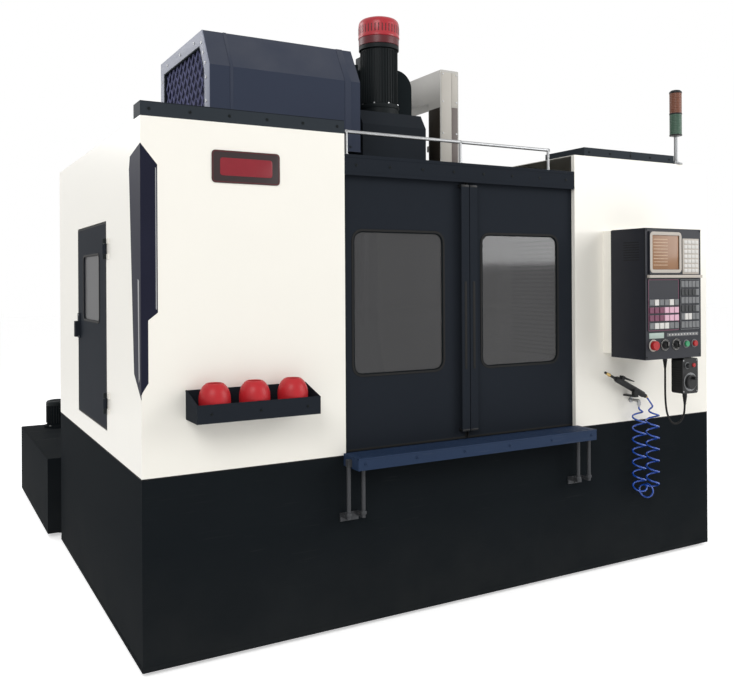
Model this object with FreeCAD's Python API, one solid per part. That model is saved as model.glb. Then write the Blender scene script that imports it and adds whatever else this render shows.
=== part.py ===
import FreeCAD, Part
import math
import os

from FreeCAD import Vector

# A vertical machining centre. Its frame: X to the right, Y to the back, Z up, and the origin on
# the floor at the centre of the four corner anchor bolts. All sizes are in millimetres.

# ---------------------------------------------------------------- driving dimensions: enclosure
LEFT_CABINET_WIDTH = 770.0
RIGHT_CABINET_WIDTH = 870.0
DOORWAY_WIDTH = 1160.0
ENCLOSURE_DEPTH = 1666.0
FRONT_REACH = 935.0
SKIRT_HEIGHT = 663.0
CABINET_HEIGHT = 1221.0
HEADER_DROP = 77.0
HEADER_HEIGHT = 77.0
HEADER_DEPTH = 75.0
SHEET = 3.0
FLANGE_DEPTH = 20.0
FLOOR_GAP = 15.0
CHIP_PAN_HEIGHT = 415.0
DRAIN_INSET = 80.0
DRAIN_WIDTH = 300.0

# sliding doors
DOOR_THICKNESS = 36.0
DOOR_RECESS = 23.0
DOOR_OVERLAP = 24.0
DOOR_MEETING_GAP = 4.0
DOOR_SILL_GAP = 5.0
DOOR_SKIN = 4.0
WINDOW_WIDTH = 414.0
WINDOW_HEIGHT = 555.0
WINDOW_SILL = 299.0
WINDOW_CORNER = 38.0
LEFT_WINDOW_INSET = 117.0
RIGHT_WINDOW_INSET = 81.0
GLASS_THICKNESS = 8.0
GLASS_LAP = 12.0
PULL_WIDTH = 38.0
PULL_PROUD = 26.0
PULL_WALL = 6.0
PULL_MARGIN = 34.0
TRACK_WIDTH = 12.0
TRACK_HEIGHT = 25.0
HANGER_WIDTH = 60.0

# side service door
SIDE_DOOR_WIDTH = 611.0
SIDE_DOOR_HEIGHT = 823.0
SIDE_DOOR_SILL = 79.0
SIDE_DOOR_FROM_FRONT = 545.0
SIDE_DOOR_THICKNESS = 25.0
SIDE_WINDOW_WIDTH = 330.0
SIDE_WINDOW_HEIGHT = 270.0
SIDE_WINDOW_TOP_MARGIN = 130.0
DOOR_SEAM = 3.0
HINGE_PIN_RADIUS = 5.0
HINGE_LEAF = 40.0
HINGE_KNUCKLE = 40.0
HINGE_INSET = 110.0
HINGE_STANDOFF = 8.0

# sill shelf and its brackets
SHELF_DEPTH = 118.0
SHELF_LIP = 45.0
SHELF_RISE = 9.0
SHELF_OVERHANG = 10.0
BRACKET_ROD_RADIUS = 8.0
BRACKET_DROP = 235.0
BRACKET_PLATE = 6.0
BRACKET_SPREAD = 62.0

# tool tray and cups on the left cabinet
TRAY_WIDTH = 452.0
TRAY_DEPTH = 128.0
TRAY_BACK_HEIGHT = 100.0
TRAY_FRONT_HEIGHT = 62.0
TRAY_BOTTOM_ABOVE_SKIRT = 190.0
TRAY_FROM_LEFT = 151.0
CUP_RADIUS = 62.0
CUP_BORE_RADIUS = 23.0
CUP_HEIGHT = 126.0
CUP_PITCH = 145.0
CUP_BORE_DEPTH = 75.0

# roof
ROOF_TRIM_HEIGHT = 50.0
ROOF_TRIM_DEPTH = 90.0
ROOF_BOX_INSET = 60.0
ROOF_BOX_WIDTH = 582.0
ROOF_BOX_DEPTH = 260.0
RAIL_ROD_RADIUS = 7.0
RAIL_HEIGHT = 98.0
TOWER_POLE_RADIUS = 9.0
TOWER_POLE_HEIGHT = 144.0
LAMP_RADIUS = 30.0
LAMP_HEIGHT = 104.0

# ---------------------------------------------------------------- driving dimensions: machine
ANCHOR_SPACING_Y = 1280.0
ANCHOR_HOLE_RADIUS = 9.0
PAD_WIDTH = 130.0
PAD_LENGTH = 120.0
PAD_THICKNESS = 25.0
LEVEL_SCREW_RADIUS = 15.0
LEVEL_SCREW_OFFSET = 55.0
LUG_THICKNESS = 40.0
BASE_CLEARANCE = 60.0
BASE_WIDTH = 840.0
ANCHOR_OUTSIDE_BED = 30.0
LUG_REACH = 95.0
BASE_TOP = 520.0
BASE_FRONT = 740.0
BASE_REAR = 755.0
BASE_WALL = 30.0
SPINDLE_FORWARD = 195.0
THROAT = 550.0
COLUMN_WIDTH = 600.0
COLUMN_FOOT_WIDTH = 720.0
COLUMN_DEPTH = 400.0
COLUMN_TOP = 2300.0
COLUMN_SEAT = 620.0
COLUMN_WALL = 28.0
RAIL_WIDTH = 34.0
RAIL_THICKNESS = 28.0
BLOCK_LENGTH = 95.0
BLOCK_WIDTH = 80.0
BLOCK_THICKNESS = 32.0
BLOCK_CLEARANCE = 1.0
Y_RAIL_SPACING = 600.0
X_RAIL_SPACING = 300.0
Z_RAIL_SPACING = 420.0
Y_TRAVEL = 500.0
Z_TRAVEL = 550.0
RAIL_OVERRUN = 60.0
SCREW_SETBACK = 50.0
CHANNEL_NOSE = 65.0
BLOCK_SPACING = 400.0
SADDLE_LENGTH = 1380.0
SADDLE_WIDTH = 440.0
SADDLE_THICKNESS = 120.0
APRON_LENGTH = 170.0
APRON_SHEET = 4.0
APRON_INSET = 20.0
TABLE_LENGTH = 1000.0
TABLE_WIDTH = 500.0
TABLE_THICKNESS = 110.0
TEE_PITCH = 125.0
TEE_THROAT = 18.0
TEE_HEAD = 32.0
TEE_DEPTH = 34.0
TEE_LIP = 16.0
SCREW_RADIUS = 18.0
SCREW_CLEARANCE = 0.05
NUT_SIZE = 90.0
MOTOR_SIZE = 120.0
MOTOR_CORNER = 18.0
MOTOR_CAP_LENGTH = 45.0
MOTOR_LENGTH = 150.0

# head and spindle
NOSE_HEIGHT = 1570.0
HEAD_WIDTH = 350.0
HEAD_HEIGHT = 490.0
HEAD_ABOVE_NOSE = 70.0
HEAD_PLATE_WIDTH = 520.0
HEAD_PLATE_DEPTH = 85.0
QUILL_RADIUS = 78.0
SPINDLE_RADIUS = 44.0
SPINDLE_CLEARANCE = 0.05
TAPER_MOUTH_RADIUS = 22.2
TAPER_END_RADIUS = 12.5
TAPER_LENGTH = 66.0
MOTOR_ADAPTER_HEIGHT = 30.0
SPINDLE_MOTOR_SIZE = 200.0
SPINDLE_MOTOR_HEIGHT = 310.0
FAN_CAP_RADIUS = 102.0
FAN_CAP_HEIGHT = 136.0
HOOD_WIDTH = 402.0
HOOD_DEPTH = 320.0
HOOD_HEIGHT = 247.0
HOOD_CORNER = 90.0
HOOD_SHEET = 4.0

# tool magazine and changer
STATIONS = 16
DRUM_RADIUS = 285.0
DRUM_DISC_RADIUS = 238.0
DRUM_DISC_THICKNESS = 20.0
POT_WIDTH = 64.0
POT_LENGTH = 110.0
POT_BACK = 18.0
POT_BORE_RADIUS = 22.2
EAR_THICKNESS = 8.0
EAR_GAP = 1.0
EAR_HALF = 12.0
EAR_SHOULDER = 22.0
EAR_NECK = 14.0
POT_PIN_RADIUS = 6.0
PIN_CLEARANCE = 0.05
FLANGE_RADIUS = 30.0
FLANGE_WIDTH = 16.0
HOLDER_RADIUS = 21.0
HOLDER_LENGTH = 55.0
CUTTER_LENGTHS = (45.0, 70.0, 30.0)
CUTTER_RADII = (7.0, 5.0, 24.0)
ARM_REACH = 300.0
ARM_THICKNESS = 26.0
ARM_WIDTH = 70.0
GRIP_RADIUS = 32.0
GRIP_WALL = 16.0
ARM_BELOW_NOSE = 14.0
SLEEVE_RADIUS = 45.0
ARM_SHAFT_RADIUS = 28.0
COVER_FROM_LEFT = 370.0
COVER_LENGTH = 680.0
COVER_WIDTH = 705.0
COVER_TOP = 2347.0
COVER_CHAMFER_HEIGHT = 157.0
COVER_CHAMFER_DEPTH = 86.0
COVER_SHEET = 4.0
COVER_LIP = 34.0
DUCT_CENTRE_X = 381.0
DUCT_WIDTH = 110.0
DUCT_ARM_RISE = 89.0
DUCT_ARM_HEIGHT = 152.0
DUCT_BRACKET_REAR = 115.0
DUCT_BRACKET_WIDTH = 95.0
DUCT_BRACKET_HEIGHT = 100.0
CONDUIT_RADIUS = 9.0
CONDUIT_PITCH = 32.0
CONDUIT_OFFSET = 34.0
CONDUIT_END = 86.0
CLAMP_RISE = 110.0
CLAMP_HALF = 34.0
CLAMP_HEIGHT = 30.0

# operator box, pendant and air gun
CONSOLE_WIDTH = 350.0
CONSOLE_HEIGHT = 570.0
CONSOLE_DEPTH = 200.0
CONSOLE_PLINTH = 50.0
CONSOLE_FROM_DOORWAY = 170.0
CONSOLE_ABOVE_SKIRT = 312.0
CONSOLE_WALL = 4.0
FACE_THICKNESS = 6.0
KEY_HEIGHT = 2.5
BUTTON_RADIUS = 13.0
BUTTON_STEM_RADIUS = 9.0
BUTTON_TRAVEL = 4.0
MUSHROOM_RADIUS = 20.0
KNOB_RADIUS = 16.0
KNOB_SHAFT_RADIUS = 4.0
FIT_CLEARANCE = 0.05
SEAT_GAP = 0.3
PENDANT_WIDTH = 100.0
PENDANT_HEIGHT = 158.0
PENDANT_DEPTH = 62.0
PENDANT_BELOW = 5.0
GUN_RADIUS = 14.0
NOZZLE_RADIUS = 6.0
GUN_LENGTH = 282.0
NOZZLE_LENGTH = 80.0
TRIGGER_LENGTH = 75.0
GUN_TILT = 26.0
HANDWHEEL_RADIUS = 33.0
CABLE_DIAMETER = 9.0
HOSE_DIAMETER = 8.0
CURL_RADIUS = 29.0
CURL_PITCH = 50.0
CURLS_PER_LEG = 7

# rear units
TANK_LENGTH = 1150.0
TANK_DEPTH = 1118.0
TANK_HEIGHT = 387.0
TANK_FOOT = 20.0
TANK_BEHIND = 107.0
TANK_PROUD = 50.0
TANK_WALL = 4.0
TANK_FOOT_RADIUS = 35.0
TANK_FOOT_INSET = 90.0
CHUTE_OVERHANG = 70.0
PUMP_RADIUS = 62.0
PUMP_HEIGHT = 170.0
POWER_CABINET_WIDTH = 1000.0
POWER_CABINET_HEIGHT = 1350.0
POWER_CABINET_DEPTH = 340.0
POWER_CABINET_FLOOR = 400.0
POWER_CABINET_BESIDE_BED = 6.0

# ---------------------------------------------------------------- derived places
LEFT = -DOORWAY_WIDTH / 2 - LEFT_CABINET_WIDTH
RIGHT = DOORWAY_WIDTH / 2 + RIGHT_CABINET_WIDTH
DOORWAY_LEFT = -DOORWAY_WIDTH / 2
DOORWAY_RIGHT = DOORWAY_WIDTH / 2
FRONT = -FRONT_REACH
REAR = FRONT + ENCLOSURE_DEPTH
ROOF = SKIRT_HEIGHT + CABINET_HEIGHT
HEADER_TOP = ROOF - HEADER_DROP
HEADER_BOTTOM = HEADER_TOP - HEADER_HEIGHT
DOOR_FACE = FRONT + DOOR_RECESS
DOOR_BACK = DOOR_FACE + DOOR_THICKNESS
DOOR_BOTTOM = SKIRT_HEIGHT + DOOR_SILL_GAP
DOOR_TOP = HEADER_BOTTOM + 15.0
SPINDLE_Y = -SPINDLE_FORWARD
COLUMN_FACE = SPINDLE_Y + THROAT
SADDLE_BOTTOM = BASE_TOP + RAIL_THICKNESS + 12.0
SADDLE_TOP = SADDLE_BOTTOM + SADDLE_THICKNESS
TABLE_BOTTOM = SADDLE_TOP + RAIL_THICKNESS + 12.0
TABLE_TOP = TABLE_BOTTOM + TABLE_THICKNESS
ANCHOR_SPACING_X = BASE_WIDTH + 2 * ANCHOR_OUTSIDE_BED
DUCT_ARM_TOP = COLUMN_TOP + DUCT_ARM_RISE


# ---------------------------------------------------------------- helpers
def box(x0, x1, y0, y1, z0, z1):
    """Give a block between two X, two Y and two Z places."""
    return Part.makeBox(x1 - x0, y1 - y0, z1 - z0, Vector(x0, y0, z0))


def rod(start, end, radius):
    """Give a round bar from one point to another."""
    first = Vector(*start)
    axis = Vector(*end) - first
    return Part.makeCylinder(radius, axis.Length, first, axis)


def upright(x, y, z0, z1, radius):
    """Solid cylinder that stands upright between two heights."""
    return rod((x, y, z0), (x, y, z1), radius)


def frustum(start, end, start_radius, end_radius):
    """Give a round bar that tapers from one radius to another."""
    first = Vector(*start)
    axis = Vector(*end) - first
    return Part.makeCone(start_radius, end_radius, axis.Length, first, axis)


def extrude(points, along):
    """Sweep the closed outline through the points along a straight vector."""
    corners = [Vector(*point) for point in points]
    face = Part.Face(Part.makePolygon(corners + corners[:1]))
    return face.extrude(Vector(*along))


def side_plate(outline, x0, x1):
    """Extrude an outline of (y, z) points from x0 to x1."""
    return extrude([(x0, y, z) for y, z in outline], (x1 - x0, 0, 0))


def front_plate(outline, y0, y1):
    """Extrude an outline of (x, z) points from y0 to y1."""
    return extrude([(x, y0, z) for x, z in outline], (0, y1 - y0, 0))


def turned(profile, origin, axis):
    """Revolve (radius, height) points about an axis through the origin."""
    points = [Vector(radius, 0, height) for radius, height in profile]
    face = Part.Face(Part.makePolygon(points + points[:1]))
    solid = face.revolve(Vector(0, 0, 0), Vector(0, 0, 1), 360)
    solid.Placement = FreeCAD.Placement(
        Vector(*origin), FreeCAD.Rotation(Vector(0, 0, 1), Vector(*axis))
    )
    return solid


def sheet_box(x0, x1, y0, y1, z0, z1, sheet, open_face):
    """Give the five sheets, face to face, of a box whose top, bottom or back is open."""
    if open_face == "back":
        inner = y0 + sheet
        return [
            box(x0, x1, y0, inner, z0, z1),
            box(x0, x0 + sheet, inner, y1, z0, z1),
            box(x1 - sheet, x1, inner, y1, z0, z1),
            box(x0 + sheet, x1 - sheet, inner, y1, z0, z0 + sheet),
            box(x0 + sheet, x1 - sheet, inner, y1, z1 - sheet, z1),
        ]
    if open_face == "top":
        low, high = z0 + sheet, z1
        flat = box(x0, x1, y0, y1, z0, low)
    else:
        low, high = z0, z1 - sheet
        flat = box(x0, x1, y0, y1, high, z1)
    return [
        flat,
        box(x0, x1, y0, y0 + sheet, low, high),
        box(x0, x1, y1 - sheet, y1, low, high),
        box(x0, x0 + sheet, y0 + sheet, y1 - sheet, low, high),
        box(x1 - sheet, x1, y0 + sheet, y1 - sheet, low, high),
    ]


def fuse(first, *others):
    """Join solids into one and drop the seams between them."""
    return first.multiFuse(list(others)).removeSplitter()


def cut(body, *tools):
    """Take every tool away from the body."""
    return body.cut(list(tools))


def rounded(block, radius, axis):
    """Round the edges of a block that run along one axis."""
    direction = Vector(*axis)
    edges = [
        edge
        for edge in block.Edges
        if edge.Curve.TypeId == "Part::GeomLine"
        and edge.tangentAt(edge.FirstParameter).cross(direction).Length < 1e-6
    ]
    return block.makeFillet(radius, edges)


def mirrored(shape):
    """Give the shape's mirror image across the spindle's centre plane."""
    return shape.mirror(Vector(0, 0, 0), Vector(1, 0, 0))


def save(name, *solids):
    """Write one sub-part, of one or more solids, to its own file."""
    for solid in solids:
        if not solid.isValid() or solid.Volume <= 0:
            print("unsound solid in", name)
    shape = solids[0] if len(solids) == 1 else Part.makeCompound(list(solids))
    shape.exportStep(os.path.join("parts", name + ".step"))


# ---------------------------------------------------------------- base, column and guide ways
LUG_CENTRE = ANCHOR_SPACING_X / 2 + LEVEL_SCREW_OFFSET / 2
FOOT_ROWS = (-ANCHOR_SPACING_Y / 2, 0.0, ANCHOR_SPACING_Y / 2)
SCREW_Z = BASE_TOP - 40.0
JOURNAL_RADIUS = SCREW_RADIUS * 2 / 3
JOURNAL_LENGTH = 32.0
Y_CHANNEL_FRONT = -BASE_FRONT + 40.0
Y_CHANNEL_REAR = SPINDLE_Y + Y_TRAVEL / 2 + 235.0
CHANNEL_HALF = 60.0
Y_RAIL_FRONT = SPINDLE_Y - Y_TRAVEL / 2 - BLOCK_SPACING / 2 + 5.0
Z_RAIL_BOTTOM = NOSE_HEIGHT + HEAD_ABOVE_NOSE - Z_TRAVEL - 15.0
Z_RAIL_TOP = NOSE_HEIGHT + HEAD_ABOVE_NOSE + HEAD_HEIGHT + 25.0
Z_SCREW_Y = COLUMN_FACE + 5.0
Z_CHANNEL_HALF = 70.0


def rib_cells(width, y0, y1, z0, z1, across, along):
    """Give the pockets that leave crossed ribs under a casting."""
    cell_x = (width - BASE_WALL * (across + 1)) / across
    cell_y = (y1 - y0 - BASE_WALL * (along + 1)) / along
    cells = []
    for column_index in range(across):
        for row_index in range(along):
            x = -width / 2 + BASE_WALL + column_index * (cell_x + BASE_WALL)
            y = y0 + BASE_WALL + row_index * (cell_y + BASE_WALL)
            cells.append(box(x, x + cell_x, y, y + cell_y, z0, z1))
    return cells


def base_casting():
    """Cast bed with foot lugs, the corner four bored for anchors, a screw channel and ribs beneath."""
    half = BASE_WIDTH / 2
    bed = box(-half, half, -BASE_FRONT, BASE_REAR, BASE_CLEARANCE, BASE_TOP)
    seat_half = COLUMN_FOOT_WIDTH / 2
    seat = box(-seat_half, seat_half, COLUMN_FACE, BASE_REAR, BASE_TOP, COLUMN_SEAT)
    parts = [seat]
    lug_half = PAD_LENGTH / 2
    for side in (-1, 1):
        for y in FOOT_ROWS:
            reach = ANCHOR_SPACING_X / 2 + LUG_REACH
            x0, x1 = sorted((side * (half - BASE_WALL), side * reach))
            lug_top = BASE_CLEARANCE + LUG_THICKNESS
            parts.append(box(x0, x1, y - lug_half, y + lug_half, BASE_CLEARANCE, lug_top))
    body = fuse(bed, *parts)
    tools = rib_cells(
        BASE_WIDTH, -BASE_FRONT, BASE_REAR, BASE_CLEARANCE - 1, SCREW_Z - 80.0, 3, 5
    )
    tools.append(
        box(-CHANNEL_HALF, CHANNEL_HALF, Y_CHANNEL_FRONT, Y_CHANNEL_REAR, SCREW_Z - 50, BASE_TOP + 1)
    )
    bore = JOURNAL_RADIUS + FIT_CLEARANCE
    bore_end = Y_CHANNEL_REAR + JOURNAL_LENGTH
    tools.append(rod((0, -BASE_FRONT - 1, SCREW_Z), (0, bore_end, SCREW_Z), bore))
    for side in (-1, 1):
        for y in FOOT_ROWS:
            anchor = side * ANCHOR_SPACING_X / 2
            level = side * (ANCHOR_SPACING_X / 2 + LEVEL_SCREW_OFFSET)
            top = BASE_CLEARANCE + LUG_THICKNESS + 1
            if y != 0.0:
                tools.append(rod((anchor, y, BASE_CLEARANCE - 1), (anchor, y, top), ANCHOR_HOLE_RADIUS))
            hole = LEVEL_SCREW_RADIUS + FIT_CLEARANCE
            tools.append(rod((level, y, BASE_CLEARANCE - 1), (level, y, top), hole))
    return cut(body, *tools)


def leveling_feet():
    """Six floor pads, the corner four bored for anchors, and their levelling screws."""
    solids = []
    for side in (-1, 1):
        for y in FOOT_ROWS:
            middle = side * LUG_CENTRE
            pad = box(
                middle - PAD_WIDTH / 2, middle + PAD_WIDTH / 2,
                y - PAD_LENGTH / 2, y + PAD_LENGTH / 2, 0, PAD_THICKNESS,
            )
            anchor = side * ANCHOR_SPACING_X / 2
            if y != 0.0:
                pad = cut(pad, rod((anchor, y, -1), (anchor, y, PAD_THICKNESS + 1), ANCHOR_HOLE_RADIUS))
            solids.append(pad)
            level = side * (ANCHOR_SPACING_X / 2 + LEVEL_SCREW_OFFSET)
            top = BASE_CLEARANCE + LUG_THICKNESS + 30.0
            solids.append(rod((level, y, PAD_THICKNESS), (level, y, top), LEVEL_SCREW_RADIUS))
    return solids


def column():
    """Tapered hollow column with a screw channel down its front."""
    foot = COLUMN_FOOT_WIDTH / 2
    top = COLUMN_WIDTH / 2
    waist = COLUMN_SEAT + 420.0
    outline = [
        (-foot, COLUMN_SEAT), (foot, COLUMN_SEAT), (foot, COLUMN_SEAT + 60), (top, waist),
        (top, COLUMN_TOP), (-top, COLUMN_TOP), (-top, waist), (-foot, COLUMN_SEAT + 60),
    ]
    back = COLUMN_FACE + COLUMN_DEPTH
    body = front_plate(outline, COLUMN_FACE, back)
    wall = COLUMN_WALL
    hollow = box(
        -top + wall, top - wall, COLUMN_FACE + 70 + wall, back - wall,
        COLUMN_SEAT - 1, COLUMN_TOP - wall,
    )
    channel_top = COLUMN_TOP - 50.0
    channel = box(
        -Z_CHANNEL_HALF, Z_CHANNEL_HALF, COLUMN_FACE - 1, COLUMN_FACE + 70,
        Z_RAIL_BOTTOM - 20, channel_top,
    )
    bore = rod(
        (0, Z_SCREW_Y, Z_RAIL_BOTTOM - 20 - JOURNAL_LENGTH), (0, Z_SCREW_Y, COLUMN_TOP + 1),
        JOURNAL_RADIUS + FIT_CLEARANCE,
    )
    nose = box(-Z_CHANNEL_HALF, Z_CHANNEL_HALF, Z_SCREW_Y - CHANNEL_NOSE, COLUMN_FACE,
               channel_top, COLUMN_TOP)
    return cut(fuse(body, nose), hollow, channel, bore)


def y_rails():
    """The two rails on the bed that the saddle runs on."""
    back = 2 * SPINDLE_Y - Y_RAIL_FRONT
    rails = []
    for side in (-1, 1):
        x = side * Y_RAIL_SPACING / 2
        rails.append(
            box(x - RAIL_WIDTH / 2, x + RAIL_WIDTH / 2, Y_RAIL_FRONT - RAIL_OVERRUN, back + RAIL_OVERRUN,
                BASE_TOP, BASE_TOP + RAIL_THICKNESS)
        )
    return rails


def z_rails():
    """The two rails on the column that the head runs on."""
    rails = []
    for side in (-1, 1):
        x = side * Z_RAIL_SPACING / 2
        rails.append(
            box(x - RAIL_WIDTH / 2, x + RAIL_WIDTH / 2, COLUMN_FACE - RAIL_THICKNESS, COLUMN_FACE,
                Z_RAIL_BOTTOM, Z_RAIL_TOP)
        )
    return rails


def servo_motor(face, axis):
    """A square servo motor with a round rear cap; face is the centre of its flange."""
    half = MOTOR_SIZE / 2
    corner = MOTOR_CORNER
    outline = [
        (-half, -half + corner), (-half + corner, -half), (half - corner, -half),
        (half, -half + corner), (half, half - corner), (half - corner, half),
        (-half + corner, half), (-half, half - corner),
    ]
    body_length = MOTOR_LENGTH - MOTOR_CAP_LENGTH
    body = extrude([(a, b, 0) for a, b in outline], (0, 0, body_length))
    cap = Part.makeCylinder(half - 14, MOTOR_CAP_LENGTH, Vector(0, 0, body_length))
    motor = fuse(body, cap)
    motor.Placement = FreeCAD.Placement(
        Vector(*face), FreeCAD.Rotation(Vector(0, 0, 1), Vector(*axis))
    )
    return motor


def ball_screw(start, end, axis):
    """A ball screw with a plain journal at each end; start and end are the channel's ends."""
    direction = Vector(*axis)
    first = Vector(*start)
    last = Vector(*end)
    gap = direction * SEAT_GAP
    body_start = first + gap
    body_end = last - gap
    body = rod(body_start, body_end, SCREW_RADIUS)
    reach = direction * (JOURNAL_LENGTH - 2)
    journals = rod(first - reach, last + reach, JOURNAL_RADIUS)
    return fuse(body, journals)


# ---------------------------------------------------------------- saddle, table and head
X_SCREW_Z = SADDLE_TOP - 35.0
X_CHANNEL_END = SADDLE_LENGTH / 2 - SCREW_SETBACK
SADDLE_FRONT = SPINDLE_Y - SADDLE_WIDTH / 2
SADDLE_REAR = SPINDLE_Y + SADDLE_WIDTH / 2


def guide_block(centre, along, up, drop):
    """A guide carriage that straddles a rail; centre is on the rail's seat plane."""
    length, across = (BLOCK_LENGTH / 2, BLOCK_WIDTH / 2)
    c = Vector(*centre)
    a = Vector(*along)
    u = Vector(*up)
    s = a.cross(u)
    gap = BLOCK_CLEARANCE
    slot = RAIL_WIDTH / 2 + gap
    top = RAIL_THICKNESS + gap
    low = RAIL_THICKNESS - drop
    high = RAIL_THICKNESS + 12.0
    outline = [
        (-across, low), (-slot, low), (-slot, top), (slot, top),
        (slot, low), (across, low), (across, high), (-across, high),
    ]
    points = [tuple(c - a * length + s * p + u * q) for p, q in outline]
    return extrude(points, tuple(a * 2 * length))


def saddle():
    """Cross slide with carriages, rails, nut and the X motor."""
    body = box(-SADDLE_LENGTH / 2, SADDLE_LENGTH / 2, SADDLE_FRONT, SADDLE_REAR, SADDLE_BOTTOM, SADDLE_TOP)
    wing = Y_RAIL_SPACING / 2 + BLOCK_WIDTH
    taper = 70.0
    under = [
        front_plate(
            [(side * wing, SADDLE_BOTTOM - 1), (side * (SADDLE_LENGTH / 2 + 1), SADDLE_BOTTOM - 1),
             (side * (SADDLE_LENGTH / 2 + 1), SADDLE_BOTTOM + taper)],
            SADDLE_FRONT - 1, SADDLE_REAR + 1,
        )
        for side in (-1, 1)
    ]
    channel = box(-X_CHANNEL_END, X_CHANNEL_END, SPINDLE_Y - CHANNEL_HALF, SPINDLE_Y + CHANNEL_HALF,
                  X_SCREW_Z - 42, SADDLE_TOP + 1)
    reach = X_CHANNEL_END + JOURNAL_LENGTH
    bore = rod((-reach, SPINDLE_Y, X_SCREW_Z), (SADDLE_LENGTH / 2 + 1, SPINDLE_Y, X_SCREW_Z),
               JOURNAL_RADIUS + FIT_CLEARANCE)
    body = cut(body, *under, channel, bore)
    blocks = [
        guide_block((sx * Y_RAIL_SPACING / 2, SPINDLE_Y + sy * BLOCK_SPACING / 2 * 0.8, BASE_TOP),
                    (0, 1, 0), (0, 0, 1), BLOCK_THICKNESS - 12.0)
        for sx in (-1, 1) for sy in (-1, 1)
    ]
    nut_half = CHANNEL_HALF - 8.0
    nut = box(-nut_half, nut_half, SPINDLE_Y - NUT_SIZE / 2, SPINDLE_Y + NUT_SIZE / 2,
              SCREW_Z - 34, SADDLE_BOTTOM)
    nut = cut(nut, rod((0, SPINDLE_Y - NUT_SIZE, SCREW_Z), (0, SPINDLE_Y + NUT_SIZE, SCREW_Z),
                       SCREW_RADIUS + SCREW_CLEARANCE))
    apron_end = SADDLE_FRONT - APRON_LENGTH
    apron_outline = [
        (SADDLE_FRONT, SADDLE_TOP - 30), (SADDLE_FRONT, SADDLE_TOP - 30 + APRON_SHEET),
        (apron_end, SADDLE_BOTTOM + 10 + APRON_SHEET), (apron_end, SADDLE_BOTTOM + 10),
    ]
    apron = side_plate(apron_outline, -BASE_WIDTH / 2 + APRON_INSET, BASE_WIDTH / 2 - APRON_INSET)
    casting = fuse(body, nut, apron, *blocks)
    rails = []
    for side in (-1, 1):
        y = SPINDLE_Y + side * X_RAIL_SPACING / 2
        rails.append(box(-SADDLE_LENGTH / 2 + 5, SADDLE_LENGTH / 2 - 5, y - RAIL_WIDTH / 2,
                         y + RAIL_WIDTH / 2, SADDLE_TOP, SADDLE_TOP + RAIL_THICKNESS))
    motor = servo_motor((SADDLE_LENGTH / 2, SPINDLE_Y, X_SCREW_Z), (1, 0, 0))
    return [casting, *rails, motor]


def table():
    """Work table: a slab with its carriages and nut, and the four bars that leave the tee slots."""
    half = TABLE_LENGTH / 2
    front = SPINDLE_Y - TABLE_WIDTH / 2
    back = SPINDLE_Y + TABLE_WIDTH / 2
    slot_floor = TABLE_TOP - TEE_DEPTH
    lip = TABLE_TOP - TEE_LIP
    slab = box(-half, half, front, back, TABLE_BOTTOM, slot_floor)
    undercut = (TEE_HEAD - TEE_THROAT) / 2
    slots = [SPINDLE_Y + place * TEE_PITCH for place in (-1, 0, 1)]
    starts = [front] + [slot + TEE_THROAT / 2 for slot in slots]
    ends = [slot - TEE_THROAT / 2 for slot in slots] + [back]
    bars = []
    for y0, y1 in zip(starts, ends):
        low0 = y0 if y0 == front else y0 + undercut
        low1 = y1 if y1 == back else y1 - undercut
        outline = [(low0, slot_floor), (low1, slot_floor), (low1, lip), (y1, lip),
                   (y1, TABLE_TOP), (y0, TABLE_TOP), (y0, lip), (low0, lip)]
        corners = [point for index, point in enumerate(outline) if point != outline[index - 1]]
        bars.append(side_plate(corners, -half, half))
    blocks = [
        guide_block((sx * BLOCK_SPACING / 2, SPINDLE_Y + sy * X_RAIL_SPACING / 2, SADDLE_TOP),
                    (1, 0, 0), (0, 0, 1), BLOCK_THICKNESS - 12.0)
        for sx in (-1, 1) for sy in (-1, 1)
    ]
    nut_half = CHANNEL_HALF - 8.0
    nut = box(-NUT_SIZE / 2, NUT_SIZE / 2, SPINDLE_Y - nut_half, SPINDLE_Y + nut_half,
              X_SCREW_Z - 34, TABLE_BOTTOM)
    nut = cut(nut, rod((-NUT_SIZE, SPINDLE_Y, X_SCREW_Z), (NUT_SIZE, SPINDLE_Y, X_SCREW_Z),
                       SCREW_RADIUS + SCREW_CLEARANCE))
    return [fuse(slab, nut, *blocks), *bars]


HEAD_BOTTOM = NOSE_HEIGHT + HEAD_ABOVE_NOSE
HEAD_TOP = HEAD_BOTTOM + HEAD_HEIGHT
HEAD_PLATE_BACK = COLUMN_FACE - RAIL_THICKNESS - 12.0
HEAD_PLATE_FRONT = HEAD_PLATE_BACK - HEAD_PLATE_DEPTH
HEAD_FRONT = SPINDLE_Y - HEAD_WIDTH / 2 + 25.0
MOTOR_FOOT = HEAD_TOP + MOTOR_ADAPTER_HEIGHT
CAP_FOOT = MOTOR_FOOT + SPINDLE_MOTOR_HEIGHT


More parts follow.
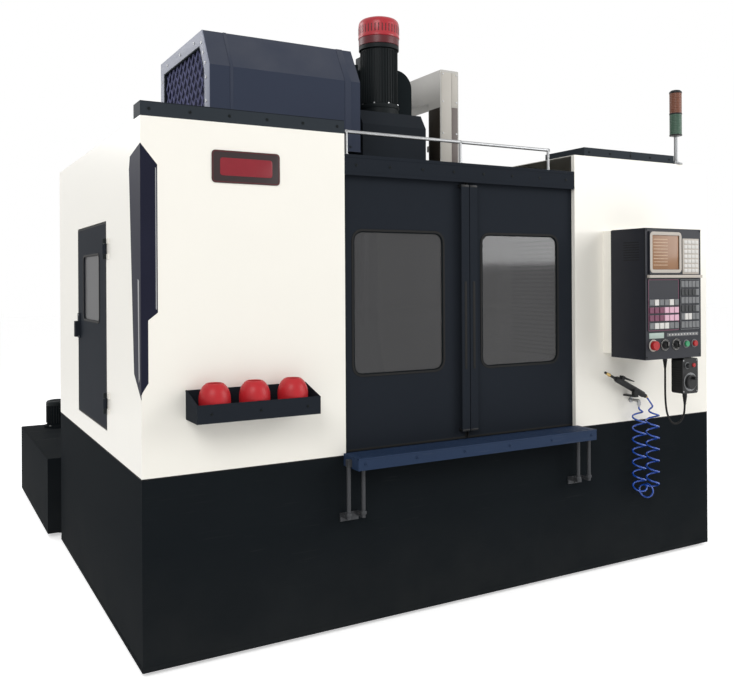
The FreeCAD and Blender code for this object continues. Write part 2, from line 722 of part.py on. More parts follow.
def head():
    """Spindle head casting with its slide plate and carriages, and the spindle cartridge."""
    outline = [
        (HEAD_FRONT, HEAD_BOTTOM), (HEAD_FRONT, HEAD_TOP - 70), (HEAD_FRONT + 45, HEAD_TOP),
        (HEAD_PLATE_FRONT + 1, HEAD_TOP), (HEAD_PLATE_FRONT + 1, HEAD_BOTTOM + 60),
        (SPINDLE_Y + HEAD_WIDTH / 2 + 20, HEAD_BOTTOM),
    ]
    body = side_plate(outline, -HEAD_WIDTH / 2, HEAD_WIDTH / 2)
    plate = box(-HEAD_PLATE_WIDTH / 2, HEAD_PLATE_WIDTH / 2, HEAD_PLATE_FRONT, HEAD_PLATE_BACK,
                HEAD_BOTTOM, HEAD_TOP)
    middle = (HEAD_BOTTOM + HEAD_TOP) / 2
    offset = HEAD_HEIGHT / 2 - BLOCK_LENGTH / 2
    blocks = [
        guide_block((sx * Z_RAIL_SPACING / 2, COLUMN_FACE, middle + sz * offset),
                    (0, 0, 1), (0, -1, 0), BLOCK_THICKNESS - 12.0)
        for sx in (-1, 1) for sz in (-1, 1)
    ]
    nut_half = NUT_SIZE / 2
    nut = box(-nut_half, nut_half, HEAD_PLATE_BACK, Z_SCREW_Y + 32,
              middle - nut_half, middle + nut_half)
    screw_hole = rod((0, Z_SCREW_Y, middle - NUT_SIZE), (0, Z_SCREW_Y, middle + NUT_SIZE),
                     SCREW_RADIUS + SCREW_CLEARANCE)
    spindle_bore = rod((0, SPINDLE_Y, HEAD_BOTTOM - 1), (0, SPINDLE_Y, HEAD_BOTTOM + 151),
                       SPINDLE_RADIUS + SPINDLE_CLEARANCE)
    pocket_half = HEAD_WIDTH / 2 - BASE_WALL
    pocket_front = SPINDLE_Y + QUILL_RADIUS + BASE_WALL
    pocket = box(-pocket_half, pocket_half, pocket_front, HEAD_PLATE_FRONT - BASE_WALL,
                 HEAD_BOTTOM + 2 * BASE_WALL, HEAD_TOP + 1)
    casting = cut(fuse(body, plate, nut, *blocks), screw_hole, spindle_bore, pocket)
    ring = QUILL_RADIUS
    bore = SPINDLE_RADIUS + SPINDLE_CLEARANCE
    depth = HEAD_ABOVE_NOSE - 4.0
    profile = [(bore, 0), (ring - 14, 0), (ring, 14), (ring, depth - 16), (ring + 22, depth - 16),
               (ring + 22, depth), (bore, depth)]
    cartridge = turned(profile, (0, SPINDLE_Y, NOSE_HEIGHT + 4.0), (0, 0, 1))
    return [casting, cartridge]


def spindle():
    """Spindle shaft with its taper socket, open at the nose."""
    top = HEAD_BOTTOM + 150.0 - NOSE_HEIGHT
    profile = [
        (TAPER_MOUTH_RADIUS, 0), (SPINDLE_RADIUS - 6, 0), (SPINDLE_RADIUS, 6), (SPINDLE_RADIUS, top),
        (0, top), (0, TAPER_LENGTH + 12), (TAPER_END_RADIUS, TAPER_LENGTH + 12),
        (TAPER_END_RADIUS, TAPER_LENGTH),
    ]
    return turned(profile, (0, SPINDLE_Y, NOSE_HEIGHT), (0, 0, 1))


def spindle_motor():
    """Square spindle motor on its round adapter."""
    half = SPINDLE_MOTOR_SIZE / 2
    body = box(-half, half, SPINDLE_Y - half, SPINDLE_Y + half, MOTOR_FOOT, CAP_FOOT)
    body = rounded(body, 42.0, (0, 0, 1))
    adapter = rod((0, SPINDLE_Y, HEAD_TOP), (0, SPINDLE_Y, MOTOR_FOOT), half - 4)
    return fuse(body, adapter)


def fan_cap():
    """Domed fan cap on the spindle motor, with a vented waist under it."""
    r = FAN_CAP_RADIUS
    waist = 26.0
    dome = 30.0
    profile = [
        (0, 0), (r - 6, 0), (r - 6, waist), (r, waist), (r, FAN_CAP_HEIGHT - dome),
        (r - dome * 0.3, FAN_CAP_HEIGHT - dome * 0.3), (r - dome, FAN_CAP_HEIGHT), (0, FAN_CAP_HEIGHT),
    ]
    return turned(profile, (0, SPINDLE_Y, CAP_FOOT), (0, 0, 1))


def arch(half, y0, y1, z0, z1, corner):
    """A block whose two upper edges along Y are rounded."""
    block = box(-half, half, y0, y1, z0, z1)
    edges = [
        edge for edge in block.Edges
        if abs(edge.CenterOfMass.z - z1) < 1e-6 and abs(abs(edge.CenterOfMass.x) - half) < 1e-6
    ]
    return block.makeFillet(corner, edges)


def head_hood():
    """Sheet hood that wraps the back of the spindle motor."""
    half = HOOD_WIDTH / 2
    y0 = SPINDLE_Y + 20.0
    y1 = y0 + HOOD_DEPTH
    top = HEAD_TOP + HOOD_HEIGHT
    sheet = HOOD_SHEET
    notch_half = SPINDLE_MOTOR_SIZE / 2 + 6.0
    outer = cut(
        arch(half, y0, y1, HEAD_TOP, top, HOOD_CORNER),
        box(-notch_half, notch_half, y0 - 1, SPINDLE_Y + notch_half, HEAD_TOP - 1, top + 1),
    )
    inner = cut(
        arch(half - sheet, y0 + sheet, y1 - sheet, HEAD_TOP - 1, top - sheet, HOOD_CORNER - sheet),
        box(-notch_half - sheet, notch_half + sheet, y0 - 1, SPINDLE_Y + notch_half + sheet,
            HEAD_TOP - 2, top + 1),
    )
    return cut(outer, inner)


# ---------------------------------------------------------------- enclosure
TRACK_END = 1140.0
TRACK_STAY = 20.0
TRACK_FRONT = DOOR_FACE + 12.0
TRACK_Z = DOOR_TOP + 20.0
GUIDE_GAP = 4.0
GUIDE_BAR = 6.0
GUIDE_HEIGHT = 27.0
SILL_FLANGE = HEADER_DEPTH
INNER_FLANGE = 40.0
DRAIN_RIGHT = DOORWAY_LEFT + DRAIN_INSET
DRAIN_LEFT = DRAIN_RIGHT - DRAIN_WIDTH
SEAT_CLEARANCE = 0.3
DRAIN_HEIGHT = 60.0


def skirt():
    """Lower enclosure of bolted sheets: walls, top strips, chip pan and the doors' guide bar."""
    t = SHEET
    top = SKIRT_HEIGHT - t
    front = FRONT + t
    back = REAR - t
    bed = BASE_WIDTH / 2
    bed_edge = bed + SEAT_CLEARANCE
    seat_edge = COLUMN_FOOT_WIDTH / 2 + SEAT_CLEARANCE
    over_bed = BASE_TOP + SEAT_CLEARANCE
    drain_top = CHIP_PAN_HEIGHT + DRAIN_HEIGHT
    drain = box(DRAIN_LEFT, DRAIN_RIGHT, back - 1, REAR + 1, CHIP_PAN_HEIGHT + t, drain_top)
    walls = [
        box(LEFT, RIGHT, FRONT, front, FLOOR_GAP, top),
        box(LEFT, LEFT + t, front, REAR, FLOOR_GAP, top),
        box(RIGHT - t, RIGHT, front, REAR, FLOOR_GAP, top),
        cut(box(LEFT + t, -bed_edge, back, REAR, FLOOR_GAP, top), drain),
        box(bed_edge, RIGHT - t, back, REAR, FLOOR_GAP, top),
        box(-bed_edge, -seat_edge, back, REAR, over_bed, top),
        box(seat_edge, bed_edge, back, REAR, over_bed, top),
    ]
    sill_back = FRONT + SILL_FLANGE
    strip_front = REAR - INNER_FLANGE
    strips = [
        box(LEFT, RIGHT, FRONT, sill_back, top, SKIRT_HEIGHT),
        box(LEFT, LEFT + INNER_FLANGE, sill_back, REAR, top, SKIRT_HEIGHT),
        box(RIGHT - INNER_FLANGE, RIGHT, sill_back, REAR, top, SKIRT_HEIGHT),
        box(LEFT + INNER_FLANGE, -seat_edge, strip_front, REAR, top, SKIRT_HEIGHT),
        box(seat_edge, RIGHT - INNER_FLANGE, strip_front, REAR, top, SKIRT_HEIGHT),
    ]
    pan = [
        box(LEFT + t, -bed, front, back, CHIP_PAN_HEIGHT, CHIP_PAN_HEIGHT + t),
        box(bed, RIGHT - t, front, back, CHIP_PAN_HEIGHT, CHIP_PAN_HEIGHT + t),
        box(-bed, bed, front, -BASE_FRONT, CHIP_PAN_HEIGHT, CHIP_PAN_HEIGHT + t),
    ]
    guide_y = DOOR_BACK + GUIDE_GAP
    guide_top = SKIRT_HEIGHT + GUIDE_HEIGHT
    guide = box(-TRACK_END, TRACK_END, guide_y, guide_y + GUIDE_BAR, SKIRT_HEIGHT, guide_top)
    return [*walls, *strips, *pan, guide]


def cabinet_sheets(x_outer, x_inner):
    """Give a cabinet's sheets, face to face: front, side, back, roof, door jamb and sill."""
    t = SHEET
    x0, x1 = sorted((x_outer, x_inner))
    side = 1.0 if x_outer > x_inner else -1.0
    wall = sorted((x_outer, x_outer - side * t))
    jamb = sorted((x_inner, x_inner + side * t))
    sill = sorted((x_outer - side * t, x_inner + side * t))
    top = ROOF - t
    flange = FRONT + FLANGE_DEPTH
    return [
        box(x0, x1, FRONT, FRONT + t, SKIRT_HEIGHT, top),
        box(*wall, FRONT + t, REAR - t, SKIRT_HEIGHT, top),
        box(x0, x1, REAR - t, REAR, SKIRT_HEIGHT, top),
        box(x0, x1, FRONT, REAR, top, ROOF),
        box(*jamb, FRONT + t, flange, SKIRT_HEIGHT, top),
        box(*sill, FRONT + t, flange, SKIRT_HEIGHT, SKIRT_HEIGHT + t),
    ]


SIDE_DOOR_Y0 = FRONT + SIDE_DOOR_FROM_FRONT
SIDE_DOOR_Y1 = SIDE_DOOR_Y0 + SIDE_DOOR_WIDTH
SIDE_DOOR_Z0 = SKIRT_HEIGHT + SIDE_DOOR_SILL
SIDE_DOOR_Z1 = SIDE_DOOR_Z0 + SIDE_DOOR_HEIGHT
HINGE_X = LEFT - HINGE_STANDOFF
HINGE_Y = SIDE_DOOR_Y0 - 6.0
HINGE_HEIGHTS = (SIDE_DOOR_Z0 + HINGE_INSET, SIDE_DOOR_Z1 - HINGE_INSET)
COVER_LEFT = LEFT + COVER_FROM_LEFT
COVER_RIGHT = COVER_LEFT + COVER_LENGTH
COVER_FRONT = SPINDLE_Y - COVER_WIDTH / 2 - 2.5
COVER_REAR = COVER_FRONT + COVER_WIDTH


def left_cabinet():
    """Left cabinet with the side door's opening, its hinge pins and the magazine's roof opening."""
    front, wall, back, roof, jamb, sill = cabinet_sheets(LEFT, DOORWAY_LEFT)
    doorway = box(LEFT - 1, LEFT + SHEET + 1, SIDE_DOOR_Y0, SIDE_DOOR_Y1, SIDE_DOOR_Z0, SIDE_DOOR_Z1)
    rim = COVER_LIP
    magazine_hole = box(
        COVER_LEFT + rim, DOORWAY_LEFT + 1, COVER_FRONT + rim, COVER_REAR - rim, ROOF - SHEET - 1, ROOF + 1
    )
    pieces = []
    for height in HINGE_HEIGHTS:
        low = height - HINGE_KNUCKLE
        top = height + HINGE_KNUCKLE
        pieces.append(rod((HINGE_X, HINGE_Y, low), (HINGE_X, HINGE_Y, top), HINGE_PIN_RADIUS))
        gap = HINGE_KNUCKLE / 2 + SEAT_GAP
        for z0, z1 in ((low, height - gap), (height + gap, top)):
            pieces.append(rod((HINGE_X, HINGE_Y, z0), (HINGE_X, HINGE_Y, z1), HINGE_STANDOFF))
            pieces.append(box(LEFT - SHEET, LEFT, HINGE_Y - HINGE_LEAF, HINGE_Y, z0, z1))
            pieces.append(box(HINGE_X, LEFT, HINGE_Y - HINGE_STANDOFF, HINGE_Y, z0, z1))
    return [front, fuse(cut(wall, doorway), *pieces), back, cut(roof, magazine_hole), jamb, sill]


CONSOLE_X0 = DOORWAY_RIGHT + CONSOLE_FROM_DOORWAY
CONSOLE_X1 = CONSOLE_X0 + CONSOLE_WIDTH
CONSOLE_BACK = FRONT - CONSOLE_PLINTH
CONSOLE_FACE = CONSOLE_BACK - CONSOLE_DEPTH
CONSOLE_Z0 = SKIRT_HEIGHT + CONSOLE_ABOVE_SKIRT
CONSOLE_Z1 = CONSOLE_Z0 + CONSOLE_HEIGHT
PLINTH_INSET = 15.0


def right_cabinet():
    """Right cabinet with the white plinth that carries the operator box."""
    plinth = box(
        CONSOLE_X0 + 2, CONSOLE_X1, CONSOLE_BACK, FRONT, CONSOLE_Z0 + PLINTH_INSET, CONSOLE_Z1
    )
    return [*cabinet_sheets(RIGHT, DOORWAY_RIGHT), plinth]


def door_header():
    """Angle beam over the doorway, and the track bar that both doors hang on, with its stays."""
    t = SHEET
    back = FRONT + HEADER_DEPTH
    track_top = TRACK_Z + TRACK_HEIGHT
    track_back = TRACK_FRONT + TRACK_WIDTH
    pieces = [
        box(DOORWAY_LEFT, DOORWAY_RIGHT, FRONT, FRONT + t, HEADER_BOTTOM, HEADER_TOP - t),
        box(DOORWAY_LEFT, DOORWAY_RIGHT, FRONT, back, HEADER_TOP - t, HEADER_TOP),
        box(-TRACK_END, TRACK_END, TRACK_FRONT, track_back, TRACK_Z, track_top),
        box(-TRACK_STAY / 2, TRACK_STAY / 2, TRACK_FRONT, track_back, track_top, HEADER_TOP - t),
    ]
    for x in (-TRACK_END, TRACK_END - TRACK_STAY):
        pieces.append(box(x, x + TRACK_STAY, FRONT + t, TRACK_FRONT, TRACK_Z, track_top))
    return pieces


def rear_guard():
    """Two sheets that close the back on both sides of the column."""
    foot = COLUMN_FOOT_WIDTH / 2 + SEAT_CLEARANCE
    waist = COLUMN_WIDTH / 2 + SEAT_CLEARANCE
    outline = [
        (DOORWAY_RIGHT, SKIRT_HEIGHT), (DOORWAY_RIGHT, ROOF), (waist, ROOF), (waist, COLUMN_SEAT + 420),
        (foot, COLUMN_SEAT + 60), (foot, SKIRT_HEIGHT),
    ]
    right = front_plate(outline, REAR - SHEET, REAR)
    return [mirrored(right), right]


def window_pane(x0, x1, z0, z1, y0, y1, corner):
    """A rounded upright pane between two X, two Z and two Y places."""
    return rounded(box(x0, x1, y0, y1, z0, z1), corner, (0, 1, 0))


def sliding_door(side):
    """A pan-shaped door with its hangers, the two plates of its pull, and its pane of glass."""
    inset = LEFT_WINDOW_INSET if side < 0 else RIGHT_WINDOW_INSET
    meeting = side * DOOR_MEETING_GAP / 2
    outer = side * (DOORWAY_WIDTH / 2 + DOOR_OVERLAP)
    x0, x1 = sorted((meeting, outer))
    pan = cut(
        box(x0, x1, DOOR_FACE, DOOR_BACK, DOOR_BOTTOM, DOOR_TOP),
        box(x0 + DOOR_SKIN, x1 - DOOR_SKIN, DOOR_FACE + DOOR_SKIN, DOOR_BACK + 1,
            DOOR_BOTTOM + DOOR_SKIN, DOOR_TOP - DOOR_SKIN),
    )
    w0, w1 = sorted((side * inset, side * (inset + WINDOW_WIDTH)))
    sill = SKIRT_HEIGHT + WINDOW_SILL
    head_z = sill + WINDOW_HEIGHT
    hole = window_pane(w0, w1, sill, head_z, DOOR_FACE - 1, DOOR_FACE + DOOR_SKIN + 1, WINDOW_CORNER)
    lap = GLASS_LAP
    glass_front = DOOR_FACE + DOOR_SKIN
    glass = window_pane(w0 - lap, w1 + lap, sill - lap, head_z + lap, glass_front,
                        glass_front + GLASS_THICKNESS, WINDOW_CORNER + lap)
    pull_front = DOOR_FACE - PULL_PROUD
    p0, p1 = sorted((meeting, meeting + side * PULL_WIDTH))
    pull_bottom = DOOR_BOTTOM + PULL_MARGIN
    pull_top = DOOR_TOP - PULL_MARGIN + 8
    r0, r1 = sorted((meeting, meeting + side * PULL_WALL))
    pull = [
        box(p0, p1, pull_front, pull_front + PULL_WALL, pull_bottom, pull_top),
        box(r0, r1, pull_front + PULL_WALL, DOOR_FACE, pull_bottom, pull_top),
    ]
    hangers = []
    track_back = TRACK_FRONT + TRACK_WIDTH
    hook_top = TRACK_Z + TRACK_HEIGHT + 6.0
    for along in (0.18, 0.82):
        centre = meeting + (outer - meeting) * along
        h0 = centre - HANGER_WIDTH / 2
        h1 = centre + HANGER_WIDTH / 2
        outline = [
            (track_back + 4, DOOR_TOP - 25), (track_back + 9, DOOR_TOP - 25), (track_back + 9, hook_top),
            (TRACK_FRONT - 6, hook_top), (TRACK_FRONT - 6, TRACK_Z + 10), (TRACK_FRONT - 1, TRACK_Z + 10),
            (TRACK_FRONT - 1, hook_top - 5.7), (track_back + 4, hook_top - 5.7),
        ]
        hangers.append(side_plate(outline, h0, h1))
    return [fuse(cut(pan, hole), *hangers), *pull], glass


def side_door():
    """Side service door: a pan with a window, a paddle handle and its hinge knuckles."""
    y0 = SIDE_DOOR_Y0 + DOOR_SEAM
    y1 = SIDE_DOOR_Y1 - DOOR_SEAM
    z0 = SIDE_DOOR_Z0 + DOOR_SEAM
    z1 = SIDE_DOOR_Z1 - DOOR_SEAM
    back = LEFT + SIDE_DOOR_THICKNESS
    pan = cut(
        box(LEFT, back, y0, y1, z0, z1),
        box(LEFT + DOOR_SKIN, back + 1, y0 + DOOR_SKIN, y1 - DOOR_SKIN, z0 + DOOR_SKIN, z1 - DOOR_SKIN),
    )
    middle = (SIDE_DOOR_Y0 + SIDE_DOOR_Y1) / 2
    w0 = middle - SIDE_WINDOW_WIDTH / 2
    w1 = middle + SIDE_WINDOW_WIDTH / 2
    top = SIDE_DOOR_Z1 - SIDE_WINDOW_TOP_MARGIN
    low = top - SIDE_WINDOW_HEIGHT
    corner = 20.0
    hole = rounded(box(LEFT - 1, LEFT + DOOR_SKIN + 1, w0, w1, low, top), corner, (1, 0, 0))
    lap = GLASS_LAP
    glass = rounded(
        box(LEFT + DOOR_SKIN, LEFT + DOOR_SKIN + GLASS_THICKNESS, w0 - lap, w1 + lap, low - lap, top + lap),
        corner + lap, (1, 0, 0),
    )
    handle_z = SIDE_DOOR_Z0 + 388.0
    handle = [
        box(LEFT - 6, LEFT, y1 - 52, y1 - 10, handle_z - 55, handle_z + 55),
        box(LEFT - 22, LEFT - 6, y1 - 47, y1 - 15, handle_z - 50, handle_z + 20),
    ]
    body = fuse(cut(pan, hole), *handle)
    reach = HINGE_KNUCKLE / 2
    for height in HINGE_HEIGHTS:
        z_low = height - reach
        z_top = height + reach
        barrel = upright(HINGE_X, HINGE_Y, z_low, z_top, HINGE_STANDOFF)
        leaf = box(LEFT - SHEET, LEFT - SEAT_CLEARANCE, HINGE_Y, y0 + HINGE_LEAF, z_low, z_top)
        pad = box(LEFT - SHEET, LEFT, y0, y0 + HINGE_LEAF, z_low, z_top)
        bore = upright(HINGE_X, HINGE_Y, z_low - 1, z_top + 1, HINGE_PIN_RADIUS + FIT_CLEARANCE)
        body = fuse(body, cut(fuse(barrel, leaf, pad), bore))
    return body, glass


SHELF_TOP = SKIRT_HEIGHT + SHELF_RISE
SHELF_HALF = DOORWAY_WIDTH / 2 + SHELF_OVERHANG


def sill_shelf():
    """Step shelf of five sheets in front of the doorway, open below."""
    low = SHELF_TOP - SHELF_LIP
    return sheet_box(-SHELF_HALF, SHELF_HALF, FRONT - SHELF_DEPTH, FRONT, low, SHELF_TOP, SHEET, "bottom")


def shelf_brackets():
    """Upright stays that hold the shelf to the skirt, two at each end."""
    solids = []
    low = SHELF_TOP - BRACKET_DROP
    top = SHELF_TOP - SHELF_LIP
    y = FRONT - SHELF_DEPTH / 2
    for side in (-1, 1):
        outer_x = side * (SHELF_HALF + BRACKET_ROD_RADIUS + 2)
        inner_x = outer_x - side * BRACKET_SPREAD
        arms = []
        half = BRACKET_ROD_RADIUS
        for x, reach in ((outer_x, SHELF_TOP - 12), (inner_x, top)):
            arms.append(upright(x, y, low, reach, half))
            arms.append(box(x - half, x + half, y, FRONT, low, low + 2 * BRACKET_PLATE))
        x0, x1 = sorted((outer_x + side * BRACKET_ROD_RADIUS, inner_x - side * BRACKET_ROD_RADIUS))
        arms.append(box(x0, x1, FRONT - BRACKET_PLATE, FRONT, low - 20, low + 2 * BRACKET_PLATE))
        cap_x0, cap_x1 = sorted((outer_x + side * BRACKET_ROD_RADIUS, side * SHELF_HALF))
        arms.append(box(cap_x0, cap_x1, y - 9, y + 9, top + 6, SHELF_TOP - 12))
        solids.append(fuse(*arms))
    return solids


TRAY_X0 = LEFT + TRAY_FROM_LEFT
TRAY_X1 = TRAY_X0 + TRAY_WIDTH
TRAY_FRONT = FRONT - TRAY_DEPTH
TRAY_Z = SKIRT_HEIGHT + TRAY_BOTTOM_ABOVE_SKIRT
CUP_FLOOR = TRAY_Z + SHEET
CUP_Y = FRONT - SHEET - CUP_RADIUS - 1.0


def tool_tray():
    """Sheet tray with a high back and a sloping front for the tool cups."""
    outline = [
        (FRONT, TRAY_Z), (TRAY_FRONT, TRAY_Z), (TRAY_FRONT, TRAY_Z + TRAY_FRONT_HEIGHT),
        (FRONT, TRAY_Z + TRAY_BACK_HEIGHT),
    ]
    body = side_plate(outline, TRAY_X0, TRAY_X1)
    hollow = box(TRAY_X0 + SHEET, TRAY_X1 - SHEET, TRAY_FRONT + SHEET, FRONT - SHEET,
                 CUP_FLOOR, TRAY_Z + TRAY_BACK_HEIGHT + 1)
    return cut(body, hollow)


def tool_cups():
    """Three taper cups that stand in the tray."""
    middle = (TRAY_X0 + TRAY_X1) / 2
    taper = 0.88
    solids = []
    for place in (-1, 0, 1):
        profile = [
            (0, 0), (CUP_RADIUS * taper, 0), (CUP_RADIUS, CUP_HEIGHT), (CUP_BORE_RADIUS, CUP_HEIGHT),
            (CUP_BORE_RADIUS * taper, CUP_HEIGHT - CUP_BORE_DEPTH), (0, CUP_HEIGHT - CUP_BORE_DEPTH),
        ]
        solids.append(turned(profile, (middle + place * CUP_PITCH, CUP_Y, CUP_FLOOR), (0, 0, 1)))
    return solids


def roof_covers():
    """Low box on the right roof and the raised trim over the left cabinet."""
    start = DOORWAY_RIGHT + ROOF_BOX_INSET
    right_end = start + ROOF_BOX_WIDTH
    trim_top = ROOF + ROOF_TRIM_HEIGHT
    box_top = ROOF + HEADER_DROP / 2
    return [
        *sheet_box(LEFT, DOORWAY_LEFT, FRONT, FRONT + ROOF_TRIM_DEPTH, ROOF, trim_top, SHEET, "bottom"),
        *sheet_box(start, right_end, FRONT, FRONT + ROOF_BOX_DEPTH, ROOF, box_top, SHEET, "bottom"),
    ]


def roof_rail():
    """Thin rod rail on three posts over the header."""
    y = FRONT + HEADER_DEPTH - 15.0
    z = HEADER_TOP + RAIL_HEIGHT
    left = DOORWAY_LEFT + 39.0
    right = DOORWAY_RIGHT - 100.0
    r = RAIL_ROD_RADIUS
    pieces = [rod((left - r, y, z), (right + r, y, z), r)]
    for x in (left, 0.0, right):
        pieces.append(rod((x, y, HEADER_TOP), (x, y, z), r * 0.9))
    return fuse(*pieces)


def signal_tower():
    """Pole, two lamps and cap of the signal tower."""
    x = RIGHT - 190.0
    y = FRONT + 20.0
    base = [(0, 0), (LAMP_RADIUS, 0), (LAMP_RADIUS, 8), (TOWER_POLE_RADIUS, 12),
            (TOWER_POLE_RADIUS, TOWER_POLE_HEIGHT), (0, TOWER_POLE_HEIGHT)]
    solids = [turned(base, (x, y, ROOF), (0, 0, 1))]
    z = ROOF + TOWER_POLE_HEIGHT
    for height, radius in ((LAMP_HEIGHT, LAMP_RADIUS), (LAMP_HEIGHT, LAMP_RADIUS), (14.0, LAMP_RADIUS - 4)):
        solids.append(rod((x, y, z), (x, y, z + height), radius))
        z += height
    return solids


# ---------------------------------------------------------------- magazine and tool changer
DRUM_Z = NOSE_HEIGHT + POT_LENGTH - POT_BACK + DRUM_RADIUS
PIVOT_X = -2 * ARM_REACH
ARM_X = -ARM_REACH
DISC_X = PIVOT_X + 10.0
PLATE_X = PIVOT_X + 55.0
PLATE_THICKNESS = 20.0
PLATE_BOTTOM = NOSE_HEIGHT + 70.0
PLATE_TOP = DRUM_Z + DRUM_RADIUS - 12.0
PLATE_FRONT = SPINDLE_Y - 135.0
PLATE_REAR = COLUMN_FACE + 205.0
BEAM_INSET = 40.0
BEAM_HEIGHT = 60.0
BEAM_WIDTH = 80.0
BEAM_SETBACK = 65.0
HUB_RADIUS = 60.0
STUB_RADIUS = 25.0
CAM_TOP = ROOF - 6.0
CAM_BOTTOM = PLATE_BOTTOM
CAM_HEIGHT = CAM_TOP - CAM_BOTTOM
CAM_X0 = ARM_X - 120.0
CAM_X1 = ARM_X + 75.0
CAM_Y0 = SPINDLE_Y - 105.0
CAM_Y1 = SPINDLE_Y + 105.0
SLEEVE_TOP = CAM_TOP - 8.0
SLEEVE_BOTTOM = NOSE_HEIGHT + 5.0
ARM_TOP = NOSE_HEIGHT - ARM_BELOW_NOSE
POT_HALF = POT_WIDTH / 2


def magazine_cover():
    """Sheet cover with a chamfered front, open at its left end and below."""
    outline = [
        (COVER_FRONT, ROOF), (COVER_REAR, ROOF), (COVER_REAR, COVER_TOP),
        (COVER_FRONT + COVER_CHAMFER_DEPTH, COVER_TOP), (COVER_FRONT, COVER_TOP - COVER_CHAMFER_HEIGHT),
    ]
    t = COVER_SHEET
    lip = COVER_LIP
    tip = t * 1.1
    inside = [
        (COVER_FRONT + t, ROOF - 1), (COVER_REAR - t, ROOF - 1), (COVER_REAR - t, COVER_TOP - t),
        (COVER_FRONT + COVER_CHAMFER_DEPTH + tip / 2, COVER_TOP - t),
        (COVER_FRONT + t, COVER_TOP - COVER_CHAMFER_HEIGHT - tip / 2),
    ]
    mouth = [
        (COVER_FRONT + lip, ROOF - 1), (COVER_REAR - lip, ROOF - 1), (COVER_REAR - lip, COVER_TOP - lip),
        (COVER_FRONT + COVER_CHAMFER_DEPTH + lip / 2, COVER_TOP - lip),
        (COVER_FRONT + lip, COVER_TOP - COVER_CHAMFER_HEIGHT - lip / 2),
    ]
    slot = box(PLATE_X - 1, PLATE_X + PLATE_THICKNESS + 1, COVER_REAR - t - 1, COVER_REAR + 1,
               ROOF - 1, PLATE_TOP + 1)
    return cut(
        side_plate(outline, COVER_LEFT, COVER_RIGHT),
        side_plate(inside, COVER_LEFT + t, COVER_RIGHT - t),
        side_plate(mouth, COVER_LEFT - 1, COVER_LEFT + t + 1),
        slot,
    )


def magazine_frame():
    """Plate with the drum's stub shaft, two beams to the column, and the changer's cam box on its web."""
    plate_face = PLATE_X + PLATE_THICKNESS
    plate = side_plate(
        [(PLATE_FRONT, PLATE_BOTTOM), (PLATE_REAR, PLATE_BOTTOM), (PLATE_REAR, PLATE_TOP),
         (COLUMN_FACE, PLATE_TOP), (PLATE_FRONT, DRUM_Z + DRUM_RADIUS * 0.4)],
        PLATE_X, plate_face,
    )
    beams = []
    side_face = -COLUMN_WIDTH / 2
    for z in (PLATE_BOTTOM + BEAM_INSET, PLATE_TOP - BEAM_INSET - BEAM_HEIGHT):
        y0 = COLUMN_FACE + BEAM_SETBACK
        beams.append(box(plate_face, side_face, y0, y0 + BEAM_WIDTH, z, z + BEAM_HEIGHT))
    web_low = CAM_BOTTOM + CAM_HEIGHT * 0.25
    web_top = CAM_BOTTOM + CAM_HEIGHT * 0.63
    web = box(plate_face, CAM_X0, CAM_Y0, CAM_Y1, web_low, web_top)
    stub = rod((PIVOT_X - 2, SPINDLE_Y, DRUM_Z), (PLATE_X, SPINDLE_Y, DRUM_Z), STUB_RADIUS)
    bore = upright(ARM_X, SPINDLE_Y, CAM_BOTTOM - 1, CAM_TOP - 4, SLEEVE_RADIUS + FIT_CLEARANCE)
    cam = cut(box(CAM_X0, CAM_X1, CAM_Y0, CAM_Y1, CAM_BOTTOM, CAM_TOP), bore)
    return [plate, stub, *beams, web, cam]


def station(shape, index):
    """Turn a shape from the bottom station to another one of the drum."""
    placed = shape.copy()
    placed.rotate(Vector(0, SPINDLE_Y, DRUM_Z), Vector(1, 0, 0), index * 360.0 / STATIONS)
    return placed


def along_drum(x0, x1, radius):
    """Solid cylinder on the drum's axis between two places along it."""
    return rod((x0, SPINDLE_Y, DRUM_Z), (x1, SPINDLE_Y, DRUM_Z), radius)


def magazine_drum():
    """Drum disc with its hub and a pair of ears for each pot."""
    hub_end = PLATE_X - SEAT_GAP
    disc = along_drum(DISC_X, DISC_X + DRUM_DISC_THICKNESS, DRUM_DISC_RADIUS)
    hub = along_drum(DISC_X, hub_end, HUB_RADIUS)
    inner = DRUM_DISC_RADIUS - EAR_HALF
    disc_end = DISC_X + DRUM_DISC_THICKNESS
    pivot_z = DRUM_Z - DRUM_RADIUS
    offset = POT_HALF + EAR_GAP
    ears = []
    for side in (-1, 1):
        y0, y1 = sorted((SPINDLE_Y + side * offset, SPINDLE_Y + side * (offset + EAR_THICKNESS)))
        outline = [
            (disc_end, DRUM_Z - inner), (disc_end, pivot_z + EAR_SHOULDER),
            (PIVOT_X + EAR_HALF, pivot_z - EAR_HALF), (PIVOT_X - EAR_HALF, pivot_z - EAR_HALF),
            (PIVOT_X - EAR_HALF, pivot_z + EAR_NECK), (DISC_X, DRUM_Z - inner),
        ]
        ears.append(extrude([(x, y0, z) for x, z in outline], (0, y1 - y0, 0)))
    pin_hole = rod(
        (PIVOT_X, SPINDLE_Y - offset - EAR_THICKNESS - 1, pivot_z),
        (PIVOT_X, SPINDLE_Y + offset + EAR_THICKNESS + 1, pivot_z), POT_PIN_RADIUS + PIN_CLEARANCE,
    )
    change_ears = [cut(ear, pin_hole) for ear in ears]
    others = [station(ear, index) for index in range(1, STATIONS) for ear in ears]
    drum = fuse(disc, hub, *change_ears, *others)
    return cut(drum, along_drum(DISC_X - 1, hub_end + 1, STUB_RADIUS + FIT_CLEARANCE))


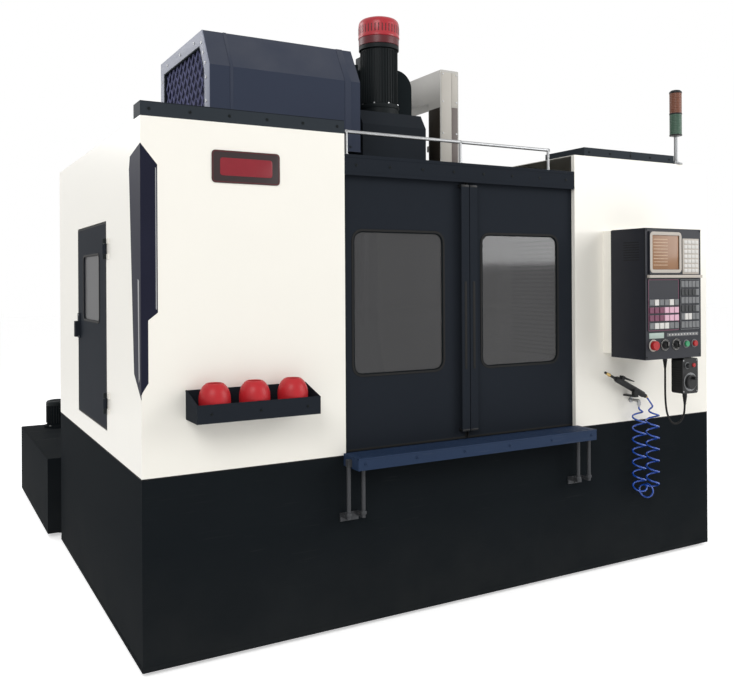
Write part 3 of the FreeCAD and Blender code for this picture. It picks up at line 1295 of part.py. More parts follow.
def pot_body():
    """The outside of one pot at the bottom station, with its pivot pins."""
    z = DRUM_Z - DRUM_RADIUS
    back_x = PIVOT_X + POT_BACK
    mouth_x = back_x - POT_LENGTH
    body = rod((mouth_x, SPINDLE_Y, z), (back_x, SPINDLE_Y, z), POT_HALF)
    reach = POT_HALF + EAR_GAP + EAR_THICKNESS
    pins = rod((PIVOT_X, SPINDLE_Y - reach, z), (PIVOT_X, SPINDLE_Y + reach, z), POT_PIN_RADIUS)
    return fuse(body, pins)


def change_pot():
    """The empty pot at the change station, which tips down to the arm."""
    z = DRUM_Z - DRUM_RADIUS
    mouth_x = PIVOT_X + POT_BACK - POT_LENGTH
    socket = frustum((mouth_x - 0.01, SPINDLE_Y, z), (mouth_x + TAPER_LENGTH, SPINDLE_Y, z),
                     POT_BORE_RADIUS, TAPER_END_RADIUS)
    return cut(pot_body(), socket)


def tool_pots():
    """The other pots, closed by the tools they hold, each on a bar between its two ears."""
    z = DRUM_Z - DRUM_RADIUS
    back_x = PIVOT_X + POT_BACK
    shell = rod((back_x - POT_LENGTH, SPINDLE_Y, z), (back_x, SPINDLE_Y, z), POT_HALF)
    reach = POT_HALF + EAR_GAP
    bar = box(PIVOT_X - POT_PIN_RADIUS, PIVOT_X + POT_PIN_RADIUS, SPINDLE_Y - reach, SPINDLE_Y + reach,
              z - POT_PIN_RADIUS, z + POT_PIN_RADIUS)
    body = fuse(shell, bar)
    return [station(body, index) for index in range(1, STATIONS)]


def loaded_tools():
    """One tool in each of the other pots, with three lengths in turn."""
    z = DRUM_Z - DRUM_RADIUS
    mouth_x = PIVOT_X + POT_BACK - POT_LENGTH
    solids = []
    for index in range(1, STATIONS):
        reach = CUTTER_LENGTHS[index % 3]
        radius = CUTTER_RADII[index % 3]
        end = HOLDER_LENGTH + reach
        profile = [
            (0, 0), (FLANGE_RADIUS, 0), (FLANGE_RADIUS, FLANGE_WIDTH), (HOLDER_RADIUS, FLANGE_WIDTH),
            (HOLDER_RADIUS, HOLDER_LENGTH), (radius, HOLDER_LENGTH), (radius, end), (0, end),
        ]
        tool = turned(profile, (mouth_x, SPINDLE_Y, z), (-1, 0, 0))
        solids.append(station(tool, index))
    return solids


def arm_sleeve():
    """Sleeve that lifts and lowers the changer arm."""
    bore = ARM_SHAFT_RADIUS + FIT_CLEARANCE
    length = SLEEVE_TOP - SLEEVE_BOTTOM
    profile = [(bore, 0), (SLEEVE_RADIUS, 0), (SLEEVE_RADIUS, length), (bore, length)]
    return turned(profile, (ARM_X, SPINDLE_Y, SLEEVE_BOTTOM), (0, 0, 1))


def changer_arm():
    """Double-ended arm with a gripping hook at each end, on its shaft."""
    low = ARM_TOP - ARM_THICKNESS
    half = ARM_WIDTH / 2
    outer = GRIP_RADIUS + GRIP_WALL
    shaft = rod((ARM_X, SPINDLE_Y, low), (ARM_X, SPINDLE_Y, SLEEVE_TOP - 5), ARM_SHAFT_RADIUS)
    hub = rod((ARM_X, SPINDLE_Y, low), (ARM_X, SPINDLE_Y, ARM_TOP + 12), half + 6)
    bar = box(ARM_X - half, ARM_X + half, SPINDLE_Y - ARM_REACH, SPINDLE_Y + ARM_REACH, low, ARM_TOP)
    body = fuse(hub, shaft, bar)
    holes = []
    for side in (-1, 1):
        y = SPINDLE_Y + side * ARM_REACH
        body = fuse(body, rod((ARM_X, y, low), (ARM_X, y, ARM_TOP), outer))
        holes.append(rod((ARM_X, y, low - 1), (ARM_X, y, ARM_TOP + 1), GRIP_RADIUS))
        x0, x1 = sorted((ARM_X - side * (outer + 1), ARM_X - side * 4))
        holes.append(box(x0, x1, y - GRIP_RADIUS * 0.94, y + GRIP_RADIUS * 0.94, low - 1, ARM_TOP + 1))
    return cut(body, *holes)


def cable_duct():
    """Square duct from the column's side, over the machine and down beside the head."""
    half = DUCT_WIDTH / 2
    x0 = DUCT_CENTRE_X - half
    x1 = DUCT_CENTRE_X + half
    low = DUCT_ARM_TOP - DUCT_ARM_HEIGHT
    front = SPINDLE_Y - half
    rear = COLUMN_FACE + DUCT_BRACKET_REAR
    arm = box(x0, x1, front, rear, low, DUCT_ARM_TOP)
    post = box(x0, x1, front, front + DUCT_WIDTH, ROOF, low)
    bracket = box(COLUMN_WIDTH / 2, x0, rear - DUCT_BRACKET_WIDTH, rear,
                  COLUMN_TOP - DUCT_BRACKET_HEIGHT, COLUMN_TOP)
    pieces = [arm, post, bracket]
    y = front + DUCT_WIDTH + CONDUIT_OFFSET
    for side in (-1, 1):
        x = DUCT_CENTRE_X + side * CONDUIT_PITCH / 2
        pieces.append(upright(x, y, ROOF + CONDUIT_END, low, CONDUIT_RADIUS))
    clamp_low = ROOF + CLAMP_RISE
    pieces.append(box(DUCT_CENTRE_X - CLAMP_HALF, DUCT_CENTRE_X + CLAMP_HALF, front + DUCT_WIDTH,
                      y + CONDUIT_RADIUS + 5, clamp_low, clamp_low + CLAMP_HEIGHT))
    return fuse(*pieces)


# ---------------------------------------------------------------- operator box and its controls
CONTROL_Z = CONSOLE_Z0 + 62.0
E_STOP_X = CONSOLE_X0 + 45.0
FEED_X = CONSOLE_X0 + 118.0
MODE_X = CONSOLE_X0 + 188.0
START_X = CONSOLE_X0 + 252.0
STOP_X = CONSOLE_X0 + 305.0
GLAND_X = CONSOLE_X1 - 135.0
GLAND_Y = CONSOLE_FACE + 85.0
GLAND_LENGTH = 20.0
GLAND_RADIUS = 10.0
# fields of the panel: left, right, bottom and top from the box's lower left corner
SCREEN_FRAME = (18.0, 218.0, 372.0, 558.0)
SCREEN = (34.0, 202.0, 392.0, 542.0)
SOFT_KEYS = (228.0, 334.0, 372.0, 530.0)
LEDGE = (8.0, 342.0, 356.0, 368.0)
RIGHT_KEY_FIELD = (212.0, 338.0, 124.0, 350.0)
LEFT_KEY_FIELD = (12.0, 204.0, 124.0, 350.0)
RIGHT_KEY_START = (218.0, 134.0)
RIGHT_KEY_PITCH = (23.5, 36.0)
RIGHT_KEY_SIZE = (19.0, 27.0)
LEFT_KEY_START = (20.0, 134.0)
LEFT_KEY_PITCH = (31.0, 34.0)
LEFT_KEY_SIZE = (25.0, 25.0)
FIELD_PROUD = 3.0
SCREEN_FRAME_PROUD = 8.0
LEDGE_PROUD = 16.0


def operator_housing():
    """Open-fronted housing of the operator box and the gland of the pendant's cable."""
    t = CONSOLE_WALL
    front = CONSOLE_FACE + FACE_THICKNESS
    outer = box(CONSOLE_X0, CONSOLE_X1, front, CONSOLE_BACK, CONSOLE_Z0, CONSOLE_Z1)
    inner = box(
        CONSOLE_X0 + t, CONSOLE_X1 - t, front - 1, CONSOLE_BACK - t, CONSOLE_Z0 + t, CONSOLE_Z1 - t
    )
    foot = CONSOLE_Z0 - GLAND_LENGTH
    gland = rod((GLAND_X, GLAND_Y, foot), (GLAND_X, GLAND_Y, CONSOLE_Z0), GLAND_RADIUS)
    return fuse(cut(outer, inner), gland)


def panel_block(field, proud, sunk=0.0):
    """A block on the panel over a field of left, right, bottom and top places."""
    left, right, bottom, top = field
    return box(
        CONSOLE_X0 + left, CONSOLE_X0 + right, CONSOLE_FACE - proud, CONSOLE_FACE - sunk,
        CONSOLE_Z0 + bottom, CONSOLE_Z0 + top,
    )


def key_rows(first, pitch, size, columns, rows):
    """Give the keys of one key field, row by row."""
    keys = []
    for row in range(rows):
        for place in range(columns):
            left = first[0] + place * pitch[0]
            bottom = first[1] + row * pitch[1]
            field = (left, left + size[0], bottom, bottom + size[1])
            keys.append(panel_block(field, FIELD_PROUD + KEY_HEIGHT, FIELD_PROUD))
    return keys


def panel_face():
    """Face plate with its screen frame, key blocks and the holes of the controls."""
    front = CONSOLE_FACE
    plate = box(CONSOLE_X0, CONSOLE_X1, front, front + FACE_THICKNESS, CONSOLE_Z0, CONSOLE_Z1)
    frame_block = cut(
        panel_block(SCREEN_FRAME, SCREEN_FRAME_PROUD),
        panel_block(SCREEN, SCREEN_FRAME_PROUD + 1, FIELD_PROUD),
    )
    keys = key_rows(RIGHT_KEY_START, RIGHT_KEY_PITCH, RIGHT_KEY_SIZE, 5, 6)
    keys += key_rows(LEFT_KEY_START, LEFT_KEY_PITCH, LEFT_KEY_SIZE, 6, 4)
    fields = [panel_block(field, FIELD_PROUD) for field in (SOFT_KEYS, RIGHT_KEY_FIELD, LEFT_KEY_FIELD)]
    body = fuse(plate, frame_block, panel_block(LEDGE, LEDGE_PROUD), *fields, *keys)
    button_hole = BUTTON_STEM_RADIUS + FIT_CLEARANCE
    knob_hole = KNOB_SHAFT_RADIUS + FIT_CLEARANCE
    controls = [(x, button_hole) for x in (E_STOP_X, START_X, STOP_X)]
    controls += [(x, knob_hole) for x in (FEED_X, MODE_X)]
    back = front + FACE_THICKNESS + 1
    holes = [rod((x, front - 1, CONTROL_Z), (x, back, CONTROL_Z), radius) for x, radius in controls]
    return cut(body, *holes)


def push_button(x, cap_radius, cap_length):
    """A push button at the panel: a cap in front and a stem through the plate."""
    gap = BUTTON_TRAVEL + SEAT_GAP
    profile = [
        (0, 0), (BUTTON_STEM_RADIUS, 0), (BUTTON_STEM_RADIUS, FACE_THICKNESS + 8 + gap),
        (cap_radius, FACE_THICKNESS + 8 + gap), (cap_radius, FACE_THICKNESS + 6 + gap + cap_length),
        (cap_radius - 2, FACE_THICKNESS + 8 + gap + cap_length), (0, FACE_THICKNESS + 8 + gap + cap_length),
    ]
    return turned(profile, (x, CONSOLE_FACE + FACE_THICKNESS + 8, CONTROL_Z), (0, -1, 0))


def panel_knob(x):
    """A turning knob with a pointer rib, and its shaft through the plate."""
    profile = [
        (0, 0), (KNOB_SHAFT_RADIUS, 0), (KNOB_SHAFT_RADIUS, FACE_THICKNESS + 6 + SEAT_GAP),
        (KNOB_RADIUS, FACE_THICKNESS + 6 + SEAT_GAP), (KNOB_RADIUS, FACE_THICKNESS + 11),
        (KNOB_RADIUS - 4, FACE_THICKNESS + 22), (0, FACE_THICKNESS + 22),
    ]
    knob = turned(profile, (x, CONSOLE_FACE + FACE_THICKNESS + 6, CONTROL_Z), (0, -1, 0))
    rib = box(x - 2.5, x + 2.5, CONSOLE_FACE - 21, CONSOLE_FACE - 6, CONTROL_Z - 12, CONTROL_Z + 15)
    return fuse(knob, rib)


PENDANT_X = CONSOLE_X1 - 65.0
PENDANT_TOP = CONSOLE_Z0 - PENDANT_BELOW
PENDANT_BOTTOM = PENDANT_TOP - PENDANT_HEIGHT
PENDANT_FRONT = CONSOLE_FACE + 5.0
PENDANT_BACK = PENDANT_FRONT + PENDANT_DEPTH
HANDWHEEL_Z = PENDANT_BOTTOM + 52.0
AXIS_KNOB_Z = PENDANT_TOP - 32.0
AXIS_KNOB_X = PENDANT_X - 20.0


def pendant_box():
    """Hand pendant with its cable gland and the holder it hangs on."""
    half = PENDANT_WIDTH / 2
    body = rounded(
        box(PENDANT_X - half, PENDANT_X + half, PENDANT_FRONT, PENDANT_BACK, PENDANT_BOTTOM, PENDANT_TOP),
        12.0, (0, 1, 0),
    )
    y = (PENDANT_FRONT + PENDANT_BACK) / 2
    gland = rod((PENDANT_X, y, PENDANT_BOTTOM - GLAND_LENGTH), (PENDANT_X, y, PENDANT_BOTTOM), GLAND_RADIUS)
    holes = []
    for x, z in ((PENDANT_X, HANDWHEEL_Z), (AXIS_KNOB_X, AXIS_KNOB_Z)):
        hole_end = (x, PENDANT_FRONT + 14, z)
        holes.append(rod((x, PENDANT_FRONT - 1, z), hole_end, KNOB_SHAFT_RADIUS + FIT_CLEARANCE))
    holder = box(PENDANT_X - 20, PENDANT_X + 20, PENDANT_BACK, PENDANT_BACK + 6, PENDANT_TOP - 30, CONSOLE_Z0)
    return [cut(fuse(body, gland), *holes), holder]


def handwheel():
    """Pulse wheel of the pendant with its crank grip."""
    y = PENDANT_FRONT
    profile = [
        (0, 0), (KNOB_SHAFT_RADIUS, 0), (KNOB_SHAFT_RADIUS, 12 + SEAT_GAP), (HANDWHEEL_RADIUS, 12 + SEAT_GAP),
        (HANDWHEEL_RADIUS, 22), (HANDWHEEL_RADIUS - 5, 25), (0, 25),
    ]
    wheel = turned(profile, (PENDANT_X, y + 12, HANDWHEEL_Z), (0, -1, 0))
    grip_z = HANDWHEEL_Z + HANDWHEEL_RADIUS - 15
    return fuse(wheel, rod((PENDANT_X, y - 12, grip_z), (PENDANT_X, y - 32, grip_z), 7.0))


def axis_knob():
    """Axis selector knob of the pendant."""
    profile = [
        (0, 0), (KNOB_SHAFT_RADIUS, 0), (KNOB_SHAFT_RADIUS, 12 + SEAT_GAP), (11, 12 + SEAT_GAP), (11, 18),
        (8, 26), (0, 26),
    ]
    return turned(profile, (AXIS_KNOB_X, PENDANT_FRONT + 12, AXIS_KNOB_Z), (0, -1, 0))


# ---------------------------------------------------------------- air gun, hose and pendant cable
GUN_Y = FRONT - 50.0
GUN_TIP = Vector(CONSOLE_X0 - 39, GUN_Y, CONSOLE_Z0 - 69)
GUN_DIRECTION = Vector(math.cos(math.radians(GUN_TILT)), 0, -math.sin(math.radians(GUN_TILT)))
GUN_ACROSS = Vector(GUN_DIRECTION.z, 0, -GUN_DIRECTION.x) * -1
GUN_INLET = GUN_TIP + GUN_DIRECTION * GUN_LENGTH
TRIGGER_ALONG = 108.0
TRIGGER_THICKNESS = 8.0
TRIGGER_PIN_OFFSET = GUN_RADIUS + 8.0
TRIGGER_PIN_RADIUS = 3.0
LUG_HALF = 8.0
LUG_GAP = 0.5
LUG_SHEET = 6.0
HOOK_ALONG = 195.0
HOOK_HALF = 12.0
HOOK_SHEET = 4.0


def along_gun(distance, up=0.0, y=0.0):
    """Give a point at a distance from the gun's tip, raised off its centre line."""
    return GUN_TIP + GUN_DIRECTION * distance + GUN_ACROSS * up + Vector(0, y, 0)


def gun_plate(outline, half):
    """Extrude an outline in the gun's own plane to both sides."""
    points = [tuple(along_gun(a, b, -half)) for a, b in outline]
    return extrude(points, (0, 2 * half, 0))


def air_gun():
    """Air gun with its nozzle, inlet and trigger lugs, on a hook plate."""
    body = rod(tuple(along_gun(NOZZLE_LENGTH)), tuple(along_gun(GUN_LENGTH - 20)), GUN_RADIUS)
    nozzle = rod(tuple(along_gun(0)), tuple(along_gun(NOZZLE_LENGTH)), NOZZLE_RADIUS)
    inlet = rod(tuple(along_gun(GUN_LENGTH - 20)), tuple(along_gun(GUN_LENGTH)), GUN_RADIUS * 0.7)
    lugs = []
    pin_top = TRIGGER_PIN_OFFSET + 6
    near = TRIGGER_ALONG - LUG_HALF
    far = TRIGGER_ALONG + LUG_HALF
    for side in (-1, 1):
        y = side * (TRIGGER_THICKNESS / 2 + LUG_GAP + LUG_SHEET / 2) - LUG_SHEET / 2
        outline = [(near, 0), (far, 0), (far, pin_top), (near, pin_top)]
        points = [tuple(along_gun(a, b, y)) for a, b in outline]
        lugs.append(extrude(points, (0, LUG_SHEET, 0)))
    pin_hole = rod(tuple(along_gun(TRIGGER_ALONG, TRIGGER_PIN_OFFSET, -20)),
                   tuple(along_gun(TRIGGER_ALONG, TRIGGER_PIN_OFFSET, 20)),
                   TRIGGER_PIN_RADIUS + FIT_CLEARANCE)
    gun = cut(fuse(body, nozzle, inlet, *lugs), pin_hole)
    hook = along_gun(HOOK_ALONG)
    x0 = hook.x - HOOK_HALF
    x1 = hook.x + HOOK_HALF
    below = hook.z - GUN_RADIUS
    front = GUN_Y - GUN_RADIUS - HOOK_SHEET - 2
    arm = box(x0, x1, front, FRONT, below - 22, below - 14)
    saddle_lip = box(x0, x1, front, front + HOOK_SHEET, below - 14, hook.z)
    rest = box(hook.x - 5, hook.x + 5, GUN_Y - 5, GUN_Y + 5, below - 14, hook.z - 4)
    space = rod(tuple(along_gun(NOZZLE_LENGTH)), tuple(along_gun(GUN_LENGTH)), GUN_RADIUS)
    return [gun, cut(fuse(arm, saddle_lip, rest), space)]


def gun_trigger():
    """Lever trigger of the air gun on its cross pin."""
    pin = TRIGGER_PIN_OFFSET
    tip = TRIGGER_ALONG + TRIGGER_LENGTH
    outline = [
        (TRIGGER_ALONG - 6, pin - 5), (TRIGGER_ALONG + 6, pin - 5), (tip, pin + 8),
        (tip, pin + 12), (TRIGGER_ALONG + 6, pin + 6), (TRIGGER_ALONG - 6, pin + 6),
    ]
    lever = gun_plate(outline, TRIGGER_THICKNESS / 2)
    reach = TRIGGER_THICKNESS / 2 + 6
    pin_start = tuple(along_gun(TRIGGER_ALONG, pin, -reach))
    pin_end = tuple(along_gun(TRIGGER_ALONG, pin, reach))
    return fuse(lever, rod(pin_start, pin_end, TRIGGER_PIN_RADIUS))


CABLE_ROUTE = (
    (965.0, -1100.0, 955.0),
    (965.0, -1100.0, 893.0),
    (961.0, -1103.0, 830.0),
    (956.0, -1109.0, 768.0),
    (959.0, -1116.0, 712.0),
    (980.0, -1124.0, 673.0),
    (1015.0, -1134.0, 672.0),
    (1035.0, -1144.0, 708.0),
    (1035.0, -1149.0, 752.0),
    (1035.0, -1149.0, 792.0),
)
HOSE_PORT_X = 922.0
HOSE_RIGHT_X = 1010.0
HOSE_TOP = 735.0
HOSE_LOW = HOSE_TOP - CURLS_PER_LEG * CURL_PITCH
HOSE_PORT_Z = 746.0
ELBOW_RADIUS = 9.0
BEND_CURLS = 2
END_RAMP = 40.0


def cord_tube(route, diameter):
    """Sweep a round cord along straight runs joined by tangent arcs, and print its sizes."""
    points = [Vector(*point) for point in route]
    edges = []
    start = points[0]
    radii = []
    length = 0.0
    for before, corner, after in zip(points, points[1:], points[2:]):
        incoming = corner - before
        outgoing = after - corner
        turn = incoming.getAngle(outgoing)
        reach = 0.45 * min(incoming.Length, outgoing.Length)
        radius = reach / math.tan(turn / 2)
        first = corner - incoming.normalize() * reach
        last = corner + outgoing.normalize() * reach
        bisector = (last - corner + first - corner).normalize()
        middle = corner + bisector * (math.hypot(radius, reach) - radius)
        edges.append(Part.LineSegment(start, first).toShape())
        edges.append(Part.Arc(first, middle, last).toShape())
        length += edges[-2].Length + edges[-1].Length
        radii.append(round(radius))
        start = last
    edges.append(Part.LineSegment(start, points[-1]).toShape())
    length += edges[-1].Length
    wire = Part.Wire(edges)
    direction = points[1] - points[0]
    section = Part.Wire(Part.Circle(points[0], direction, diameter / 2).toShape())
    tube = wire.makePipeShell([section], True, False)
    share = tube.Volume / (math.pi * diameter ** 2 / 4 * length)
    print("cord of", round(length), "mm, radii", radii, "volume share", round(share, 4))
    return tube


def hose_centre(place):
    """Point, direction and outward side of the hose's U line at a length along it."""
    leg = HOSE_TOP - HOSE_LOW
    middle = (HOSE_PORT_X + HOSE_RIGHT_X) / 2
    radius = (HOSE_RIGHT_X - HOSE_PORT_X) / 2
    bend = math.pi * radius
    if place <= leg:
        return Vector(HOSE_RIGHT_X, GUN_Y, HOSE_TOP - place), Vector(0, 0, -1), Vector(1, 0, 0)
    if place >= leg + bend:
        rise = place - leg - bend
        return Vector(HOSE_PORT_X, GUN_Y, HOSE_LOW + rise), Vector(0, 0, 1), Vector(-1, 0, 0)
    turn = (place - leg) / radius
    side = Vector(math.cos(turn), 0, -math.sin(turn))
    return Vector(middle, GUN_Y, HOSE_LOW) + side * radius, Vector(-math.sin(turn), 0, -math.cos(turn)), side


def hose_place(place, total):
    """Point on the curly hose's centre line at a length along its U line."""
    centre, _, side = hose_centre(place)
    near_end = min(place, total - place)
    share = min(1.0, max(0.0, near_end / END_RAMP))
    radius = CURL_RADIUS * share * share * (3 - 2 * share)
    curls = 2 * CURLS_PER_LEG + BEND_CURLS
    phase = 2 * math.pi * curls * place / total
    return centre + side * (radius * math.cos(phase)) + Vector(0, radius * math.sin(phase), 0)


def arc_between(start, tangent, end):
    """An arc that leaves the start along the tangent and reaches the end."""
    chord = end - start
    angle = tangent.getAngle(chord)
    if angle < 1e-4:
        return Part.LineSegment(start, end).toShape()
    ahead = Vector(chord).normalize()
    outward = (tangent - ahead * tangent.dot(ahead)).normalize()
    middle = start + chord / 2 + outward * (chord.Length / 2 * math.tan(angle / 2))
    return Part.Arc(start, middle, end).toShape()


def biarc(start, start_tangent, end, end_tangent):
    """Two arcs that join two points smoothly along their tangents."""
    chord = end - start
    total = start_tangent + end_tangent
    spread = 2 * (1 - start_tangent.dot(end_tangent))
    along = chord.dot(total)
    if spread < 1e-6:
        reach = chord.dot(chord) / (4 * chord.dot(end_tangent))
    else:
        reach = (-along + math.sqrt(along * along + spread * chord.dot(chord))) / spread
    joint = (start + end + (start_tangent - end_tangent) * reach) / 2
    first = arc_between(start, start_tangent, joint)
    last = arc_between(end, end_tangent * -1, joint)
    return [first, last]


def least_gap(wire, diameter, count, skip):
    """Least space between turns of a tube, measured on points of its centre line."""
    points = wire.discretize(count)
    least = 1e9
    for index, point in enumerate(points):
        for other in points[index + skip:]:
            least = min(least, (point - other).Length)
    return least - diameter


def air_hose():
    """Curly hose from the gun's inlet down and up again to its port, and the port's elbow."""
    leg = HOSE_TOP - HOSE_LOW
    total = 2 * leg + math.pi * (HOSE_RIGHT_X - HOSE_PORT_X) / 2
    steps = 4 * (2 * CURLS_PER_LEG + BEND_CURLS)
    nudge = 0.01
    knots = [(GUN_INLET, GUN_DIRECTION), (GUN_INLET + GUN_DIRECTION * HOSE_DIAMETER, GUN_DIRECTION)]
    for step in range(steps + 1):
        place = total * step / steps
        before = hose_place(max(0.0, place - nudge), total)
        after = hose_place(min(total, place + nudge), total)
        knots.append((hose_place(place, total), (after - before).normalize()))
    up = Vector(0, 0, 1)
    knots[-1] = (knots[-1][0], up)
    knots[2] = (knots[2][0], up * -1)
    edges = [Part.LineSegment(knots[0][0], knots[1][0]).toShape()]
    for (start, start_tangent), (end, end_tangent) in zip(knots[1:], knots[2:]):
        edges.extend(biarc(start, start_tangent, end, end_tangent))
    port = Vector(HOSE_PORT_X, GUN_Y, HOSE_PORT_Z)
    edges.append(Part.LineSegment(knots[-1][0], port).toShape())
    wire = Part.Wire(Part.__sortEdges__(edges))
    radius = HOSE_DIAMETER / 2
    aside = Vector(0, 1, 0)
    over = GUN_DIRECTION.cross(aside)
    corners = [
        GUN_INLET + aside * (radius * math.cos(turn)) + over * (radius * math.sin(turn))
        for turn in (math.pi / 3 * side for side in range(6))
    ]
    section = Part.makePolygon(corners + corners[:1])
    tube = wire.makePipeShell([section], True, False)
    area = 1.5 * math.sqrt(3) * radius ** 2
    radii = [edge.Curve.Radius for edge in edges if hasattr(edge.Curve, "Radius")]
    print("curly hose of", round(wire.Length), "mm, least radius", round(min(radii), 1),
          "volume share", round(tube.Volume / (area * wire.Length), 4),
          "least gap", round(least_gap(wire, HOSE_DIAMETER, 1500, 45), 2))
    elbow = fuse(
        rod((HOSE_PORT_X, GUN_Y, HOSE_PORT_Z), (HOSE_PORT_X, GUN_Y, HOSE_PORT_Z + 26), ELBOW_RADIUS),
        rod((HOSE_PORT_X, GUN_Y, HOSE_PORT_Z + 17), (HOSE_PORT_X, FRONT, HOSE_PORT_Z + 17), ELBOW_RADIUS - 1),
    )
    return [tube, elbow]


# ---------------------------------------------------------------- rear units
TANK_X0 = LEFT - TANK_PROUD
TANK_X1 = TANK_X0 + TANK_LENGTH
TANK_Y0 = REAR + TANK_BEHIND
TANK_Y1 = TANK_Y0 + TANK_DEPTH
TANK_TOP = TANK_FOOT + TANK_HEIGHT
POWER_X0 = BASE_WIDTH / 2 + POWER_CABINET_BESIDE_BED
POWER_X1 = POWER_X0 + POWER_CABINET_WIDTH
POWER_BACK = REAR + POWER_CABINET_DEPTH
POWER_Z1 = POWER_CABINET_FLOOR + POWER_CABINET_HEIGHT
POWER_DOOR = 22.0
POWER_HINGE_X = POWER_X1 + 6.0
POWER_HINGE_Y = POWER_BACK + 6.0
POWER_HINGE_RADIUS = 6.0
POWER_HINGES = (POWER_CABINET_FLOOR + 180.0, POWER_Z1 - 180.0)
SWITCH_X = POWER_X0 + 90.0
SWITCH_Z = POWER_Z1 - 260.0
SWITCH_SHAFT = 6.0
SWITCH_RADIUS = 30.0


def coolant_tank():
    """Tank pan with its lid, feet, pump and the chute from the chip pan."""
    t = TANK_WALL
    pan = sheet_box(TANK_X0, TANK_X1, TANK_Y0, TANK_Y1, TANK_FOOT, TANK_TOP - t, t, "top")
    feet = []
    inset = TANK_FOOT_INSET
    for x in (TANK_X0 + inset, TANK_X1 - inset):
        for y in (TANK_Y0 + inset, TANK_Y1 - inset):
            feet.append(rod((x, y, 0), (x, y, TANK_FOOT), TANK_FOOT_RADIUS))
    lid = box(TANK_X0, TANK_X1, TANK_Y0, TANK_Y1, TANK_TOP - t, TANK_TOP)
    pump_x = TANK_X0 + 200.0
    pump_y = TANK_Y1 - 110.0
    profile = [
        (0, 0), (PUMP_RADIUS + 16, 0), (PUMP_RADIUS + 16, 14), (PUMP_RADIUS, 14),
        (PUMP_RADIUS, PUMP_HEIGHT - 20), (PUMP_RADIUS - 16, PUMP_HEIGHT), (0, PUMP_HEIGHT),
    ]
    pump = turned(profile, (pump_x, pump_y, TANK_TOP), (0, 0, 1))
    chute_end = TANK_Y0 + CHUTE_OVERHANG
    chute_top = CHIP_PAN_HEIGHT + DRAIN_HEIGHT
    chute = [
        box(DRAIN_LEFT, DRAIN_RIGHT, REAR, chute_end, TANK_TOP, TANK_TOP + SHEET),
        box(DRAIN_LEFT, DRAIN_LEFT + SHEET, REAR, chute_end, TANK_TOP + SHEET, chute_top),
        box(DRAIN_RIGHT - SHEET, DRAIN_RIGHT, REAR, chute_end, TANK_TOP + SHEET, chute_top),
    ]
    return [*pan, *feet, lid, pump, *chute]


def electrical_cabinet():
    """Rear cabinet of five sheets, open at its back, with the fixed knuckles of its door."""
    sheets = sheet_box(POWER_X0, POWER_X1, REAR, POWER_BACK, POWER_CABINET_FLOOR, POWER_Z1, SHEET, "back")
    hinges = []
    r = POWER_HINGE_RADIUS
    for height in POWER_HINGES:
        low = height - HINGE_KNUCKLE
        top = height + HINGE_KNUCKLE
        pieces = [upright(POWER_HINGE_X, POWER_HINGE_Y, low, top, r - 2)]
        gap = HINGE_KNUCKLE / 2 + SEAT_GAP
        for z0, z1 in ((low, height - gap), (height + gap, top)):
            pieces.append(upright(POWER_HINGE_X, POWER_HINGE_Y, z0, z1, r))
            pieces.append(box(POWER_X1, POWER_X1 + SHEET, POWER_BACK - HINGE_LEAF, POWER_HINGE_Y, z0, z1))
        hinges.append(fuse(*pieces))
    return [*sheets, *hinges]


def cabinet_door():
    """Pan-shaped rear door of the electrical cabinet."""
    y0 = POWER_BACK + SEAT_GAP
    y1 = POWER_BACK + POWER_DOOR
    x0 = POWER_X0 + DOOR_SEAM
    x1 = POWER_X1 - DOOR_SEAM
    z0 = POWER_CABINET_FLOOR + DOOR_SEAM
    z1 = POWER_Z1 - DOOR_SEAM
    pan = cut(
        box(x0, x1, y0, y1, z0, z1),
        box(x0 + DOOR_SKIN, x1 - DOOR_SKIN, y0 - 1, y1 - DOOR_SKIN, z0 + DOOR_SKIN, z1 - DOOR_SKIN),
    )
    r = POWER_HINGE_RADIUS
    reach = HINGE_KNUCKLE / 2
    for height in POWER_HINGES:
        low = height - reach
        top = height + reach
        knuckle = fuse(
            upright(POWER_HINGE_X, POWER_HINGE_Y, low, top, r),
            box(x1 - DOOR_SKIN, POWER_HINGE_X, POWER_HINGE_Y, POWER_HINGE_Y + r, low, top),
        )
        bore = upright(POWER_HINGE_X, POWER_HINGE_Y, low - 1, top + 1, r - 2 + FIT_CLEARANCE)
        pan = fuse(pan, cut(knuckle, bore))
    hole = rod((SWITCH_X, y0 - 1, SWITCH_Z), (SWITCH_X, y1 + 1, SWITCH_Z), SWITCH_SHAFT + FIT_CLEARANCE)
    return cut(pan, hole)


def main_switch():
    """Turning handle of the main switch, with its shaft through the rear door."""
    face = POWER_BACK + POWER_DOOR
    profile = [
        (0, 0), (SWITCH_SHAFT, 0), (SWITCH_SHAFT, 12 + SEAT_GAP), (SWITCH_RADIUS, 12 + SEAT_GAP),
        (SWITCH_RADIUS, 24), (0, 24),
    ]
    knob = turned(profile, (SWITCH_X, face - 12, SWITCH_Z), (0, 1, 0))
    grip = box(SWITCH_X - 8, SWITCH_X + 8, face + 10, face + 32, SWITCH_Z - 26, SWITCH_Z + 36)
    return fuse(knob, grip)


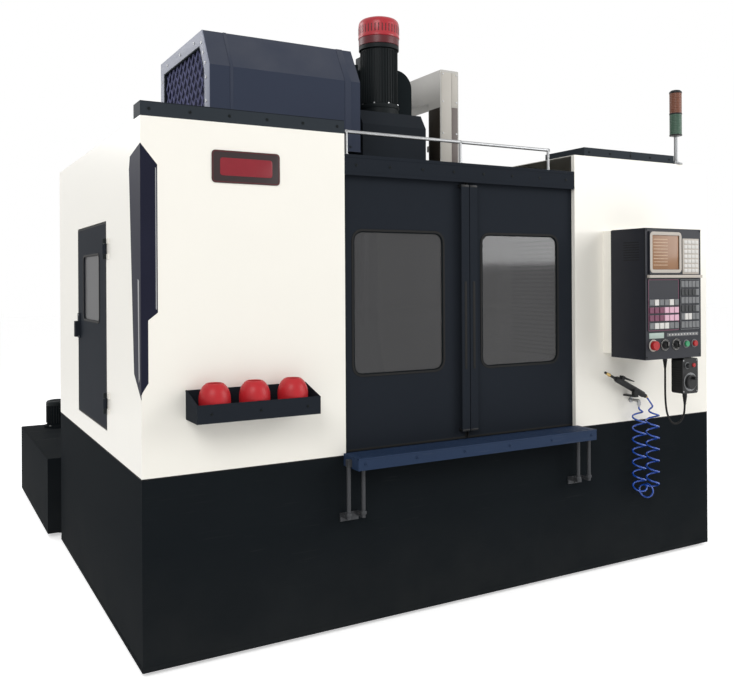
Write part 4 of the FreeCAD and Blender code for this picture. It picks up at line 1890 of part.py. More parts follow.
# ---------------------------------------------------------------- every sub-part, one file each
def build():
    """Write every sub-part of the machine."""
    os.makedirs("parts", exist_ok=True)
    save("base_casting", base_casting())
    save("leveling_feet", *leveling_feet())
    save("column", column())
    save("guide_rails", *y_rails(), *z_rails())
    save(
        "axis_motors",
        servo_motor((0, -BASE_FRONT, SCREW_Z), (0, -1, 0)),
        servo_motor((0, Z_SCREW_Y, COLUMN_TOP), (0, 0, 1)),
    )
    save("skirt", *skirt())
    save("left_cabinet", *left_cabinet())
    save("right_cabinet", *right_cabinet())
    save("door_header", *door_header())
    save("rear_guard", *rear_guard())
    save("roof_covers", *roof_covers())
    save("roof_rail", roof_rail())
    save("sill_shelf", *sill_shelf())
    save("shelf_brackets", *shelf_brackets())
    save("tool_tray", tool_tray())
    save("tool_cups", *tool_cups())
    save("operator_housing", operator_housing())
    save("panel_face", panel_face())
    save("signal_tower", *signal_tower())
    save("magazine_cover", magazine_cover())
    save("magazine_frame", *magazine_frame())
    save("cable_duct", cable_duct())
    save("coolant_tank", *coolant_tank())
    save("electrical_cabinet", *electrical_cabinet())
    save("air_hose", *air_hose())
    save("pendant_cable", cord_tube(CABLE_ROUTE, CABLE_DIAMETER))
    save("air_gun", *air_gun())
    save("pendant_box", *pendant_box())
    for name, side in (("left", -1), ("right", 1)):
        leaf, glass = sliding_door(side)
        save("door_" + name, *leaf)
        save("door_" + name + "_glass", glass)
    leaf, glass = side_door()
    save("side_door", leaf)
    save("side_door_glass", glass)
    save("saddle", *saddle())
    save("table", *table())
    x_end = (X_CHANNEL_END, SPINDLE_Y, X_SCREW_Z)
    save("x_screw", ball_screw((-X_CHANNEL_END, SPINDLE_Y, X_SCREW_Z), x_end, (1, 0, 0)))
    save("y_screw", ball_screw((0, Y_CHANNEL_FRONT, SCREW_Z), (0, Y_CHANNEL_REAR, SCREW_Z), (0, 1, 0)))
    z_low = Z_RAIL_BOTTOM - 20
    z_top = COLUMN_TOP - SCREW_SETBACK
    save("z_screw", ball_screw((0, Z_SCREW_Y, z_low), (0, Z_SCREW_Y, z_top), (0, 0, 1)))
    save("head", *head())
    save("spindle_motor", spindle_motor())
    save("fan_cap", fan_cap())
    save("head_hood", head_hood())
    save("spindle", spindle())
    save("magazine_drum", magazine_drum())
    save("tool_pots", *tool_pots())
    save("loaded_tools", *loaded_tools())
    save("change_pot", change_pot())
    save("arm_sleeve", arm_sleeve())
    save("changer_arm", changer_arm())
    save("e_stop", push_button(E_STOP_X, MUSHROOM_RADIUS, 16.0))
    save("start_button", push_button(START_X, BUTTON_RADIUS, 8.0))
    save("stop_button", push_button(STOP_X, BUTTON_RADIUS, 8.0))
    save("feed_knob", panel_knob(FEED_X))
    save("mode_knob", panel_knob(MODE_X))
    save("handwheel", handwheel())
    save("axis_knob", axis_knob())
    save("gun_trigger", gun_trigger())
    save("cabinet_door", cabinet_door())
    save("main_switch", main_switch())


build()
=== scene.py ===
import sys

import logging
import math
from collections.abc import Callable, Iterable, Sequence
from dataclasses import dataclass, replace
from enum import Enum

import bpy
from mathutils import Matrix, Vector


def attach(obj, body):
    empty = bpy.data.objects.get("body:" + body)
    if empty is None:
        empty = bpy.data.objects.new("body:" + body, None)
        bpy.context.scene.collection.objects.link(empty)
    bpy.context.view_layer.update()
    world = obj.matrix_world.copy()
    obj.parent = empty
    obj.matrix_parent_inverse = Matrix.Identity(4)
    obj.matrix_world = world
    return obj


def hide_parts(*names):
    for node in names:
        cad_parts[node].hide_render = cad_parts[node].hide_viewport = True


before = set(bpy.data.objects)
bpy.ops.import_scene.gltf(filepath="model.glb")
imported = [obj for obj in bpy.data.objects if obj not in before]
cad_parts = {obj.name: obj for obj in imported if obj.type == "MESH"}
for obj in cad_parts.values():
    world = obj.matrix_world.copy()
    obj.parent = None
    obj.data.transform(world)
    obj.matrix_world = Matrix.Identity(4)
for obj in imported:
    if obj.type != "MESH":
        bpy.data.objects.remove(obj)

LOG = logging.getLogger("machining_centre")
Point = tuple[float, float, float]
Pair = tuple[float, float]
Field = tuple[float, float, float, float]
Piece = bpy.types.Object
Tree = bpy.types.NodeTree
Socket = bpy.types.NodeSocket

SMOOTH_ANGLE = math.radians(32)  # edges duller than this are shaded smooth
FACING = 0.9  # least cosine at which a face counts as looking one way
BEVEL_SHARE = 0.45  # most of a block's least side that its edge rounding takes
WELD = 1e-5  # vertices nearer than this become one
PIPE_STEPS = 6  # steps between two control points of a pipe
PIPE_SMOOTH_ANGLE = math.radians(40)
RIM_SHARP = 50.0  # least angle in degrees that is rounded on a rim
WHITE = (1.0, 1.0, 1.0, 1.0)
COAT_ROUGHNESS = 0.12


class Plane(Enum):
    """Plane that a flat outline is drawn in, with the direction it is thickened along."""

    FRONT = "xz"
    SIDE = "yz"
    TOP = "xy"

    def place(self, first: float, second: float, depth: float) -> Vector:
        """Turn an outline's two numbers and its depth into a point."""
        if self is Plane.FRONT:
            return Vector((first, depth, second))
        if self is Plane.SIDE:
            return Vector((depth, first, second))
        return Vector((first, second, depth))


class Axis(Enum):
    """Direction of a turned piece's axis."""

    RIGHT = (1.0, 0.0, 0.0)
    LEFT = (-1.0, 0.0, 0.0)
    BACK = (0.0, 1.0, 0.0)
    FRONT = (0.0, -1.0, 0.0)
    UP = (0.0, 0.0, 1.0)
    DOWN = (0.0, 0.0, -1.0)


# ---------------------------------------------------------------- modelling operators
class Bench:
    """The modelling operators that every sub-assembly uses, each leaving its piece at the origin."""

    @staticmethod
    def clear() -> None:
        """Leave nothing selected, in object mode."""
        if bpy.context.object and bpy.context.object.mode != "OBJECT":
            bpy.ops.object.mode_set(mode="OBJECT")
        bpy.ops.object.select_all(action="DESELECT")

    @staticmethod
    def hold(piece: Piece) -> None:
        """Select one piece alone and make it active."""
        Bench.clear()
        piece.select_set(True)
        bpy.context.view_layer.objects.active = piece

    @staticmethod
    def settle(piece: Piece) -> Piece:
        """Move a piece's place, turn and size into its mesh."""
        Bench.hold(piece)
        bpy.ops.object.transform_apply(location=True, rotation=True, scale=True)
        return piece

    @staticmethod
    def bevel_edges(piece: Piece, width: float, segments: int = 2, sharp: float = 40.0) -> Piece:
        """Round a piece's sharp edges with an applied modifier.

        Args:
            piece: The piece to round.
            width: Width of the rounding in metres.
            segments: Number of segments across it.
            sharp: Least angle in degrees that counts as an edge.

        Returns:
            The same piece.
        """
        Bench.hold(piece)
        modifier = piece.modifiers.new("edge_round", "BEVEL")
        modifier.width = width
        modifier.segments = segments
        modifier.limit_method = "ANGLE"
        modifier.angle_limit = math.radians(sharp)
        modifier.harden_normals = False
        bpy.ops.object.modifier_apply(modifier=modifier.name)
        bpy.ops.object.shade_smooth_by_angle(angle=SMOOTH_ANGLE)
        return piece

    @staticmethod
    def block(name: str, low: Sequence[float], high: Sequence[float], bevel: float = 0.002,
            segments: int = 2) -> Piece:
        """Model a block between two corners and round its edges.

        Args:
            name: The piece's name.
            low: Lowest corner in metres.
            high: Highest corner in metres.
            bevel: Width of the edge rounding.
            segments: Segments across the rounding.

        Returns:
            The finished block.
        """
        Bench.clear()
        first, last = Vector(low), Vector(high)
        bpy.ops.mesh.primitive_cube_add(size=1.0, location=(first + last) / 2)
        piece = bpy.context.object
        piece.name = name
        piece.scale = last - first
        Bench.settle(piece)
        limit = min(last - first) * BEVEL_SHARE
        if bevel > 0:
            Bench.bevel_edges(piece, min(bevel, limit), segments)
        return piece

    @staticmethod
    def pick_faces(piece: Piece, normal: Vector) -> None:
        """Enter edit mode with only the faces that look one way selected."""
        Bench.hold(piece)
        bpy.ops.object.mode_set(mode="EDIT")
        bpy.ops.mesh.select_mode(type="FACE")
        bpy.ops.mesh.select_all(action="DESELECT")
        bpy.ops.object.mode_set(mode="OBJECT")
        for polygon in piece.data.polygons:
            polygon.select = polygon.normal.dot(normal) > FACING
        bpy.ops.object.mode_set(mode="EDIT")

    @staticmethod
    def chain(name: str, points: Sequence[Vector], close: bool) -> Piece:
        """Draw a line of edges by extruding one vertex from point to point.

        Args:
            name: The piece's name.
            points: Points of the line in metres.
            close: Whether the last point is joined to the first and the outline filled.

        Returns:
            The piece, left in edit mode with everything selected.
        """
        Bench.clear()
        bpy.ops.mesh.primitive_plane_add(size=0.01, location=points[0])
        piece = bpy.context.object
        piece.name = name
        bpy.ops.object.transform_apply(location=True)
        bpy.ops.object.mode_set(mode="EDIT")
        bpy.ops.mesh.merge(type="CENTER")
        for before, after in zip(points, points[1:]):
            bpy.ops.mesh.extrude_region_move(TRANSFORM_OT_translate={"value": tuple(after - before)})
        bpy.ops.mesh.select_all(action="SELECT")
        if close:
            bpy.ops.mesh.edge_face_add()
        return piece

    @staticmethod
    def plate(name: str, outline: Sequence[Pair], plane: Plane, start: float, end: float, bevel: float = 0.0,
            segments: int = 2) -> Piece:
        """Model a flat outline and extrude it to a thickness.

        Args:
            name: The piece's name.
            outline: Corners of the outline in its plane.
            plane: The plane it is drawn in.
            start: Where the thickness starts along the plane's normal.
            end: Where it ends.
            bevel: Width of the edge rounding, or 0 for none.
            segments: Segments across the rounding.

        Returns:
            The finished plate.
        """
        points = [plane.place(first, second, start) for first, second in outline]
        piece = Bench.chain(name, points, close=True)
        Bench.thicken(plane, end - start)
        if bevel > 0:
            Bench.bevel_edges(piece, bevel, segments)
        return piece

    @staticmethod
    def thicken(plane: Plane, depth: float) -> None:
        """Extrude the outline in edit mode along its plane's normal and turn its faces outward."""
        bpy.ops.mesh.extrude_region_move(TRANSFORM_OT_translate={"value": tuple(plane.place(0.0, 0.0, depth))})
        bpy.ops.mesh.select_all(action="SELECT")
        bpy.ops.mesh.normals_make_consistent(inside=False)
        bpy.ops.object.mode_set(mode="OBJECT")

    @staticmethod
    def panel(name: str, low: Pair, high: Pair, corner: float, plane: Plane, start: float, end: float,
            bevel: float) -> Piece:
        """Model a rectangular plate whose corners are rounded."""
        return Bench.plate(name, Bench.rounded_outline(low, high, corner), plane, start, end, bevel)

    @staticmethod
    def lathe(name: str, profile: Sequence[Pair], origin: Sequence[float] = (0, 0, 0), axis: Axis = Axis.UP,
            steps: int = 32, bevel: float = 0.0) -> Piece:
        """Spin a profile of radius and height about an axis.

        Args:
            name: The piece's name.
            profile: Radius and height of each corner, in metres, from foot to top.
            origin: Point on the axis at height 0.
            axis: Direction of the axis.
            steps: Number of steps around.
            bevel: Width of the edge rounding, or 0 for none.

        Returns:
            The finished turned piece.
        """
        points = [Vector((radius, 0.0, height)) for radius, height in profile]
        piece = Bench.chain(name, points, close=False)
        bpy.ops.mesh.spin(steps=steps, angle=2 * math.pi, center=(0, 0, 0), axis=(0, 0, 1))
        bpy.ops.mesh.select_all(action="SELECT")
        bpy.ops.mesh.remove_doubles(threshold=WELD)
        bpy.ops.mesh.normals_make_consistent(inside=False)
        bpy.ops.object.mode_set(mode="OBJECT")
        piece.data.transform(Bench.standing(origin, Vector(axis.value)))
        if bevel > 0:
            Bench.bevel_edges(piece, bevel, 2)
        else:
            Bench.hold(piece)
            bpy.ops.object.shade_smooth_by_angle(angle=SMOOTH_ANGLE)
        return piece

    @staticmethod
    def standing(origin: Sequence[float], direction: Vector) -> Matrix:
        """Give the move that stands an upright piece on a point, along a direction."""
        turn = Vector((0, 0, 1)).rotation_difference(direction).to_matrix().to_4x4()
        return Matrix.Translation(Vector(origin)) @ turn

    @staticmethod
    def ribs(count: int, start: float, pitch: float, shape: Sequence[Pair]) -> list[Pair]:
        """Repeat one rib's outline up the profile of a turned piece."""
        return [(radius, start + pitch * index + height) for index in range(count) for radius, height in shape]

    @staticmethod
    def rim(name: str, low: Pair, high: Pair, plane: Plane, start: float, end: float, width: float,
            corner: float = 0.0, bevel: float = 0.001) -> Piece:
        """Model a rectangular frame with rounded corners, such as a gasket.

        Args:
            name: The piece's name.
            low: Lowest corner of its inner opening.
            high: Highest corner of its inner opening.
            plane: The plane it lies in.
            start: Where its thickness starts.
            end: Where it ends.
            width: Width of the frame around the opening.
            corner: Radius of the opening's corners.
            bevel: Width of the edge rounding.

        Returns:
            The finished frame.
        """
        outline = Bench.rounded_outline((low[0] - width, low[1] - width), (high[0] + width, high[1] + width),
            corner + width)
        points = [plane.place(first, second, start) for first, second in outline]
        piece = Bench.chain(name, points, close=True)
        bpy.ops.mesh.inset(thickness=width, use_even_offset=True)
        bpy.ops.mesh.delete(type="FACE")
        bpy.ops.mesh.select_all(action="SELECT")
        Bench.thicken(plane, end - start)
        return Bench.bevel_edges(piece, bevel, 1, RIM_SHARP)

    @staticmethod
    def rounded_outline(low: Pair, high: Pair, radius: float, steps: int = 5) -> list[Pair]:
        """Give the corners of a rectangle whose corners are rounded."""
        if radius <= 0:
            return [(low[0], low[1]), (high[0], low[1]), (high[0], high[1]), (low[0], high[1])]
        outline: list[Pair] = []
        centres = [(high[0] - radius, low[1] + radius, -90.0), (high[0] - radius, high[1] - radius, 0.0),
            (low[0] + radius, high[1] - radius, 90.0), (low[0] + radius, low[1] + radius, 180.0)]
        for first, second, angle in centres:
            for step in range(steps + 1):
                turn = math.radians(angle + 90.0 * step / steps)
                outline.append((first + radius * math.cos(turn), second + radius * math.sin(turn)))
        return outline

    @staticmethod
    def spread(name: str, model: Piece, moves: Iterable[Matrix]) -> Piece:
        """Copy a modelled piece once for each move, use the model up and join the copies."""
        made = []
        for move in moves:
            copy = bpy.data.objects.new(name, model.data.copy())
            copy.data.transform(move)
            bpy.context.scene.collection.objects.link(copy)
            made.append(copy)
        bpy.data.objects.remove(model)
        return Bench.join(name, made)

    @staticmethod
    def copies(name: str, model: Piece, places: Iterable[Sequence[float]]) -> Piece:
        """Copy a piece that is modelled about the origin to several places."""
        return Bench.spread(name, model, [Matrix.Translation(Vector(place)) for place in places])

    @staticmethod
    def around(name: str, model: Piece, centre: Sequence[float], axis: Axis, count: int) -> Piece:
        """Copy a piece that is modelled beside an axis evenly round it."""
        turns = [Matrix.Rotation(2 * math.pi * index / count, 4, Vector(axis.value)) for index in range(count)]
        return Bench.spread(name, model, [Matrix.Translation(Vector(centre)) @ turn for turn in turns])

    @staticmethod
    def lifting_eye(name: str, ring: Pair, height: float, shank: Sequence[Pair]) -> Piece:
        """Model a forged lifting eye: a ring of two radii at a height, over a turned shank."""
        Bench.clear()
        bpy.ops.mesh.primitive_torus_add(major_radius=ring[0], minor_radius=ring[1], major_segments=28,
            minor_segments=10, location=(0, 0, height), rotation=(math.pi / 2, 0, 0))
        return Bench.join(name, [Bench.settle(bpy.context.object), Bench.lathe(f"{name}_shank", shank, steps=24)])

    @staticmethod
    def tube(inner: float, outer: float, low: float, high: float) -> list[Pair]:
        """Give the closed profile of a plain ring for the lathe."""
        return [(inner, low), (outer, low), (outer, high), (inner, high), (inner, low)]

    @staticmethod
    def join(name: str, pieces: Sequence[Piece]) -> Piece:
        """Join several pieces into one under a new name."""
        Bench.clear()
        for piece in pieces:
            piece.select_set(True)
        bpy.context.view_layer.objects.active = pieces[0]
        if len(pieces) > 1:
            bpy.ops.object.join()
        joined = bpy.context.view_layer.objects.active
        joined.name = name
        return joined

    @staticmethod
    def curve(name: str, points: Sequence[Sequence[float]], steps: int, smooth: bool = True) -> Piece:
        """Draw a line with no thickness: a smooth spline or a string of straight runs.

        Args:
            name: The curve's name.
            points: Its control points in metres.
            steps: Steps between two control points where it is smooth.
            smooth: Whether it curves between the points.

        Returns:
            The curve object.
        """
        curve = bpy.data.curves.new(name, "CURVE")
        curve.dimensions = "3D"
        spline = curve.splines.new("NURBS" if smooth else "POLY")
        spline.points.add(len(points) - 1)
        for knot, point in zip(spline.points, points):
            knot.co = (*point, 1.0)
        if smooth:
            spline.order_u = 3
            spline.use_endpoint_u = True
            spline.resolution_u = steps
        piece = bpy.data.objects.new(name, curve)
        bpy.context.scene.collection.objects.link(piece)
        return piece

    @staticmethod
    def pipe(name: str, points: Sequence[Sequence[float]], radius: float, sides: int = 3,
            smooth: bool = True) -> Piece:
        """Model a bent pipe or wire along points, as a mesh.

        Args:
            name: The piece's name.
            points: Control points of its centre line.
            radius: Radius of the pipe.
            sides: Bevel resolution of its section.
            smooth: Whether the line curves between the points.

        Returns:
            The finished pipe.
        """
        Bench.clear()
        piece = Bench.curve(name, points, PIPE_STEPS, smooth)
        piece.data.bevel_depth = radius
        piece.data.bevel_resolution = sides
        piece.data.use_fill_caps = True
        Bench.hold(piece)
        bpy.ops.object.convert(target="MESH")
        piece = bpy.context.object
        bpy.ops.object.shade_smooth_by_angle(angle=PIPE_SMOOTH_ANGLE)
        return piece


# ---------------------------------------------------------------- finishes
def new_material(name: str) -> tuple[bpy.types.Material, Tree, bpy.types.Node]:
    """Make a material and give it with its node tree and its shader."""
    made = bpy.data.materials.new(name)
    made.use_nodes = True
    return made, made.node_tree, next(node for node in made.node_tree.nodes if node.type == "BSDF_PRINCIPLED")


class EffectGroups:
    """The shader groups that several finishes share, each built once by the method of its name."""

    @classmethod
    def shared(cls, name: str) -> Tree:
        """Give a group by its name, built on first use."""
        return bpy.data.node_groups.get(name) or getattr(cls, name)(name)

    @staticmethod
    def start(name: str, inputs: dict[str, object], outputs: Sequence[str]):
        """Make an empty group whose sockets' kinds follow from their values.

        Args:
            name: The group's name.
            inputs: Default value of each input: a colour of four, a vector of three or a number.
            outputs: Name of each output; Colour is a colour and the rest are numbers.

        Returns:
            The group tree with its input and output nodes.
        """
        kinds = {4: "NodeSocketColor", 3: "NodeSocketVector", 1: "NodeSocketFloat"}
        tree = bpy.data.node_groups.new(name, "ShaderNodeTree")
        for label, value in inputs.items():
            kind = kinds[len(value) if isinstance(value, tuple) else 1]
            tree.interface.new_socket(name=label, in_out="INPUT", socket_type=kind).default_value = value
        for label in outputs:
            tree.interface.new_socket(name=label, in_out="OUTPUT", socket_type=kinds[4 if label == "Colour" else 1])
        return tree, tree.nodes.new("NodeGroupInput").outputs, tree.nodes.new("NodeGroupOutput").inputs

    @staticmethod
    def feed(tree: Tree, socket: Socket, value) -> None:
        """Link an input to another node's output, or set its value."""
        if isinstance(value, Socket):
            tree.links.new(value, socket)
        elif value is not None:
            socket.default_value = value

    @classmethod
    def maths(cls, tree: Tree, operation: str, first, second=None, kind: str = "ShaderNodeMath") -> Socket:
        """Add a Math or Vector Math node whose inputs are sockets or values, and give its output."""
        node = tree.nodes.new(kind)
        node.operation = operation
        for socket, value in zip(node.inputs, (first, second)):
            cls.feed(tree, socket, value)
        return node.outputs[0]

    @classmethod
    def vectors(cls, tree: Tree, operation: str, first, second=None) -> Socket:
        """Add a Vector Math node and give its output."""
        return cls.maths(tree, operation, first, second, "ShaderNodeVectorMath")

    @staticmethod
    def parts(tree: Tree, vector: Socket):
        """Split a vector and give its parts by the names X, Y and Z."""
        node = tree.nodes.new("ShaderNodeSeparateXYZ")
        tree.links.new(vector, node.inputs[0])
        return node.outputs

    @classmethod
    def noise(cls, tree: Tree, vector: Socket, scale, detail: float) -> Socket:
        """Add a noise texture on a vector socket and give its value."""
        node = tree.nodes.new("ShaderNodeTexNoise")
        for label, value in (("Vector", vector), ("Scale", scale), ("Detail", detail)):
            cls.feed(tree, node.inputs[label], value)
        return node.outputs["Fac"]

    @classmethod
    def mix(cls, tree: Tree, under, over, factor, blend: str = "MIX") -> Socket:
        """Lay one colour over another through a factor and give the result."""
        node = tree.nodes.new("ShaderNodeMix")
        node.data_type = "RGBA"
        node.blend_type = blend
        for socket, value in zip((node.inputs[6], node.inputs[7], node.inputs["Factor"]), (under, over, factor)):
            cls.feed(tree, socket, value)
        return node.outputs[2]

    @classmethod
    def surface_grain(cls, name: str) -> Tree:
        """Build the group for cloudy colour, uneven gloss and fine surface relief."""
        tree, given, result = cls.start(name, {"Colour": (0.8, 0.8, 0.8, 1), "Mottle": 0.05, "Mottle Scale": 3.0,
            "Roughness": 0.4, "Gloss Spread": 0.1, "Grain Scale": 400.0, "Stretch": (1, 1, 1)},
            ("Colour", "Roughness", "Height"))
        place = tree.nodes.new("ShaderNodeTexCoord").outputs["Object"]
        cloud = cls.noise(tree, place, given["Mottle Scale"], 4.0)
        centred = cls.maths(tree, "SUBTRACT", cloud, 0.5)
        factor = cls.maths(tree, "ADD", cls.maths(tree, "MULTIPLY", centred, given["Mottle"]), 1.0)
        tree.links.new(cls.mix(tree, given["Colour"], factor, 1.0, "MULTIPLY"), result["Colour"])
        fine = cls.noise(tree, cls.vectors(tree, "MULTIPLY", place, given["Stretch"]), given["Grain Scale"], 2.0)
        swing = cls.maths(tree, "ADD", centred, cls.maths(tree, "SUBTRACT", fine, 0.5))
        uneven = cls.maths(tree, "MULTIPLY", swing, given["Gloss Spread"])
        tree.links.new(cls.maths(tree, "ADD", given["Roughness"], uneven), result["Roughness"])
        tree.links.new(fine, result["Height"])
        return tree

    @classmethod
    def dust_and_top_sheen(cls, name: str) -> Tree:
        """Build the group for dust that gathers near the floor and on upward faces; on the magazine cover the
        upward part is a painted highlight on its top faces.
        """
        tree, given, result = cls.start(name, {"Colour": (0.8, 0.8, 0.8, 1), "Dust Colour": (0.4, 0.38, 0.34, 1),
            "Amount": 0.2, "Reach": 0.3}, ("Colour", "Mask"))
        surface = tree.nodes.new("ShaderNodeTexCoord").outputs
        height = cls.parts(tree, surface["Object"])["Z"]
        low = cls.maths(tree, "SUBTRACT", 1.0, cls.maths(tree, "DIVIDE", height, given["Reach"]))
        facing = cls.maths(tree, "MAXIMUM", cls.parts(tree, surface["Normal"])["Z"], 0.0)
        # up-facing faces take the dust colour: real dust, and on the magazine cover a painted highlight
        upward = cls.maths(tree, "MULTIPLY", facing, 0.6)
        patches = cls.noise(tree, surface["Object"], 7.0, 5.0)
        reached = cls.maths(tree, "MAXIMUM", cls.maths(tree, "MAXIMUM", low, 0.0), upward)
        mask = cls.maths(tree, "MULTIPLY", cls.maths(tree, "MULTIPLY", reached, patches), given["Amount"])
        mask = cls.maths(tree, "MINIMUM", mask, 0.9)
        tree.links.new(cls.mix(tree, given["Colour"], given["Dust Colour"], mask), result["Colour"])
        tree.links.new(mask, result["Mask"])
        return tree

    @classmethod
    def rubbed_lines(cls, name: str) -> Tree:
        """Build the group for fine lines rubbed into a surface, lighter than its colour."""
        tree, given, result = cls.start(name, {"Colour": (0.1, 0.1, 0.1, 1), "Rubbed Colour": (0.35, 0.35, 0.34, 1),
            "Amount": 0.1}, ("Colour",))
        place = tree.nodes.new("ShaderNodeTexCoord").outputs["Object"]
        lines = cls.noise(tree, cls.vectors(tree, "MULTIPLY", place, (6.0, 6.0, 160.0)), 1.0, 2.0)
        patches = cls.noise(tree, place, 5.0, 3.0)
        sharp = cls.maths(tree, "MULTIPLY", cls.maths(tree, "SUBTRACT", lines, 0.62), 7.0)
        spread = cls.maths(tree, "MULTIPLY", cls.maths(tree, "SUBTRACT", patches, 0.5), 4.0)
        shown = [cls.maths(tree, "MAXIMUM", part, 0.0) for part in (sharp, spread)]
        mask = cls.maths(tree, "MINIMUM", cls.maths(tree, "MULTIPLY", *shown), 1.0)
        mask = cls.maths(tree, "MULTIPLY", mask, given["Amount"])
        tree.links.new(cls.mix(tree, given["Colour"], given["Rubbed Colour"], mask), result["Colour"])
        return tree

    @classmethod
    def service_cover(cls, name: str) -> Tree:
        """Build the group for a cover's seam and slots, drawn on an upright side sheet."""
        tree, given, result = cls.start(name, {"Colour": (0.8, 0.8, 0.8, 1), "Seam Colour": (0.03, 0.03, 0.03, 1),
            "Middle": (0, 0, 0), "Half": (0, 1, 1), "Slots": 0.0}, ("Colour",))
        place = tree.nodes.new("ShaderNodeTexCoord").outputs["Object"]
        folded = cls.vectors(tree, "ABSOLUTE", cls.vectors(tree, "SUBTRACT", place, given["Middle"]))
        outward = cls.parts(tree, cls.vectors(tree, "SUBTRACT", folded, given["Half"]))
        distance = cls.maths(tree, "MAXIMUM", outward["Y"], outward["Z"])
        seam = cls.maths(tree, "LESS_THAN", cls.maths(tree, "ABSOLUTE", distance), 0.0016)
        inside = cls.maths(tree, "LESS_THAN", distance, -0.055)
        share = cls.maths(tree, "FRACT", cls.maths(tree, "DIVIDE", cls.parts(tree, place)["Z"], 0.026))
        rows = cls.maths(tree, "LESS_THAN", share, 0.3)
        slots = cls.maths(tree, "MULTIPLY", cls.maths(tree, "MULTIPLY", inside, rows), given["Slots"])
        mask = cls.maths(tree, "MULTIPLY", cls.maths(tree, "MAXIMUM", seam, slots), 0.92)
        tree.links.new(cls.mix(tree, given["Colour"], given["Seam Colour"], mask), result["Colour"])
        return tree


@dataclass(frozen=True)
class SheetMark:
    """A service cover drawn in a sheet's finish: its outline seam and its rows of slots."""

    low: Pair
    high: Pair
    slots: float = 0.0


@dataclass(frozen=True)
class Finish:
    """One surface finish, which makes its own material when it is first used."""

    name: str
    colour: Point
    roughness: float
    slot: str
    metallic: float = 0.0
    mottle: float = 0.05
    mottle_scale: float = 3.0
    gloss_spread: float = 0.08
    grain_scale: float = 500.0
    relief: float = 0.04
    relief_depth: float = 0.0003
    stretch: Point = (1.0, 1.0, 1.0)
    # amount of the dust layer; on the magazine cover it is a painted highlight on up-facing faces
    dust: float = 0.0
    dust_reach: float = 0.35
    coat: float = 0.0
    transmission: float = 0.0
    glow: float = 0.0
    specular: float = 0.5
    scratches: float = 0.0
    marks: tuple["SheetMark", ...] = ()

    def material(self) -> bpy.types.Material:
        """Give the finish's material, built on first use."""
        if self.name in bpy.data.materials:
            return bpy.data.materials[self.name]
        made, tree, shader = new_material(self.name)
        for label, value in (("Metallic", self.metallic), ("Coat Weight", self.coat),
                ("Coat Roughness", COAT_ROUGHNESS), ("Transmission Weight", self.transmission),
                ("Specular IOR Level", self.specular)):
            shader.inputs[label].default_value = value
        grain = self.effect(tree, "surface_grain", {"Colour": (*self.colour, 1.0), "Mottle": self.mottle,
            "Mottle Scale": self.mottle_scale, "Roughness": self.roughness, "Gloss Spread": self.gloss_spread,
            "Grain Scale": self.grain_scale, "Stretch": self.stretch}).outputs
        colour = grain["Colour"]
        for name, values in self.layers():
            layer = self.effect(tree, name, values)
            tree.links.new(colour, layer.inputs["Colour"])
            colour = layer.outputs["Colour"]
        tree.links.new(colour, shader.inputs["Base Color"])
        tree.links.new(grain["Roughness"], shader.inputs["Roughness"])
        if self.relief > 0:
            bump = tree.nodes.new("ShaderNodeBump")
            bump.inputs["Strength"].default_value = self.relief
            bump.inputs["Distance"].default_value = self.relief_depth
            tree.links.new(grain["Height"], bump.inputs["Height"])
            tree.links.new(bump.outputs["Normal"], shader.inputs["Normal"])
        if self.glow > 0:
            tree.links.new(colour, shader.inputs["Emission Color"])
            shader.inputs["Emission Strength"].default_value = self.glow
        return made

    @staticmethod
    def effect(tree: Tree, name: str, values: dict[str, object]) -> bpy.types.Node:
        """Add a shared group to a material and set its inputs."""
        node = tree.nodes.new("ShaderNodeGroup")
        node.node_tree = EffectGroups.shared(name)
        for label, value in values.items():
            node.inputs[label].default_value = value
        return node

    def layers(self) -> Iterable[tuple[str, dict[str, object]]]:
        """Give the effects that lie over the finish's own colour, with their values."""
        if self.dust > 0:
            yield "dust_and_top_sheen", {"Amount": self.dust, "Reach": self.dust_reach}
        if self.scratches > 0:
            yield "rubbed_lines", {"Amount": self.scratches}
        for mark in self.marks:
            low, high = Vector(mark.low), Vector(mark.high)
            yield "service_cover", {"Middle": (0.0, *((high + low) / 2)), "Half": (0.0, *((high - low) / 2)),
                "Slots": mark.slots}

    def dress(self, piece: Piece) -> None:
        """Give this finish to a whole piece."""
        piece.data.materials.clear()
        piece.data.materials.append(self.material())


def enamel(name: str, colour: Point, roughness: float, slot: str, **rest: float) -> Finish:
    """Give a sprayed paint, with the orange-peel relief that all of them share."""
    return Finish(name, colour, roughness, slot, relief=0.12, **rest)


def key_plastic(name: str, colour: Point, roughness: float, mottle: float, relief: float) -> Finish:
    """Give the plastic of a group of key caps."""
    return Finish(name, colour, roughness, "control_black", mottle=mottle, mottle_scale=60, relief=relief,
        specular=0.3)


CREAM = enamel("cream_enamel", (0.86, 0.835, 0.765), 0.34, "cream_paint", mottle=0.03, dust=0.1, dust_reach=0.9,
    coat=0.1, specular=0.4)
CREAM_RIGHT = replace(CREAM, name="cream_enamel_covers", marks=(SheetMark((-0.62, 0.8), (0.02, 1.64)),
    SheetMark((0.13, 0.8), (0.64, 1.64), 1.0)))
SOOT = enamel("near_black_enamel", (0.0092, 0.0114, 0.0133), 0.68, "dark_paint", mottle=0.25, dust=0.03,
    dust_reach=0.4, specular=0.006, scratches=0.03)
SLATE = enamel("slate_enamel", (0.0165, 0.0198, 0.0255), 0.58, "slate_paint", mottle=0.15, specular=0.015)
ROOF_GREY = enamel("roof_cover_enamel", (0.029, 0.035, 0.0415), 0.55, "slate_paint", mottle=0.2, dust=0.05,
    specular=0.03)
HOOD_DARK = enamel("hood_enamel", (0.0105, 0.014, 0.0158), 0.58, "slate_paint", mottle=0.2, specular=0.015)
